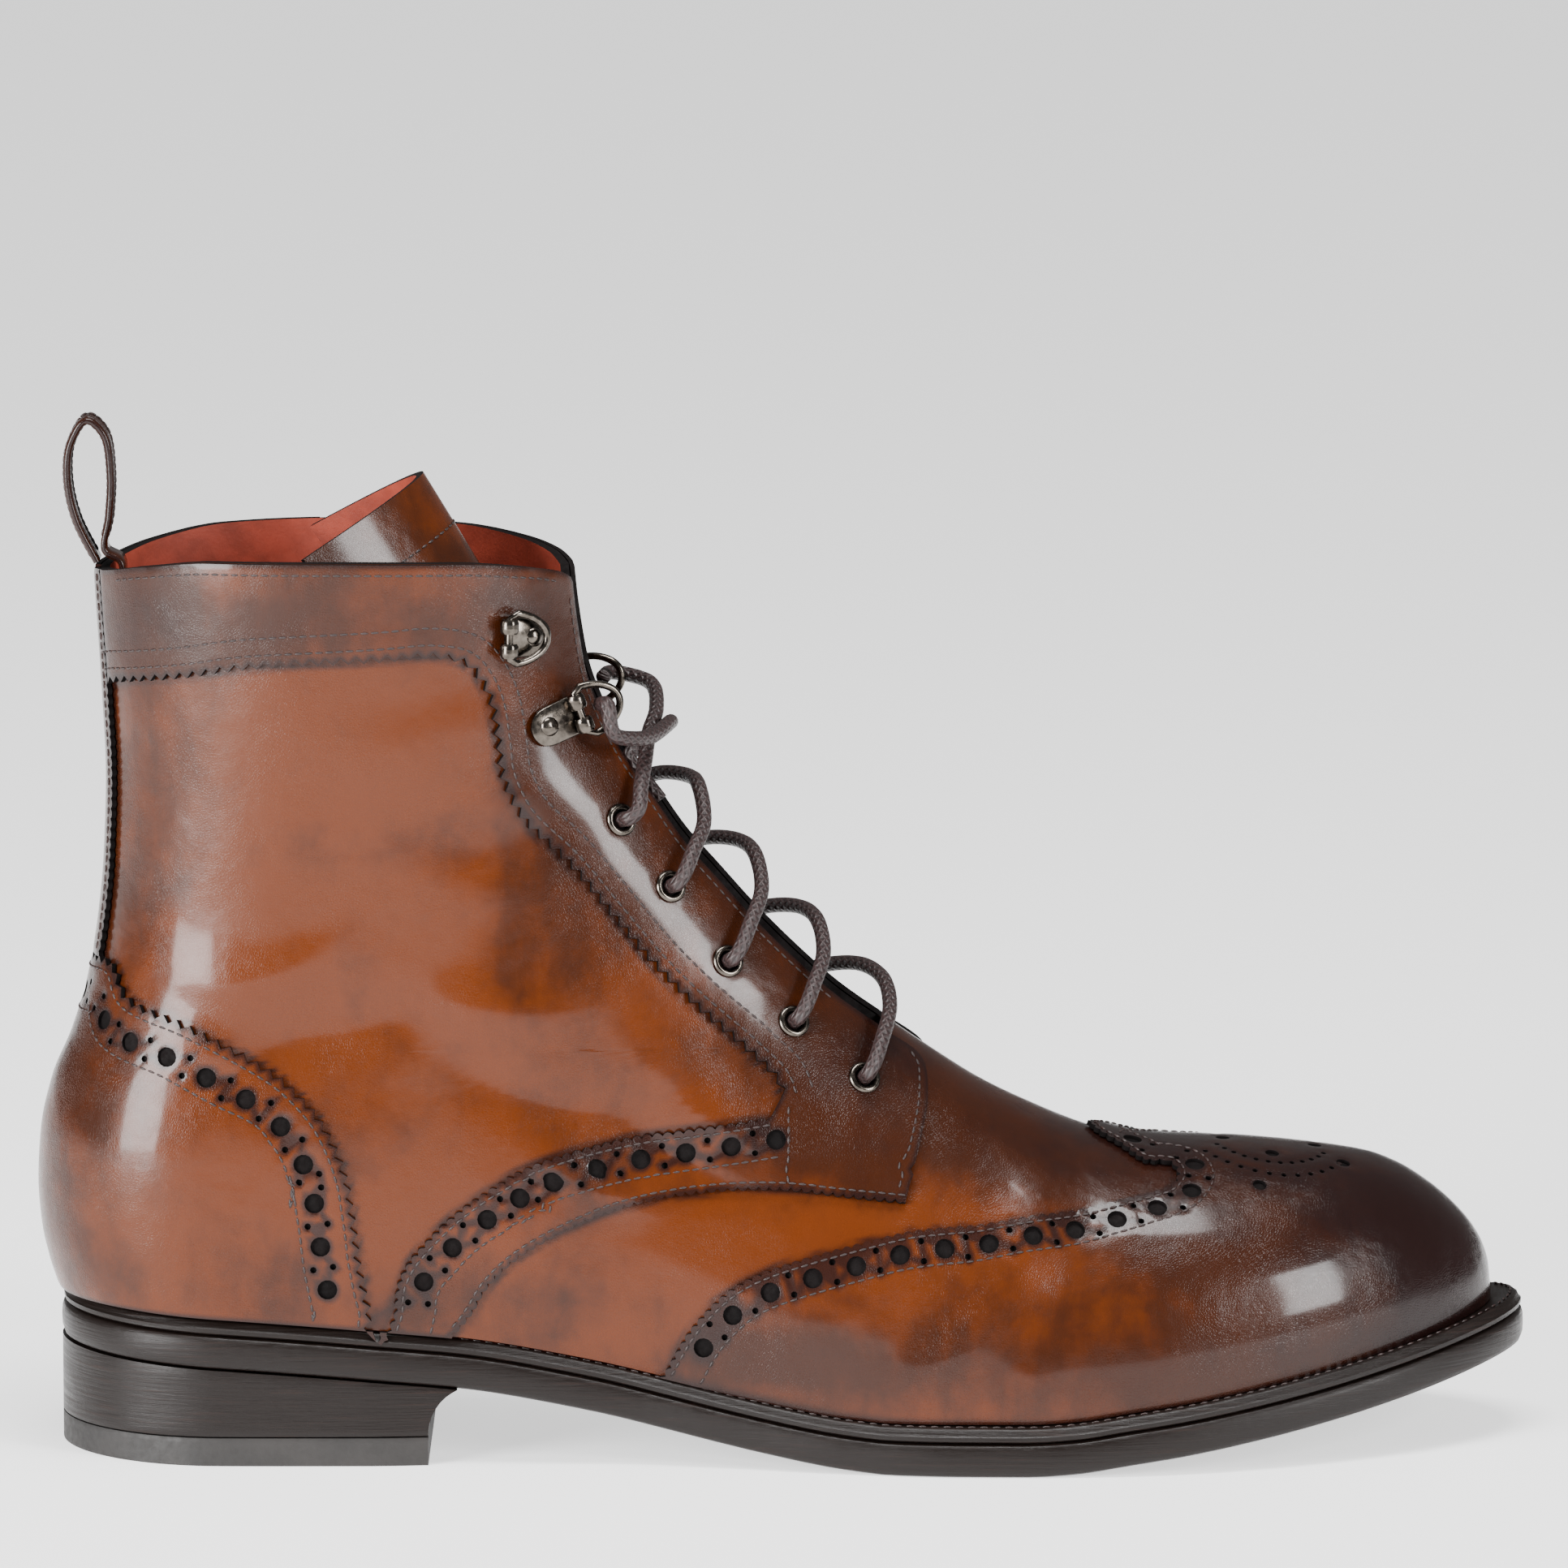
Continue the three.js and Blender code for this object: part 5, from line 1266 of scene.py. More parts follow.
def stitch_row(group, chart, line, side, height, pitch=None):
    """Keeps the places and directions of one row of stitches."""
    pitch = pitch or sizes().stitch_pitch * 1000
    places = walk(chart, line, side, pitch)
    point, normal, du, dv = chart_frame(chart, places, side)
    ahead = heading(places)
    along = unit(ahead[:, :1] * du + ahead[:, 1:] * dv)
    along = unit(np.gradient(point, axis=0)) if len(point) > 2 else along
    kept = np.array([group == "welt" or z > base_z(x) + 0.8 for x, z in point[:, [0, 2]]])
    stitch_rows[group].append(((point + normal * height)[kept], along[kept], normal[kept]))


def overlay(name, chart, side, segments, holes, spacing, node, materials, extra_tone=0.0,
            low=None, high=None):
    """A closed leather overlay cut to the segments' line, with its punched holes."""
    s = sizes()
    low = s.overlay_low * 1000 if low is None else low
    high = s.overlay_high * 1000 if high is None else high
    pieces = []
    for line, kind, inward in segments:
        cut = toothed(chart, line, side, kind, inward)
        pieces.append(cut[:-1])
        if kind != "plain":
            # Places for the upper's dark stripe beside this edge: stain, with painted shadow of the raised edge.
            stain_and_shadow_places.extend(map(tuple, chart.place(walk(chart, line, side, 0.8), side)))
    outline = np.vstack(pieces)
    holes = [hole for hole in holes if np.all(inside([outline], hole))
             and edge_distance([outline], hole).min() > 0.5]
    loops = [outline] + holes
    reach_low = outline.min(axis=0)
    reach_high = outline.max(axis=0)
    grid = []
    row_step = spacing * 0.866
    for r, v in enumerate(np.arange(reach_low[1], reach_high[1], row_step)):
        shift = 0.5 * spacing * (r % 2)
        us = np.arange(reach_low[0] + shift, reach_high[0], spacing)
        grid.append(np.stack([us, np.full(len(us), v)], -1))
    grid = np.vstack(grid)
    grid = grid[inside(loops, grid)]
    grid = grid[edge_distance(loops, grid) > 0.45 * spacing]
    flat = np.vstack([outline] + holes + [grid])
    edges = []
    start = 0
    for loop in loops:
        edges += [(start + i, start + (i + 1) % len(loop)) for i in range(len(loop))]
        start += len(loop)
    result = delaunay_2d_cdt([Vector(p) for p in flat], edges, [], 0, 1e-4)
    verts = np.array([[v[0], v[1]] for v in result[0]])
    triangles = np.array(result[2])
    middle_points = verts[triangles].mean(axis=1)
    whole = triangles[inside([outline], middle_points)]
    open_face = inside(loops, verts[whole].mean(axis=1))
    edge = edge_distance(loops, verts)
    place, normal, _, _ = chart_frame(chart, verts, side)
    lift = relief(place)
    soft = 0.16 * np.clip(1 - edge / 0.5, 0, 1)
    top = place + normal * (high + lift - soft)[:, None]
    bottom = place + normal * (low + lift)[:, None]
    # Dark floors just above the upper inside the open holes: sheets that stand in for the shade in the holes
    # (painted shade).
    hole_shade_floor = place + normal * (low + 0.25 + lift)[:, None]
    count = len(verts)
    a, b, c = top[whole[:, 0]], top[whole[:, 1]], top[whole[:, 2]]
    facing_out = np.sum(np.cross(b - a, c - a) * normal[whole[:, 0]], axis=1)
    if np.sum(facing_out) < 0:
        whole = whole[:, ::-1]
    faces = whole[open_face].tolist()
    hole_shade_floors = (whole[~open_face] + 2 * count).tolist()
    sunk = set(np.unique(whole[~open_face]).tolist())
    used = {}
    for face in faces:
        for p, q in zip(face, face[1:] + face[:1]):
            used[(p, q)] = True
    walls = []
    for p, q in used:
        if (q, p) not in used:
            down = 2 * count if p in sunk and q in sunk else count
            walls.append([q, p, p + down, q + down])
    under = (whole[:, ::-1] + count).tolist()
    marks = [0] * len(faces) + [1] * (len(under) + len(walls) + len(hole_shade_floors))
    under = under + hole_shade_floors
    points = np.vstack([top, bottom, hole_shade_floor])
    attributes = {"tone": np.tile(tone(place, extra_tone), 3), "edge": np.tile(edge, 3)}
    piece = make_piece(name, points, faces + under + walls, materials, marks, attributes, sharp=42,
                       merge=0.000004)
    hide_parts(*node)
    return piece


def smooth_side(chart, table, before=None, after=None):
    """Smoothed chart line of a side view table, with optional chart places at its ends."""
    x, z = side_points(table)
    line = smooth_line(chart.flat(x, z))
    if before is not None:
        line = np.vstack([[before], line])
    if after is not None:
        line = np.vstack([line, [after]])
    return line


def punch_row(chart, line, side, inward, depth, skip=(1, 1)):
    """Large holes along a line inside an edge, and pairs of small holes between them."""
    s = sizes()
    centre_line = offset_line(chart, line, side, inward * depth)
    halves = walk(chart, centre_line, side, s.hole_pitch * 500)
    ahead = heading(halves)
    holes = []
    taken = []

    def punch(centre, diameter, corners):
        spot = chart.place(np.asarray(centre, float)[None], side)[0]
        if all(np.linalg.norm(spot - other) > 0.5 * (diameter + wide) + 0.3 for other, wide in taken):
            taken.append((spot, diameter))
            holes.append(hole_loop(chart, centre, side, diameter, corners))

    for i in range(skip[0] * 2, len(halves) - skip[1] * 2):
        if i % 2 == 0:
            punch(halves[i], s.hole * 1000, 14)
            continue
        for away in (-2.1, 2.1):
            centre = chart_shift(chart, halves[i:i + 1], side, np.zeros(1), np.array([away]),
                                 ahead[i:i + 1])[0]
            punch(centre, s.pin_hole * 1000, 8)
    return holes


def collar_line(chart, first, last, count=90):
    share = np.linspace(first, last, count)
    z = TOP - curve(COLLAR_DROP, share)
    return chart.flat(mix(back_x(z), front_x(z), share), z)


def slot_line(chart):
    z = np.linspace(INSTEP_TOP + 0.8, TOP - 3.4, 80)
    line, share = chart.slot_edge(z)
    keep = z < TOP - curve(COLLAR_DROP, share) - 0.3
    return line[keep], share[keep][-1]


def zip_x(z):
    top = np.array([0.193 * SOLE_LENGTH, 0.985 * TOP])
    foot = np.array([0.228 * SOLE_LENGTH, 0.36 * TOP])
    return mix(top[0], foot[0], (z - top[1]) / (foot[1] - top[1]))


def eyelet_holes(chart, side):
    holes = []
    for rise, behind in EYELETS:
        x, z = behind_throat(rise, behind)
        holes.append(hole_loop(chart, chart.flat(x, z), side, 5.2, 16))
    return holes


class BOOT_OT_facings(bpy.types.Operator):
    """Facings with the cuff and the punched band, one each side; the zip parts the inner cuff"""

    bl_idname = "boot.facings"
    bl_label = "Facings and bands"

    def execute(self, context):
        chart = LegChart()
        for side in (-1, 1):
            inward = -side
            group = "left" if side < 0 else "right"
            slot, slot_share = slot_line(chart)
            collar = collar_line(chart, slot_share, 0.0)
            strip = 8.8
            collar = collar[collar[:, 0] > strip]
            gimp = smooth_side(chart, FACING_GIMP, before=(strip, 0.849 * TOP))
            top_back = np.array([strip, collar[-1, 1]])
            band_top = smooth_side(chart, BAND_TOP[:-1])
            foot_a = base_line(chart, 0.2202 * SOLE_LENGTH, 0.2682 * SOLE_LENGTH)
            band_top = np.vstack([band_top, foot_a[:1]])
            band_low = np.vstack([foot_a[-1:], smooth_side(chart, BAND_LOW)])
            flap = smooth_line(np.vstack([chart.flat(*side_points(FLAP_FRONT)), slot[:1] + [0.6, -0.6]]))
            collar_all = np.vstack([slot[-1:], collar, top_back[None]])
            back_down = np.vstack([top_back[None], gimp[:1]])
            notch = np.vstack([gimp[-1:], band_top[:1]])
            rest = [(band_top, "rope", inward), (foot_a, "plain", inward), (band_low, "rope", inward),
                    (flap, "plain", inward), (slot, "plain", inward)]
            holes = punch_row(chart, band_top, side, inward, 4.9, (0, 1)) + eyelet_holes(chart, side)
            seam_x = 0.4955 * SOLE_LENGTH
            if side < 0:
                segments = [(collar_all, "plain", inward), (back_down, "plain", inward),
                            (gimp, "gimp", inward),
                            (notch, "plain", inward)] + rest
                overlay("facing_and_cuff_lateral", chart, side, segments, holes, 1.9, ["facing_lateral"],
                        [overlay_calf(), ink_and_hole_shade()], 0.16)
                gimps = [gimp]
                collars = [collar_all]
            else:
                gimp_x = chart.side_view(gimp)
                split = zip_x(gimp[:, 1])
                fore = gimp[gimp_x > split + 4.9]
                rear = gimp[gimp_x < split - 4.9]
                collar_x = chart.side_view(collar_all)
                collar_split = zip_x(collar_all[:, 1])
                collar_fore = collar_all[collar_x > collar_split + 4.9]
                collar_rear = collar_all[collar_x < collar_split - 4.9]
                segments = [(collar_fore, "plain", inward),
                            (np.vstack([collar_fore[-1:], fore[:1]]), "plain", inward),
                            (fore, "gimp", inward), (notch, "plain", inward)] + rest
                overlay("facing_medial_dressed", chart, side, segments, holes, 1.9, ["facing_medial"],
                        [overlay_calf(), ink_and_hole_shade()], 0.16)
                segments = [(collar_rear, "plain", inward), (back_down, "plain", inward),
                            (rear, "gimp", inward),
                            (np.vstack([rear[-1:], collar_rear[:1]]), "plain", inward)]
                overlay("cuff_medial_back_dressed", chart, side, segments, [], 1.9, ["cuff_medial_back"],
                        [overlay_calf(), ink_and_hole_shade()], 0.16)
                gimps = [fore, rear]
                collars = [collar_fore, collar_rear]
            for line in gimps:
                for depth in (3.0, 6.6):
                    stitch_row(group, chart, offset_line(chart, line[:-4], side, inward * depth), side, 1.5)
            for line in collars:
                stitch_row(group, chart, offset_line(chart, line[4:-4], side, inward * 2.2), side, 1.5)
            for line in (band_top, band_low):
                stitch_row(group, chart, offset_line(chart, line[2:-2], side, inward * 1.7), side, 1.5)
            stitch_row(group, chart, offset_line(chart, band_top[2:-2], side, inward * 8.6), side, 1.5)
            seam = chart.flat(np.full(12, seam_x), np.linspace(0.3150, 0.3880, 12) * TOP)
            stitch_row(group, chart, seam, side, 1.5)
            stitch_row(group, chart, offset_line(chart, slot[6:-3], side, inward * 2.0), side, 1.5)
            stitch_row(group, chart, offset_line(chart, flap[6:-20], side, inward * 2.0), side, 1.5)
        return {"FINISHED"}


class BOOT_OT_counter(bpy.types.Operator):
    """Punched counter round the heel, and the strip up the back"""

    bl_idname = "boot.counter"
    bl_label = "Counter and back strip"

    def execute(self, context):
        chart = LegChart()
        side = -1
        flat = chart.flat(*side_points(COUNTER_EDGE[::-1]))
        foot_x = 0.2152 * SOLE_LENGTH
        foot = chart.flat(foot_x, base_z(foot_x))
        rising = np.vstack([foot[None], flat, [[0.0, 0.5417 * TOP]]])
        falling = rising[:-1][::-1] * [-1, 1]
        edge = smooth_line(np.vstack([rising, falling]))
        around = base_line(chart, foot_x, back_x(33.5) + 0.01, 60)
        base = np.vstack([around * [-1, 1], around[::-1]])
        segments = [(edge, "gimp", 1), (base, "plain", 1)]
        holes = punch_row(chart, edge, side, 1, 8.0, (1, 1))
        overlay("counter_punched", chart, side, segments, holes, 1.8, ["counter"],
                [overlay_calf(), ink_and_hole_shade()], 0.02)
        for depth in (2.6, 12.0):
            stitch_row("left", chart, offset_line(chart, edge[3:-3], side, depth), side, 1.5)

        low = 0.5417 * TOP + 0.3
        half = 8.5
        top = TOP - float(curve(COLLAR_DROP, 0.02))
        right = np.array([[half, low], [half, top]])
        over = np.array([[half, top], [0.0, TOP - 5.4], [-half, top]])
        left = np.array([[-half, top], [-half, low]])
        under = np.array([[-half, low], [half, low]])
        segments = [(smooth_line(right), "rope", 1), (smooth_line(over), "plain", 1),
                    (smooth_line(left), "rope", 1), (smooth_line(under), "plain", 1)]
        overlay("back_strip_gimped", chart, side, segments, [], 1.8, ["back_strip"],
                [overlay_calf(), ink_and_hole_shade()], 0.3)
        for line in (right, left):
            stitch_row("left", chart, offset_line(chart, smooth_line(line)[4:-4], side, 2.2), side, 1.5)
        return {"FINISHED"}


MEDALLION_BIG = [(246.5, 0.0), (266.0, 0.0), (252.0, 21.0), (256.0, 8.5), (271.0, 9.0)]
MEDALLION_SMALL_ARCS = [((256.0, 0.0), 12.5, 26, 154, 12), ((256.0, 0.0), 17.0, 34, 146, 12)]


class BOOT_OT_wing(bpy.types.Operator):
    """Wing cap with its punched edge and a small pattern of holes on the toe"""

    bl_idname = "boot.wing"
    bl_label = "Wing cap"

    def execute(self, context):
        chart = ToeChart()
        side = 1
        x, z = side_points(WING_EDGE)
        flat = chart.flat(x, z)
        flat[0, 1] = 0.0
        flat[1:4, 1] = np.maximum(flat[1:4, 1], [5.5, 11.0, 17.0])
        foot_x = 0.4092 * SOLE_LENGTH
        foot = chart.flat(foot_x, base_z(foot_x))
        lateral = np.vstack([flat, foot[None]]) * [1, -1]
        medial = (np.vstack([flat, foot[None]]))[::-1]
        medial_line = smooth_line(medial)
        lateral_line = smooth_line(lateral)
        steps = np.linspace(foot[0], chart.ALONG, 150)
        low = np.stack([steps, np.full(150, -chart.ACROSS)], -1)
        tip = np.array([[chart.ALONG, -chart.ACROSS], [chart.ALONG, chart.ACROSS]])
        segments = [(medial_line, "rope", 1), (lateral_line, "rope", 1), (low, "plain", 1),
                    (smooth_line(tip, 20.0), "plain", 1), (low[::-1] * [1, -1], "plain", 1)]
        holes = punch_row(chart, medial_line, side, 1, 4.6, (1, 1))
        holes += punch_row(chart, lateral_line, side, 1, 4.6, (1, 1))
        for dx, away in MEDALLION_BIG:
            for turn in ((1,) if away == 0 else (-1, 1)):
                holes.append(self.spot(chart, dx, away * turn, 3.0, 12))
        for centre, radius, start, end, count in MEDALLION_SMALL_ARCS:
            for angle in np.radians(np.linspace(start, end, count)):
                for turn in (-1, 1):
                    away = radius * math.sin(angle) * turn
                    holes.append(self.spot(chart, centre[0] - radius * math.cos(angle), away, 1.2, 8))
        overlay("wing_cap_punched", chart, side, segments, holes, 1.8, ["wing_cap"],
                [overlay_calf(), ink_and_hole_shade()], 0.12)
        for line in (medial_line, lateral_line):
            for depth in (1.6, 7.8):
                stitch_row("left" if line is lateral_line else "right", chart,
                           offset_line(chart, line[2:-2], side, depth), side, 1.5)
        return {"FINISHED"}

    def spot(self, chart, x, away, diameter, corners):
        """A hole on the toe, at a distance along the crown and across from it."""
        start = chart.flat(x, front_z(x))
        start[1] = 0.0
        moved = chart_shift(chart, start[None], 1, np.zeros(1), np.array([away]), np.array([[1.0, 0.0]]))
        return hole_loop(chart, moved[0], 1, diameter, corners)


# Sole unit


def sole_stations(start, end, count):
    share = np.linspace(0, 1, count)
    return start + (end - start) * mix(0.5 - 0.5 * np.cos(math.pi * share), share, 0.3)


def plan_loop(half, start, end, inset, count=110):
    """Closed loop in plan: lateral side from heel to toe, then the medial side back."""
    x = sole_stations(start, end, count)
    m = middle(x)
    w = np.maximum(half(x), 0.05)
    loop = np.vstack([np.stack([x, m - w], -1), np.stack([x, m + w], -1)[::-1]])
    ahead = unit(np.roll(loop, -1, axis=0) - np.roll(loop, 1, axis=0))
    inward = np.stack([-ahead[:, 1], ahead[:, 0]], -1)
    return loop + inward * inset


def plate_piece(levels):
    """Points and faces of a plate from its loops; each level is (loop, heights)."""
    rings = [np.column_stack([loop, height]) for loop, height in levels]
    count = len(rings[0])
    points = np.vstack(rings)
    faces = grid_faces(len(rings), count, True)
    half = count // 2
    last = (len(rings) - 1) * count
    for i in range(half - 1):
        quad = [i, i + 1, count - 2 - i, count - 1 - i]
        faces.append(quad[::-1])
        faces.append([last + q for q in quad])
    return points, faces


class BOOT_OT_sole(bpy.types.Operator):
    """Outsole, welt, heel stack and top lift"""

    bl_idname = "boot.sole"
    bl_label = "Sole unit"

    def execute(self, context):
        edge = 0.02
        profile = [(1.2, 0.0), (0.3, 0.5), (0.0, 1.4), (-0.1, 3.6), (0.0, 5.6), (0.3, 6.6), (1.0, 7.0)]
        levels = []
        for inset, rise in profile:
            loop = plan_loop(sole_half, edge, SOLE_LENGTH - edge, inset)
            levels.append((loop, underside(plan_loop(sole_half, edge, SOLE_LENGTH - edge, 0)[:, 0]) + rise))
        points, faces = plate_piece(levels)
        piece = make_piece("outsole_edge_set", points, faces, [sole_material()], sharp=45)
        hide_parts("outsole")

        levels = []
        for inset, rise in [(0.9, 7.3), (0.4, 7.7), (0.35, 8.6), (0.9, 9.1), (1.2, 9.9), (1.9, 10.3)]:
            loop = plan_loop(sole_half, edge, SOLE_LENGTH - edge, inset)
            levels.append((loop, underside(plan_loop(sole_half, edge, SOLE_LENGTH - edge, 0)[:, 0]) + rise))

        def inner_half(x):
            return feather_half(x) * round_off(x - back_x(HEEL_SEAT), 0.5 * HEEL) - 2.3

        inner = plan_loop(inner_half, 0.035 * SOLE_LENGTH, TIP_X - 5.1, 0)
        levels.append((inner, seat(inner[:, 0])))
        levels.append((inner, underside(inner[:, 0]) + 7.3))
        rings = [np.column_stack([loop, height]) for loop, height in levels]
        count = len(rings[0])
        faces = grid_faces(len(rings), count, True)
        last = (len(rings) - 1) * count
        faces += [[last + i, last + (i + 1) % count, (i + 1) % count, i] for i in range(count)]
        piece = make_piece("welt_bevelled", np.vstack(rings), faces, [sole_material()], sharp=40)
        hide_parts("welt")

        self.heel("heel_stack", "heel_block", 6.3, None, sole_material())
        self.heel("heel_top_lift", "top_lift", 0.0, 6.0, rubber())
        self.welt_stitches()
        return {"FINISHED"}

    def heel(self, name, node, low, high, material):
        """A heel piece between two heights, cut at the front by the swept breast."""
        heel_length, sweep = 78.5, 10.0
        breast_height = float(underside(heel_length + sweep))
        straight = 0.42 * breast_height
        rows = [0.0, 0.04, 0.12, 0.25, 0.4, 0.55, 0.7, 0.82, 0.92, 1.0]
        shares = 0.5 - 0.5 * np.cos(math.pi * np.linspace(0, 1, 60))
        rings = []
        for t in rows:
            reach = np.full(60, heel_length)
            for _ in range(12):
                x = 0.02 + shares * (reach - 0.02)
                top = underside(x) - 0.3 if high is None else np.full(60, high)
                z = mix(low, top, t)
                turn = np.arcsin(clamp01((z - straight) / (breast_height - straight + 1)))
                reach = np.full(60, float((heel_length + sweep * (1 - np.cos(turn)))[-1]))
            bevel = 0.25 if t in (0.0, 1.0) else 0.0
            w = np.maximum(sole_half(x) - 0.2 - bevel, 0.05)
            lateral = np.stack([x, middle(x) - w, z], -1)
            medial = np.stack([x, middle(x) + w, z], -1)[::-1]
            front = mix(lateral[-1], medial[0], np.linspace(0, 1, 9)[1:-1, None])
            rings.append(np.vstack([lateral, front, medial]))
        count = len(rings[0])
        faces = grid_faces(len(rings), count, True)
        last = (len(rings) - 1) * count
        faces.append(list(range(count))[::-1])
        faces.append([last + i for i in range(count)])
        piece = make_piece(name, np.vstack(rings), faces, [material], sharp=40)
        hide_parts(node)

    def welt_stitches(self):
        loop = plan_loop(sole_half, 0.02, SOLE_LENGTH - 0.02, 2.7, 400)
        z = underside(plan_loop(sole_half, 0.02, SOLE_LENGTH - 0.02, 0, 400)[:, 0]) + 10.3
        line = np.column_stack([loop, z])
        gone = np.concatenate([[0], np.cumsum(np.linalg.norm(np.diff(line, axis=0), axis=1))])
        at = np.arange(1.0, gone[-1], 2.6)
        point = np.stack([np.interp(at, gone, line[:, i]) for i in range(3)], -1)
        point = point[point[:, 0] > 84]
        along = unit(np.gradient(point, axis=0))
        point[:, 2] += 0.06
        stitch_rows["welt"].append((point, along, np.tile([0.0, 0.0, 1.0], (len(point), 1))))


# Stitches: one tree of nodes sets a short thread on each place


def stitch_tree():
    name = "Stitches"
    if name in bpy.data.node_groups:
        return bpy.data.node_groups[name]
    tree = bpy.data.node_groups.new(name, "GeometryNodeTree")
    tree.interface.new_socket(name="Geometry", in_out="INPUT", socket_type="NodeSocketGeometry")
    for label, default in (("Length", 0.0017), ("Radius", 0.00026)):
        socket = tree.interface.new_socket(name=label, in_out="INPUT", socket_type="NodeSocketFloat")
        socket.default_value = default
    tree.interface.new_socket(name="Material", in_out="INPUT", socket_type="NodeSocketMaterial")
    tree.interface.new_socket(name="Geometry", in_out="OUTPUT", socket_type="NodeSocketGeometry")
    inputs = tree.nodes.new("NodeGroupInput")
    outputs = tree.nodes.new("NodeGroupOutput")
    ball = tree.nodes.new("GeometryNodeMeshUVSphere")
    ball.inputs["Segments"].default_value = 6
    ball.inputs["Rings"].default_value = 5
    ball.inputs["Radius"].default_value = 1.0
    shape = tree.nodes.new("ShaderNodeCombineXYZ")
    half = tree.nodes.new("ShaderNodeMath")
    half.operation = "MULTIPLY"
    half.inputs[1].default_value = 0.5
    tree.links.new(inputs.outputs["Length"], half.inputs[0])
    tree.links.new(inputs.outputs["Radius"], shape.inputs["X"])
    tree.links.new(inputs.outputs["Radius"], shape.inputs["Y"])
    tree.links.new(half.outputs[0], shape.inputs["Z"])
    turn = tree.nodes.new("GeometryNodeInputNamedAttribute")
    turn.data_type = "FLOAT_VECTOR"
    turn.inputs["Name"].default_value = "along"
    align = tree.nodes.new("FunctionNodeAlignRotationToVector")
    align.axis = "Z"
    tree.links.new(turn.outputs["Attribute"], align.inputs["Vector"])
    spread = tree.nodes.new("GeometryNodeInstanceOnPoints")
    tree.links.new(inputs.outputs["Geometry"], spread.inputs["Points"])
    tree.links.new(ball.outputs["Mesh"], spread.inputs["Instance"])
    tree.links.new(align.outputs["Rotation"], spread.inputs["Rotation"])
    tree.links.new(shape.outputs["Vector"], spread.inputs["Scale"])
    real = tree.nodes.new("GeometryNodeRealizeInstances")
    tree.links.new(spread.outputs["Instances"], real.inputs["Geometry"])
    paint = tree.nodes.new("GeometryNodeSetMaterial")
    tree.links.new(real.outputs["Geometry"], paint.inputs["Geometry"])
    tree.links.new(inputs.outputs["Material"], paint.inputs["Material"])
    smooth = tree.nodes.new("GeometryNodeSetShadeSmooth")
    tree.links.new(paint.outputs["Geometry"], smooth.inputs["Geometry"])
    tree.links.new(smooth.outputs["Geometry"], outputs.inputs["Geometry"])
    return tree


def set_on_places(name, point, along, long, radius, material, body="boot"):
    """Runs the stitch tree on a cloud of places and keeps the result as a plain mesh."""
    mesh = bpy.data.meshes.new(name + "_places")
    mesh.from_pydata(to_frame(point).tolist(), [], [])
    layer = mesh.attributes.new("along", "FLOAT_VECTOR", "POINT")
    layer.data.foreach_set("vector", np.asarray(along, np.float32).ravel())
    holder = bpy.data.objects.new(name + "_places", mesh)
    bpy.context.scene.collection.objects.link(holder)
    tree = stitch_tree()
    modifier = holder.modifiers.new("Stitches", "NODES")
    modifier.node_group = tree
    values = {"Length": long, "Radius": radius, "Material": material}
    for item in tree.interface.items_tree:
        if item.item_type == "SOCKET" and item.in_out == "INPUT" and item.name in values:
            modifier[item.identifier] = values[item.name]
    graph = bpy.context.evaluated_depsgraph_get()
    result = bpy.data.meshes.new_from_object(holder.evaluated_get(graph))
    holder.modifiers.remove(modifier)
    bpy.data.objects.remove(holder)
    result.name = name
    piece = bpy.data.objects.new(name, result)
    bpy.context.scene.collection.objects.link(piece)
    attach(piece, body)
    return piece


class BOOT_OT_stitches(bpy.types.Operator):
    """Rows of stitches on the upper and round the welt"""

    bl_idname = "boot.stitches"
    bl_label = "Stitches"

    def execute(self, context):
        s = sizes()
        names = {"left": "stitches_outer_side", "right": "stitches_inner_side", "welt": "stitches_welt"}
        for group, rows in stitch_rows.items():
            if not rows:
                continue
            point = np.vstack([row[0] for row in rows])
            along = np.vstack([row[1] for row in rows])
            normal = np.vstack([row[2] for row in rows])
            if group != "welt":
                point = point + normal * relief(point)[:, None]
            set_on_places(names[group], point, along, s.stitch_length, s.thread, thread_material())
        return {"FINISHED"}


# Laces, tongue, pull loop and fittings

CROSSING = [(-1, 1.0, 0, -3.2), (-1, 1.0, 0, 0.6), (-1, 1.0, 0, 3.4), (-1, 1.02, 0, 4.7),
            (-1, 0.86, 0.03, 5.8),
            (-1, 0.55, 0.12, 5.8), (-1, 0.14, 0.25, 5.6), (-1, -0.1, 0.5, 6.6), (1, 0.1, 0.68, 6.6),
            (1, 0.45, 0.88, 6.2), (1, 0.84, 0.98, 6.2), (1, 1.02, 1, 5.1), (1, 1, 1, 3.5), (1, 1, 1, 0.6),
            (1, 1, 1, -3.2)]
RING_STRAND = [(0.3965, 0.7420, -0.245), (0.3990, 0.7640, -0.160), (0.4016, 0.7896, -0.029),
               (0.4062, 0.8083, 0.087), (0.4010, 0.8290, 0.246)]
END_STRAND = [(0.3781, 0.8052, -0.333), (0.3923, 0.7948, -0.261), (0.4058, 0.7938, -0.152),
              (0.4141, 0.7990, -0.044), (0.4158, 0.7958, 0.044), (0.4077, 0.7802, 0.123),
              (0.3942, 0.7667, 0.087),
              (0.3878, 0.7563, 0.052), (0.3974, 0.7344, 0.029), (0.4090, 0.7104, 0.015)]
RING_FRAMES = {
    -1: ((0.071535, -0.021312, 0.15856), (0.7821, 0.54772, 0.2972), (0.52668, -0.8359, 0.15453)),
    1: ((0.071536, 0.020318, 0.158542), (0.77711, -0.55579, 0.2953), (0.53558, 0.83041, 0.15351)),
}
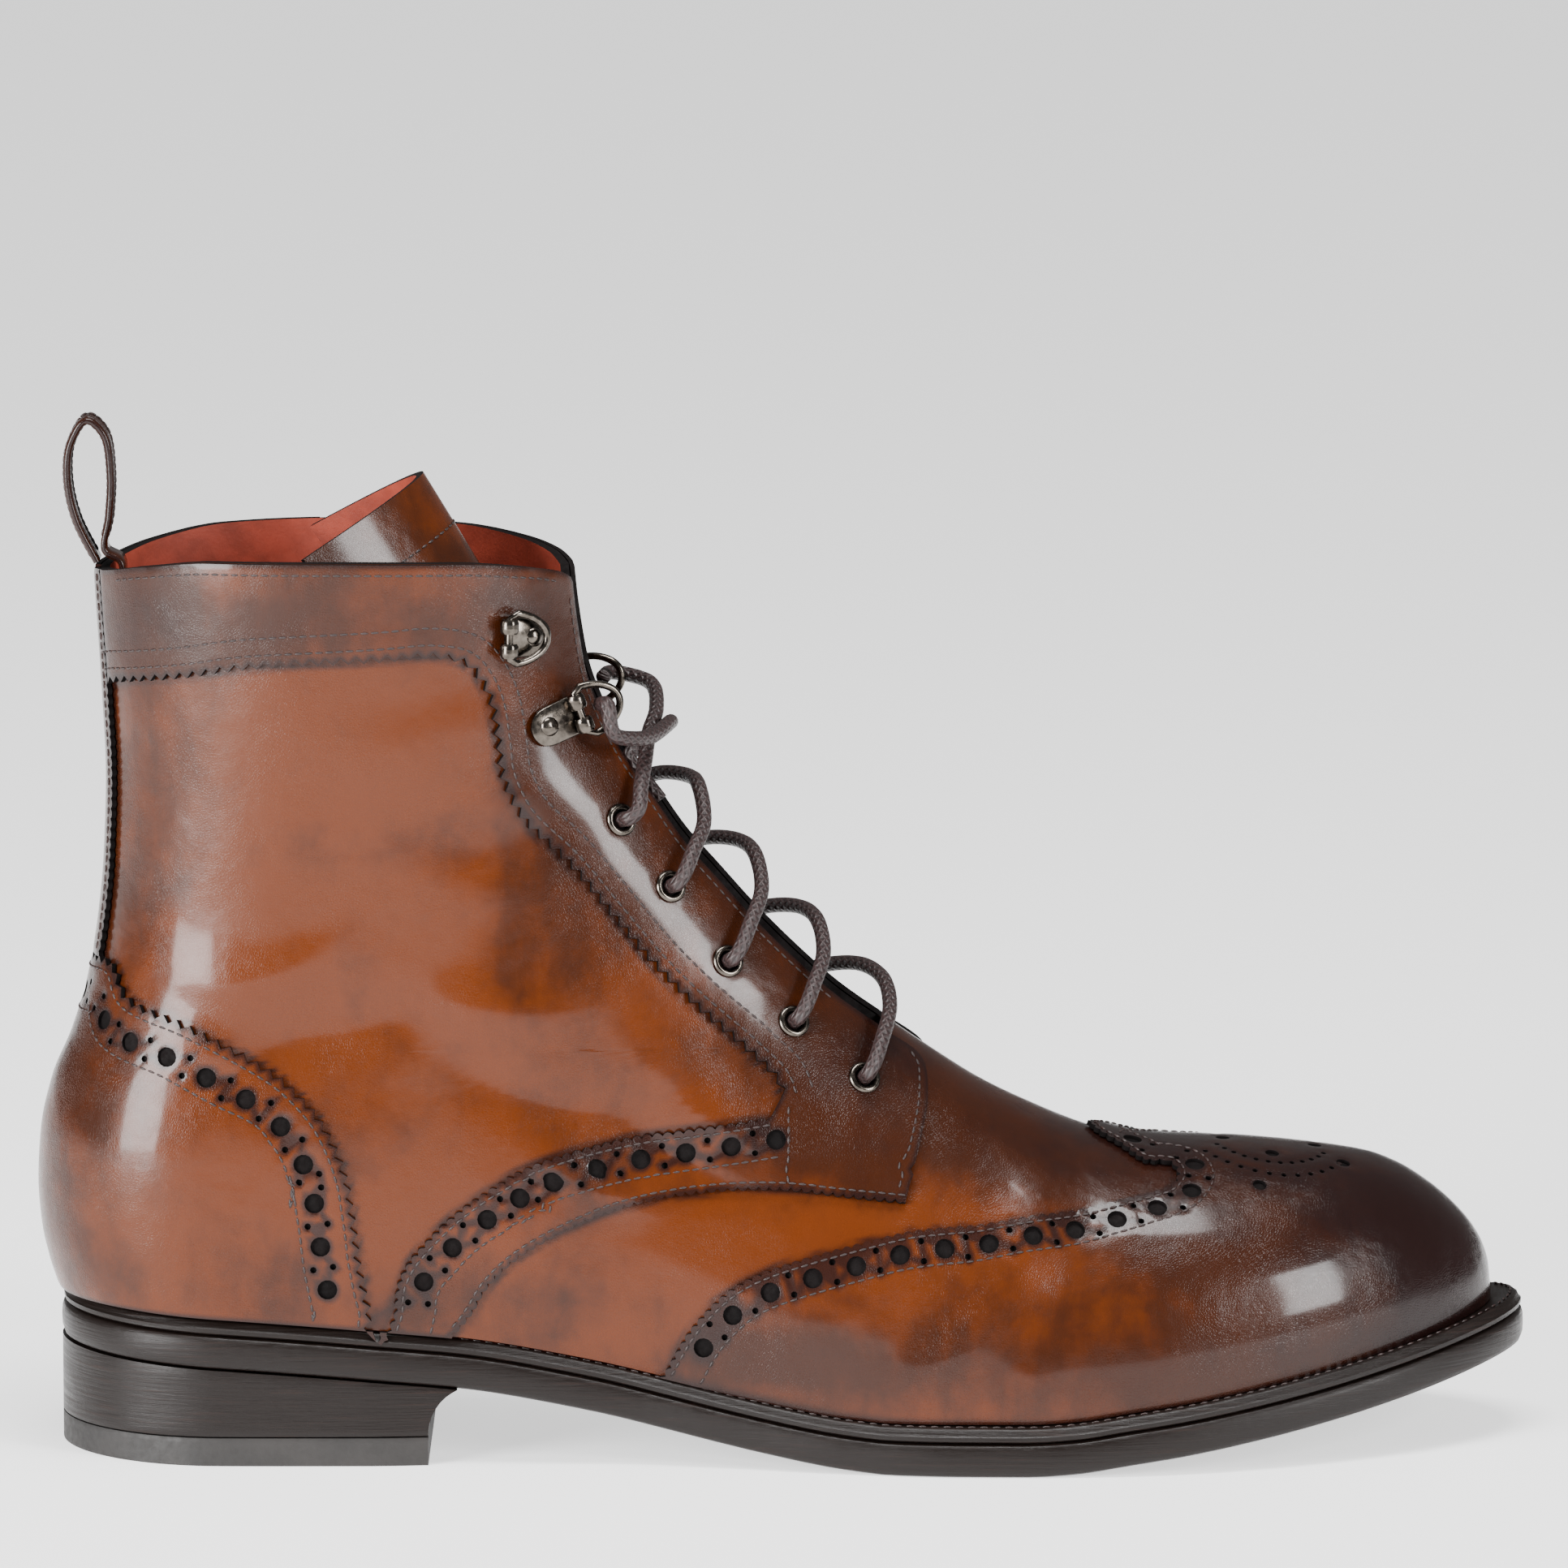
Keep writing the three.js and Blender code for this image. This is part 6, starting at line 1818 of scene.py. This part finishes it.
TONGUE = [(-0.0721, 0.0684, 0.1305, 3.586), (-0.0241, 0.0797, 0.1406, 4.183),
          (0.0433, 0.0979, 0.1606, 4.482),
          (0.1297, 0.1075, 0.1707, 4.582), (0.2355, 0.1102, 0.1807, 4.681), (0.3509, 0.1063, 0.1908, 4.681),
          (0.4759, 0.1080, 0.2008, 4.582), (0.6106, 0.0986, 0.2159, 4.482), (0.7692, 0.1645, 0.2309, 4.382),
          (0.9424, 0.2955, 0.2510, 4.283), (1.1394, 0.4638, 0.2610, 4.183)]
LOOP = [(-0.007, 0), (-0.153, 0.30), (-0.210, 0.58), (-0.187, 0.83), (-0.073, 1.00), (0.047, 0.90),
        (0.093, 0.62),
        (0.080, 0.32), (0.050, 0.08)]


def skin_place(x, z, side, lift):
    x = np.atleast_1d(np.asarray(x, float))
    z = np.atleast_1d(np.asarray(z, float))
    along_x = skin(x + 0.4, z, side) - skin(x - 0.4, z, side)
    along_z = skin(x, z + 0.4, side) - skin(x, z - 0.4, side)
    normal = unit(np.cross(along_x, along_z) * -side)
    return (skin(x, z, side) + normal * lift)[0], normal[0]


def front_of(x, z):
    low, high = INSTEP_TOP, TOP + 3
    for _ in range(40):
        at = 0.5 * (low + high)
        if float(front_x(at)) - at > x - z:
            low = at
        else:
            high = at
    return float(front_x(at)), at


def lace_place(place, side, back, lift):
    x, z = place
    fx, fz = front_of(x, z)
    if back < 0:
        return np.array([fx + 0.7 * lift, float(ridge_y(fx, fz)), fz + 0.7 * lift])
    return skin_place(mix(fx, x, back), mix(fz, z, back), side, lift)[0]


def ring_centre(side, lift):
    origin, u, n = (np.array(part) for part in RING_FRAMES[side])
    turn = math.radians(12.0)
    away = 4.95
    along = 7.4 + away * math.cos(turn) - lift * math.sin(turn)
    out = 2.0 + away * math.sin(turn) + lift * math.cos(turn)
    base = origin * 1000 + np.array([ORIGIN_X, 0, 0])
    return base + u * (along - 7.4) + n * (out - 2.0)


def spline3(points, count):
    points = np.asarray(points, float)
    ends = np.vstack([2 * points[0] - points[1], points, 2 * points[-1] - points[-2]])
    knots = np.concatenate([[0], np.cumsum(np.linalg.norm(np.diff(ends, axis=0), axis=1) ** 0.5)])
    line = []
    for i in range(1, len(ends) - 2):
        p0, p1, p2, p3 = ends[i - 1:i + 3]
        t0, t1, t2, t3 = knots[i - 1:i + 3]
        t = np.linspace(t1, t2, 16, endpoint=False)[:, None]
        a1 = (t1 - t) / (t1 - t0) * p0 + (t - t0) / (t1 - t0) * p1
        a2 = (t2 - t) / (t2 - t1) * p1 + (t - t1) / (t2 - t1) * p2
        a3 = (t3 - t) / (t3 - t2) * p2 + (t - t2) / (t3 - t2) * p3
        b1 = (t2 - t) / (t2 - t0) * a1 + (t - t0) / (t2 - t0) * a2
        b2 = (t3 - t) / (t3 - t1) * a2 + (t - t1) / (t3 - t1) * a3
        line.append((t2 - t) / (t2 - t1) * b1 + (t - t1) / (t2 - t1) * b2)
    line = np.vstack(line + [points[-1:]])
    gone = np.concatenate([[0], np.cumsum(np.linalg.norm(np.diff(line, axis=0), axis=1))])
    at = np.linspace(0, gone[-1], count)
    return np.stack([np.interp(at, gone, line[:, i]) for i in range(3)], -1)


def lace_piece(name, path, node):
    sides = 14
    rings = tube_rings(path, sizes().lace * 500, sides)
    gone = np.concatenate([[0], np.cumsum(np.linalg.norm(np.diff(path, axis=0), axis=1))])
    points, faces = rings.reshape(-1, 3), grid_faces(len(rings), sides, True)
    faces.append(list(range(sides))[::-1])
    faces.append([(len(rings) - 1) * sides + s for s in range(sides)])
    around = np.tile(np.abs(np.linspace(-1, 1, sides, endpoint=False)), len(rings))
    uvs = np.column_stack([np.repeat(gone, sides) * 0.6, around * 0.5])
    piece = make_piece(name, points, faces, [lace_material()], uvs=uvs)
    if node:
        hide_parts(node)
    return piece


class BOOT_OT_laces(bpy.types.Operator):
    """Round waxed lace through the eyelets, and its free end"""

    bl_idname = "boot.laces"
    bl_label = "Laces"

    def execute(self, context):
        end = [ring_centre(-1, -0.6), ring_centre(-1, 3.8)]
        end += [np.array([x * SOLE_LENGTH, y * COLLAR, z * TOP]) for x, z, y in END_STRAND]
        path = spline3(end, 90)
        piece = lace_piece("lace_free_end", path, "lace_end")
        places = [behind_throat(rise, behind) for rise, behind in EYELETS]
        for i in range(4):
            a, b = np.array(places[i]), np.array(places[i + 1])
            rows = [lace_place(mix(a, b, on), side, back, lift) for side, back, on, lift in CROSSING]
            lace_piece(f"lace_over_{i + 1}", spline3(rows, 110), f"lace_crossing_{i + 1}")
        rows = [lace_place(places[4], -1, back, lift) for back,
                lift in ((1, -3.2), (1, 0.6), (1, 3.6), (1.02, 4.9),
                                                                         (0.86, 5.9))]
        rows += [np.array([x * SOLE_LENGTH, y * COLLAR, z * TOP]) for x, z, y in RING_STRAND]
        rows += [ring_centre(1, 3.8), ring_centre(1, -0.6)]
        lace_piece("lace_to_inner_ring", spline3(rows, 120), "lace_to_ring")
        for i in range(4):
            rows = []
            for side, back in ((1, 1.0), (1, 0.7), (1, 0.35), (-1, 0.35), (-1, 0.7), (-1, 1.0)):
                rows.append(lace_place(places[i], side, back, -3.5 - 0.6 * (back < 0.5)))
            lace_piece(f"lace_under_{i + 1}", spline3(rows, 60), None)
        return {"FINISHED"}


class BOOT_OT_tongue(bpy.types.Operator):
    """Curled tongue and the pull loop at the back"""

    bl_idname = "boot.tongue"
    bl_label = "Tongue and pull loop"

    def execute(self, context):
        rows = np.array([[*behind_throat(r, b), half * BALL, curl / BALL] for r, b, half, curl in TONGUE])
        fine = np.stack([curve(np.column_stack([np.arange(11), rows[:, i]]), np.linspace(0, 10, 61))
                         for i in range(4)], -1)
        ahead = unit(np.gradient(fine[:, :2], axis=0))
        inward = np.stack([-ahead[:, 1], ahead[:, 0]], -1)
        cells = 37
        sheets = []
        for thick in (0.0, 1.8):
            grid = np.zeros((61, cells, 3))
            y = np.linspace(-1, 1, cells)[None] * fine[:, 2:3]
            lean = np.arctan(2 * fine[:, 3:4] * y)
            deep = fine[:, 3:4] * y * y + thick * np.cos(lean)
            grid[..., 0] = fine[:, :1] + inward[:, :1] * deep
            grid[..., 1] = ridge_y(fine[:, 0], fine[:, 1])[:, None] + y - thick * np.sin(lean)
            grid[..., 2] = fine[:, 1:2] + inward[:, 1:] * deep
            sheets.append(grid)
        outer, inner = sheets
        count = 61 * cells
        points = np.vstack([outer.reshape(-1, 3), inner.reshape(-1, 3)])
        faces = grid_faces(61, cells)
        faces += [[i + count for i in face[::-1]] for face in grid_faces(61, cells)]
        marks = [0] * (60 * (cells - 1)) + [1] * (60 * (cells - 1))
        rim = [r * cells for r in range(61)] + [60 * cells + c for c in range(1, cells)]
        rim += [r * cells + cells - 1 for r in range(59, -1, -1)] + list(range(cells - 2, 0, -1))
        for a, b in zip(rim, rim[1:] + rim[:1]):
            faces.append([a, b, b + count, a + count])
            marks.append(2)
        normal = vertex_normals(points, faces[:60 * (cells - 1)])
        if np.sum(normal[:count, 0]) < 0:
            faces = [face[::-1] for face in faces]
        shade = np.tile(tone(points[:count], 0.25), 2)
        piece = make_piece("tongue_sheet", points, faces, [overlay_calf(), lining(), ink_and_hole_shade()], marks,
                           {"tone": shade, "edge": np.full(2 * count, 8.0)}, sharp=50)
        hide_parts("tongue")
        line = [outer[-4, c] for c in range(3, cells - 3)]
        side = [outer[r, 3] for r in range(30, 58)]
        for run in (np.array(side), np.array(line)):
            gone = np.concatenate([[0], np.cumsum(np.linalg.norm(np.diff(run, axis=0), axis=1))])
            at = np.arange(0.5, gone[-1], 2.1)
            place = np.stack([np.interp(at, gone, run[:, i]) for i in range(3)], -1)
            along = unit(np.gradient(place, axis=0))
            tongue_threads.append((place + [0.05, 0, 0.05], along))

        foot_x = float(back_x(TOP)) - 0.2
        foot_z = TOP - 5.4 + 1.3
        path = np.array([[foot_x + x * 30, 0, foot_z + z * 30] for x, z in LOOP])
        inside_x = float(back_x(foot_z - 14.1)) + 2 + 3.5 * 0.3 + 0.65
        tail = [[max(float(back_x(foot_z - d)) + 3.7, inside_x), 0, foot_z - d] for d in (0, 7, 14.1)]
        path = spline3(np.vstack([path, tail]), 110)
        ahead = unit(np.gradient(path, axis=0))
        out = np.stack([-ahead[:, 2], np.zeros(len(path)), ahead[:, 0]], -1)
        section = []
        for across, thick in ((-1, -0.35), (-0.93, -1), (0.93, -1), (1, -0.35), (1, 0.35), (0.93, 1),
                              (-0.93, 1),
                              (-1, 0.35)):
            section.append(path + out * thick * 0.65 + np.array([0, across * 4.5, 0]))
        rings = np.stack(section, 1)
        points = rings.reshape(-1, 3)
        faces = grid_faces(len(path), 8, True)
        faces.append(list(range(8))[::-1])
        faces.append([(len(path) - 1) * 8 + s for s in range(8)])
        check = rings[10]
        if np.dot(np.cross(check[1] - check[0], rings[11][0] - check[0]), check[0] - path[10]) < 0:
            faces = [face[::-1] for face in faces]
        edge = np.tile([0.0, 0.4, 0.4, 0.0, 0.0, 0.4, 0.4, 0.0], len(path)) * 4
        piece = make_piece("pull_loop_tape", points, faces, [overlay_calf()], None,
                           {"tone": np.full(len(points), 0.62), "edge": edge}, sharp=60)
        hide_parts("pull_loop")
        threads = []
        for across in (-3.4, 3.4):
            for face in (-1, 1):
                place = path[3:-30:2] + out[3:-30:2] * 0.68 * face + [0, across, 0]
                threads.append((place, ahead[3:-30:2]))
        rows = threads + tongue_threads
        set_on_places("stitches_tongue_and_loop", np.vstack([r[0] for r in rows]),
                      np.vstack([r[1] for r in rows]),
                      sizes().stitch_length, sizes().thread, thread_material())
        return {"FINISHED"}


tongue_threads = []


class BOOT_OT_fittings(bpy.types.Operator):
    """Turned eyelets, rebuilt clips and D rings, and zip teeth; the zip's slider, pull and tape and the insole
    get their finish
    """

    bl_idname = "boot.fittings"
    bl_label = "Eyelets, rings and zip"

    def execute(self, context):
        profile = [(2.0, -3.4), (2.35, -3.4), (2.4, 0.0), (3.35, 0.0), (3.45, 0.2), (3.3, 0.5), (3.0, 0.68),
                   (2.6, 0.72), (2.25, 0.6), (2.05, 0.3)]
        for side, label in ((-1, "lateral"), (1, "medial")):
            for i, (rise, behind) in enumerate(EYELETS):
                x, z = behind_throat(rise, behind)
                centre, normal = skin_place(x, z, side, 1.56)
                points, faces = lathe(profile, 28)
                across = unit(np.cross(normal, [0.0, 0.0, 1.0]))
                up = np.cross(normal, across)
                turned = centre + points[:, :1] * across + points[:, 1:2] * up + points[:, 2:] * normal
                piece = make_piece(f"eyelet_turned_{label}_{i + 1}", turned, faces, [metal()], sharp=50)
                mesh = piece.data
                mesh.update()
                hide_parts(f"eyelet_{label}_{i + 1}")
        for key, (origin, u, t, n, degrees) in CLIPS.items():
            self.clip(key, origin, u, t, n)
            self.ring(key, origin, u, t, n, degrees)
        self.zip_teeth()
        finish = {"insole": lining(),
                  "zip_tape": plain_material("Zip tape", (0.02, 0.012, 0.01), 0.8, 2500.0)}
        for name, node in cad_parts.items():
            if name.startswith(("zip_slider", "zip_pull")):
                finish[name] = metal()
        for name, material in finish.items():
            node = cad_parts[name]
            node.data.materials.clear()
            node.data.materials.append(material)
        return {"FINISHED"}


    def turned(self, points, origin, u, t, n):
        """From a clip's own frame, with the ring's bar at its origin, to the last's frame."""
        axes = np.array([u, t, n])
        return np.asarray(points, float) @ axes + np.array(origin) * 1000 + np.array([ORIGIN_X, 0, 0])

    def clip(self, key, origin, u, t, n):
        """A riveted plate with two fingers folded round the ring's bar."""
        outline = [(0.0, -3.9), (-1.0, -4.2), (-7.4, -4.1)]
        outline += [(-7.4 - 4.3 * math.sin(a), -4.1 * math.cos(a)) for a in np.linspace(0.25,
                                                                                        math.pi - 0.25, 14)]
        outline += [(-7.4, 4.1), (-1.0, 4.2), (0.0, 3.9)]
        outline = np.array(outline)
        rings = []
        for inset, height in ((0.25, -2.0), (0.0, -1.8), (0.0, -1.35), (0.3, -1.1)):
            centre = np.array([-5.0, 0.0])
            ring = centre + (outline - centre) * (1 - inset / 5.0)
            rings.append(np.column_stack([ring, np.full(len(ring), height)]))
        count = len(outline)
        faces = grid_faces(len(rings), count, True)
        faces.append(list(range(count))[::-1])
        faces.append([(len(rings) - 1) * count + i for i in range(count)])
        parts = [(np.vstack(rings), [face[::-1] for face in faces])]
        for low, high in ((-4.1, -1.0), (1.0, 4.1)):
            run = np.linspace(low, high, 6)
            path = np.column_stack([np.zeros(6), run, np.zeros(6)])
            radius = np.array([1.6, 1.95, 1.95, 1.95, 1.95, 1.6])
            tube_points = tube_rings(path, radius, 20).reshape(-1, 3)
            tube_faces = grid_faces(6, 20, True) + [list(range(20))[::-1], [100 + i for i in range(20)]]
            parts.append((tube_points, tube_faces))
        dome = [(0.05, 0.75), (0.8, 0.66), (1.5, 0.42), (2.0, 0.05), (2.1, -0.3), (0.05, -0.3)]
        dome_points, dome_faces = lathe(dome, 22)
        parts.append((dome_points + [-7.4, 0.0, -1.0], dome_faces))
        points, faces, _ = joined(parts)
        piece = make_piece("clip_" + key, self.turned(points, origin, u, t, n), faces, [metal()], sharp=50)
        outward(piece)
        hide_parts("ring_clip_" + key)

    def ring(self, key, origin, u, t, n, degrees):
        """The D ring, a round wire with a straight bar."""
        half, reach = 5.4, 9.1
        turn = math.radians(degrees)
        flat = [(across, 0.0) for across in np.linspace(-0.78 * half, 0.78 * half, 8)]
        flat += [(half * math.cos(a), reach * math.sin(a)) for a in np.linspace(0.2, math.pi - 0.2, 30)]
        path = np.array([(away * math.cos(turn), across, away * math.sin(turn)) for across, away in flat])
        points, faces = tube(self.turned(path, origin, u, t, n), 0.8, 12, True)
        side = key.split("_")[0]
        body = side + "_ring" if key.endswith("top") else "boot"
        piece = make_piece("ring_" + key, points, faces, [metal()], body=body)
        outward(piece)
        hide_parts("d_ring_" + key)

    def zip_teeth(self):
        """Two rows of teeth down the inner side."""
        z = np.arange(71.0, 177.0, 1.25)
        x = zip_x(z)
        places = [skin_place(a, b, 1, 1.45) for a, b in zip(x, z)]
        point = np.array([place for place, _ in places])
        normal = np.array([out for _, out in places])
        down = unit(np.gradient(point, axis=0))
        across = unit(np.cross(normal, down))
        shift = np.where(np.arange(len(z)) % 2 == 0, 0.55, -0.55)[:, None]
        piece = set_on_places("zip_teeth_row", point + across * shift, across, 0.0030, 0.00055, metal())
        return piece


def outward(piece):
    """Turns every closed shell of a joined piece outwards."""
    shape = bmesh.new()
    shape.from_mesh(piece.data)
    bmesh.ops.recalc_face_normals(shape, faces=shape.faces)
    shape.to_mesh(piece.data)
    shape.free()
    piece.data.update()


CLIPS = {
    "lateral_low": ((0.071535, -0.021312, 0.15856), (0.7821, 0.54772, 0.2972), (-0.33306, -0.03567, 0.94223),
                    (0.52668, -0.8359, 0.15453), 12),
    "lateral_top": ((0.056859, -0.029694, 0.175519), (-0.79841, -0.6002, 0.0479), (-0.01586, -0.05857, -0.99816),
                    (0.6019, -0.7977, 0.03725), 174),
    "medial_low": ((0.071536, 0.020318, 0.158542), (0.77711, -0.55579, 0.2953), (0.33054, -0.03886, -0.94299),
                   (0.53558, 0.83041, 0.15351), 12),
    "medial_top": ((0.056957, 0.028883, 0.175514), (-0.79079, 0.61025, 0.04745), (0.01497, -0.05821, 0.99819),
                   (0.61191, 0.79007, 0.03689), 174),
}


class BOOT_PT_panel(bpy.types.Panel):
    """Buttons for the boot's pieces"""

    bl_idname = "BOOT_PT_panel"
    bl_label = "Ankle boot"
    bl_space_type = "VIEW_3D"
    bl_region_type = "UI"
    bl_category = "Boot"

    def draw(self, context):
        layout = self.layout
        for name in ORDER:
            layout.operator("boot." + name)
        for settings in (context.scene.boot_sizes, context.scene.boot_colours):
            box = layout.box()
            for key in settings.__annotations__:
                box.prop(settings, key)


ORDER = ("stage", "laces", "facings", "counter", "wing", "upper", "sole", "tongue", "fittings", "stitches")
CLASSES = (BootSizes, BootColours, BOOT_OT_stage, BOOT_OT_laces, BOOT_OT_facings, BOOT_OT_counter,
           BOOT_OT_wing,
           BOOT_OT_upper, BOOT_OT_sole, BOOT_OT_tongue, BOOT_OT_fittings, BOOT_OT_stitches, BOOT_PT_panel)


def register():
    for item in CLASSES:
        bpy.utils.register_class(item)
    bpy.types.Scene.boot_sizes = bpy.props.PointerProperty(type=BootSizes)
    bpy.types.Scene.boot_colours = bpy.props.PointerProperty(type=BootColours)


def unregister():
    del bpy.types.Scene.boot_colours
    del bpy.types.Scene.boot_sizes
    for item in reversed(CLASSES):
        bpy.utils.unregister_class(item)


def main():
    register()
    for name in ORDER:
        getattr(bpy.ops.boot, name)()


if __name__ == "__main__":
    main()
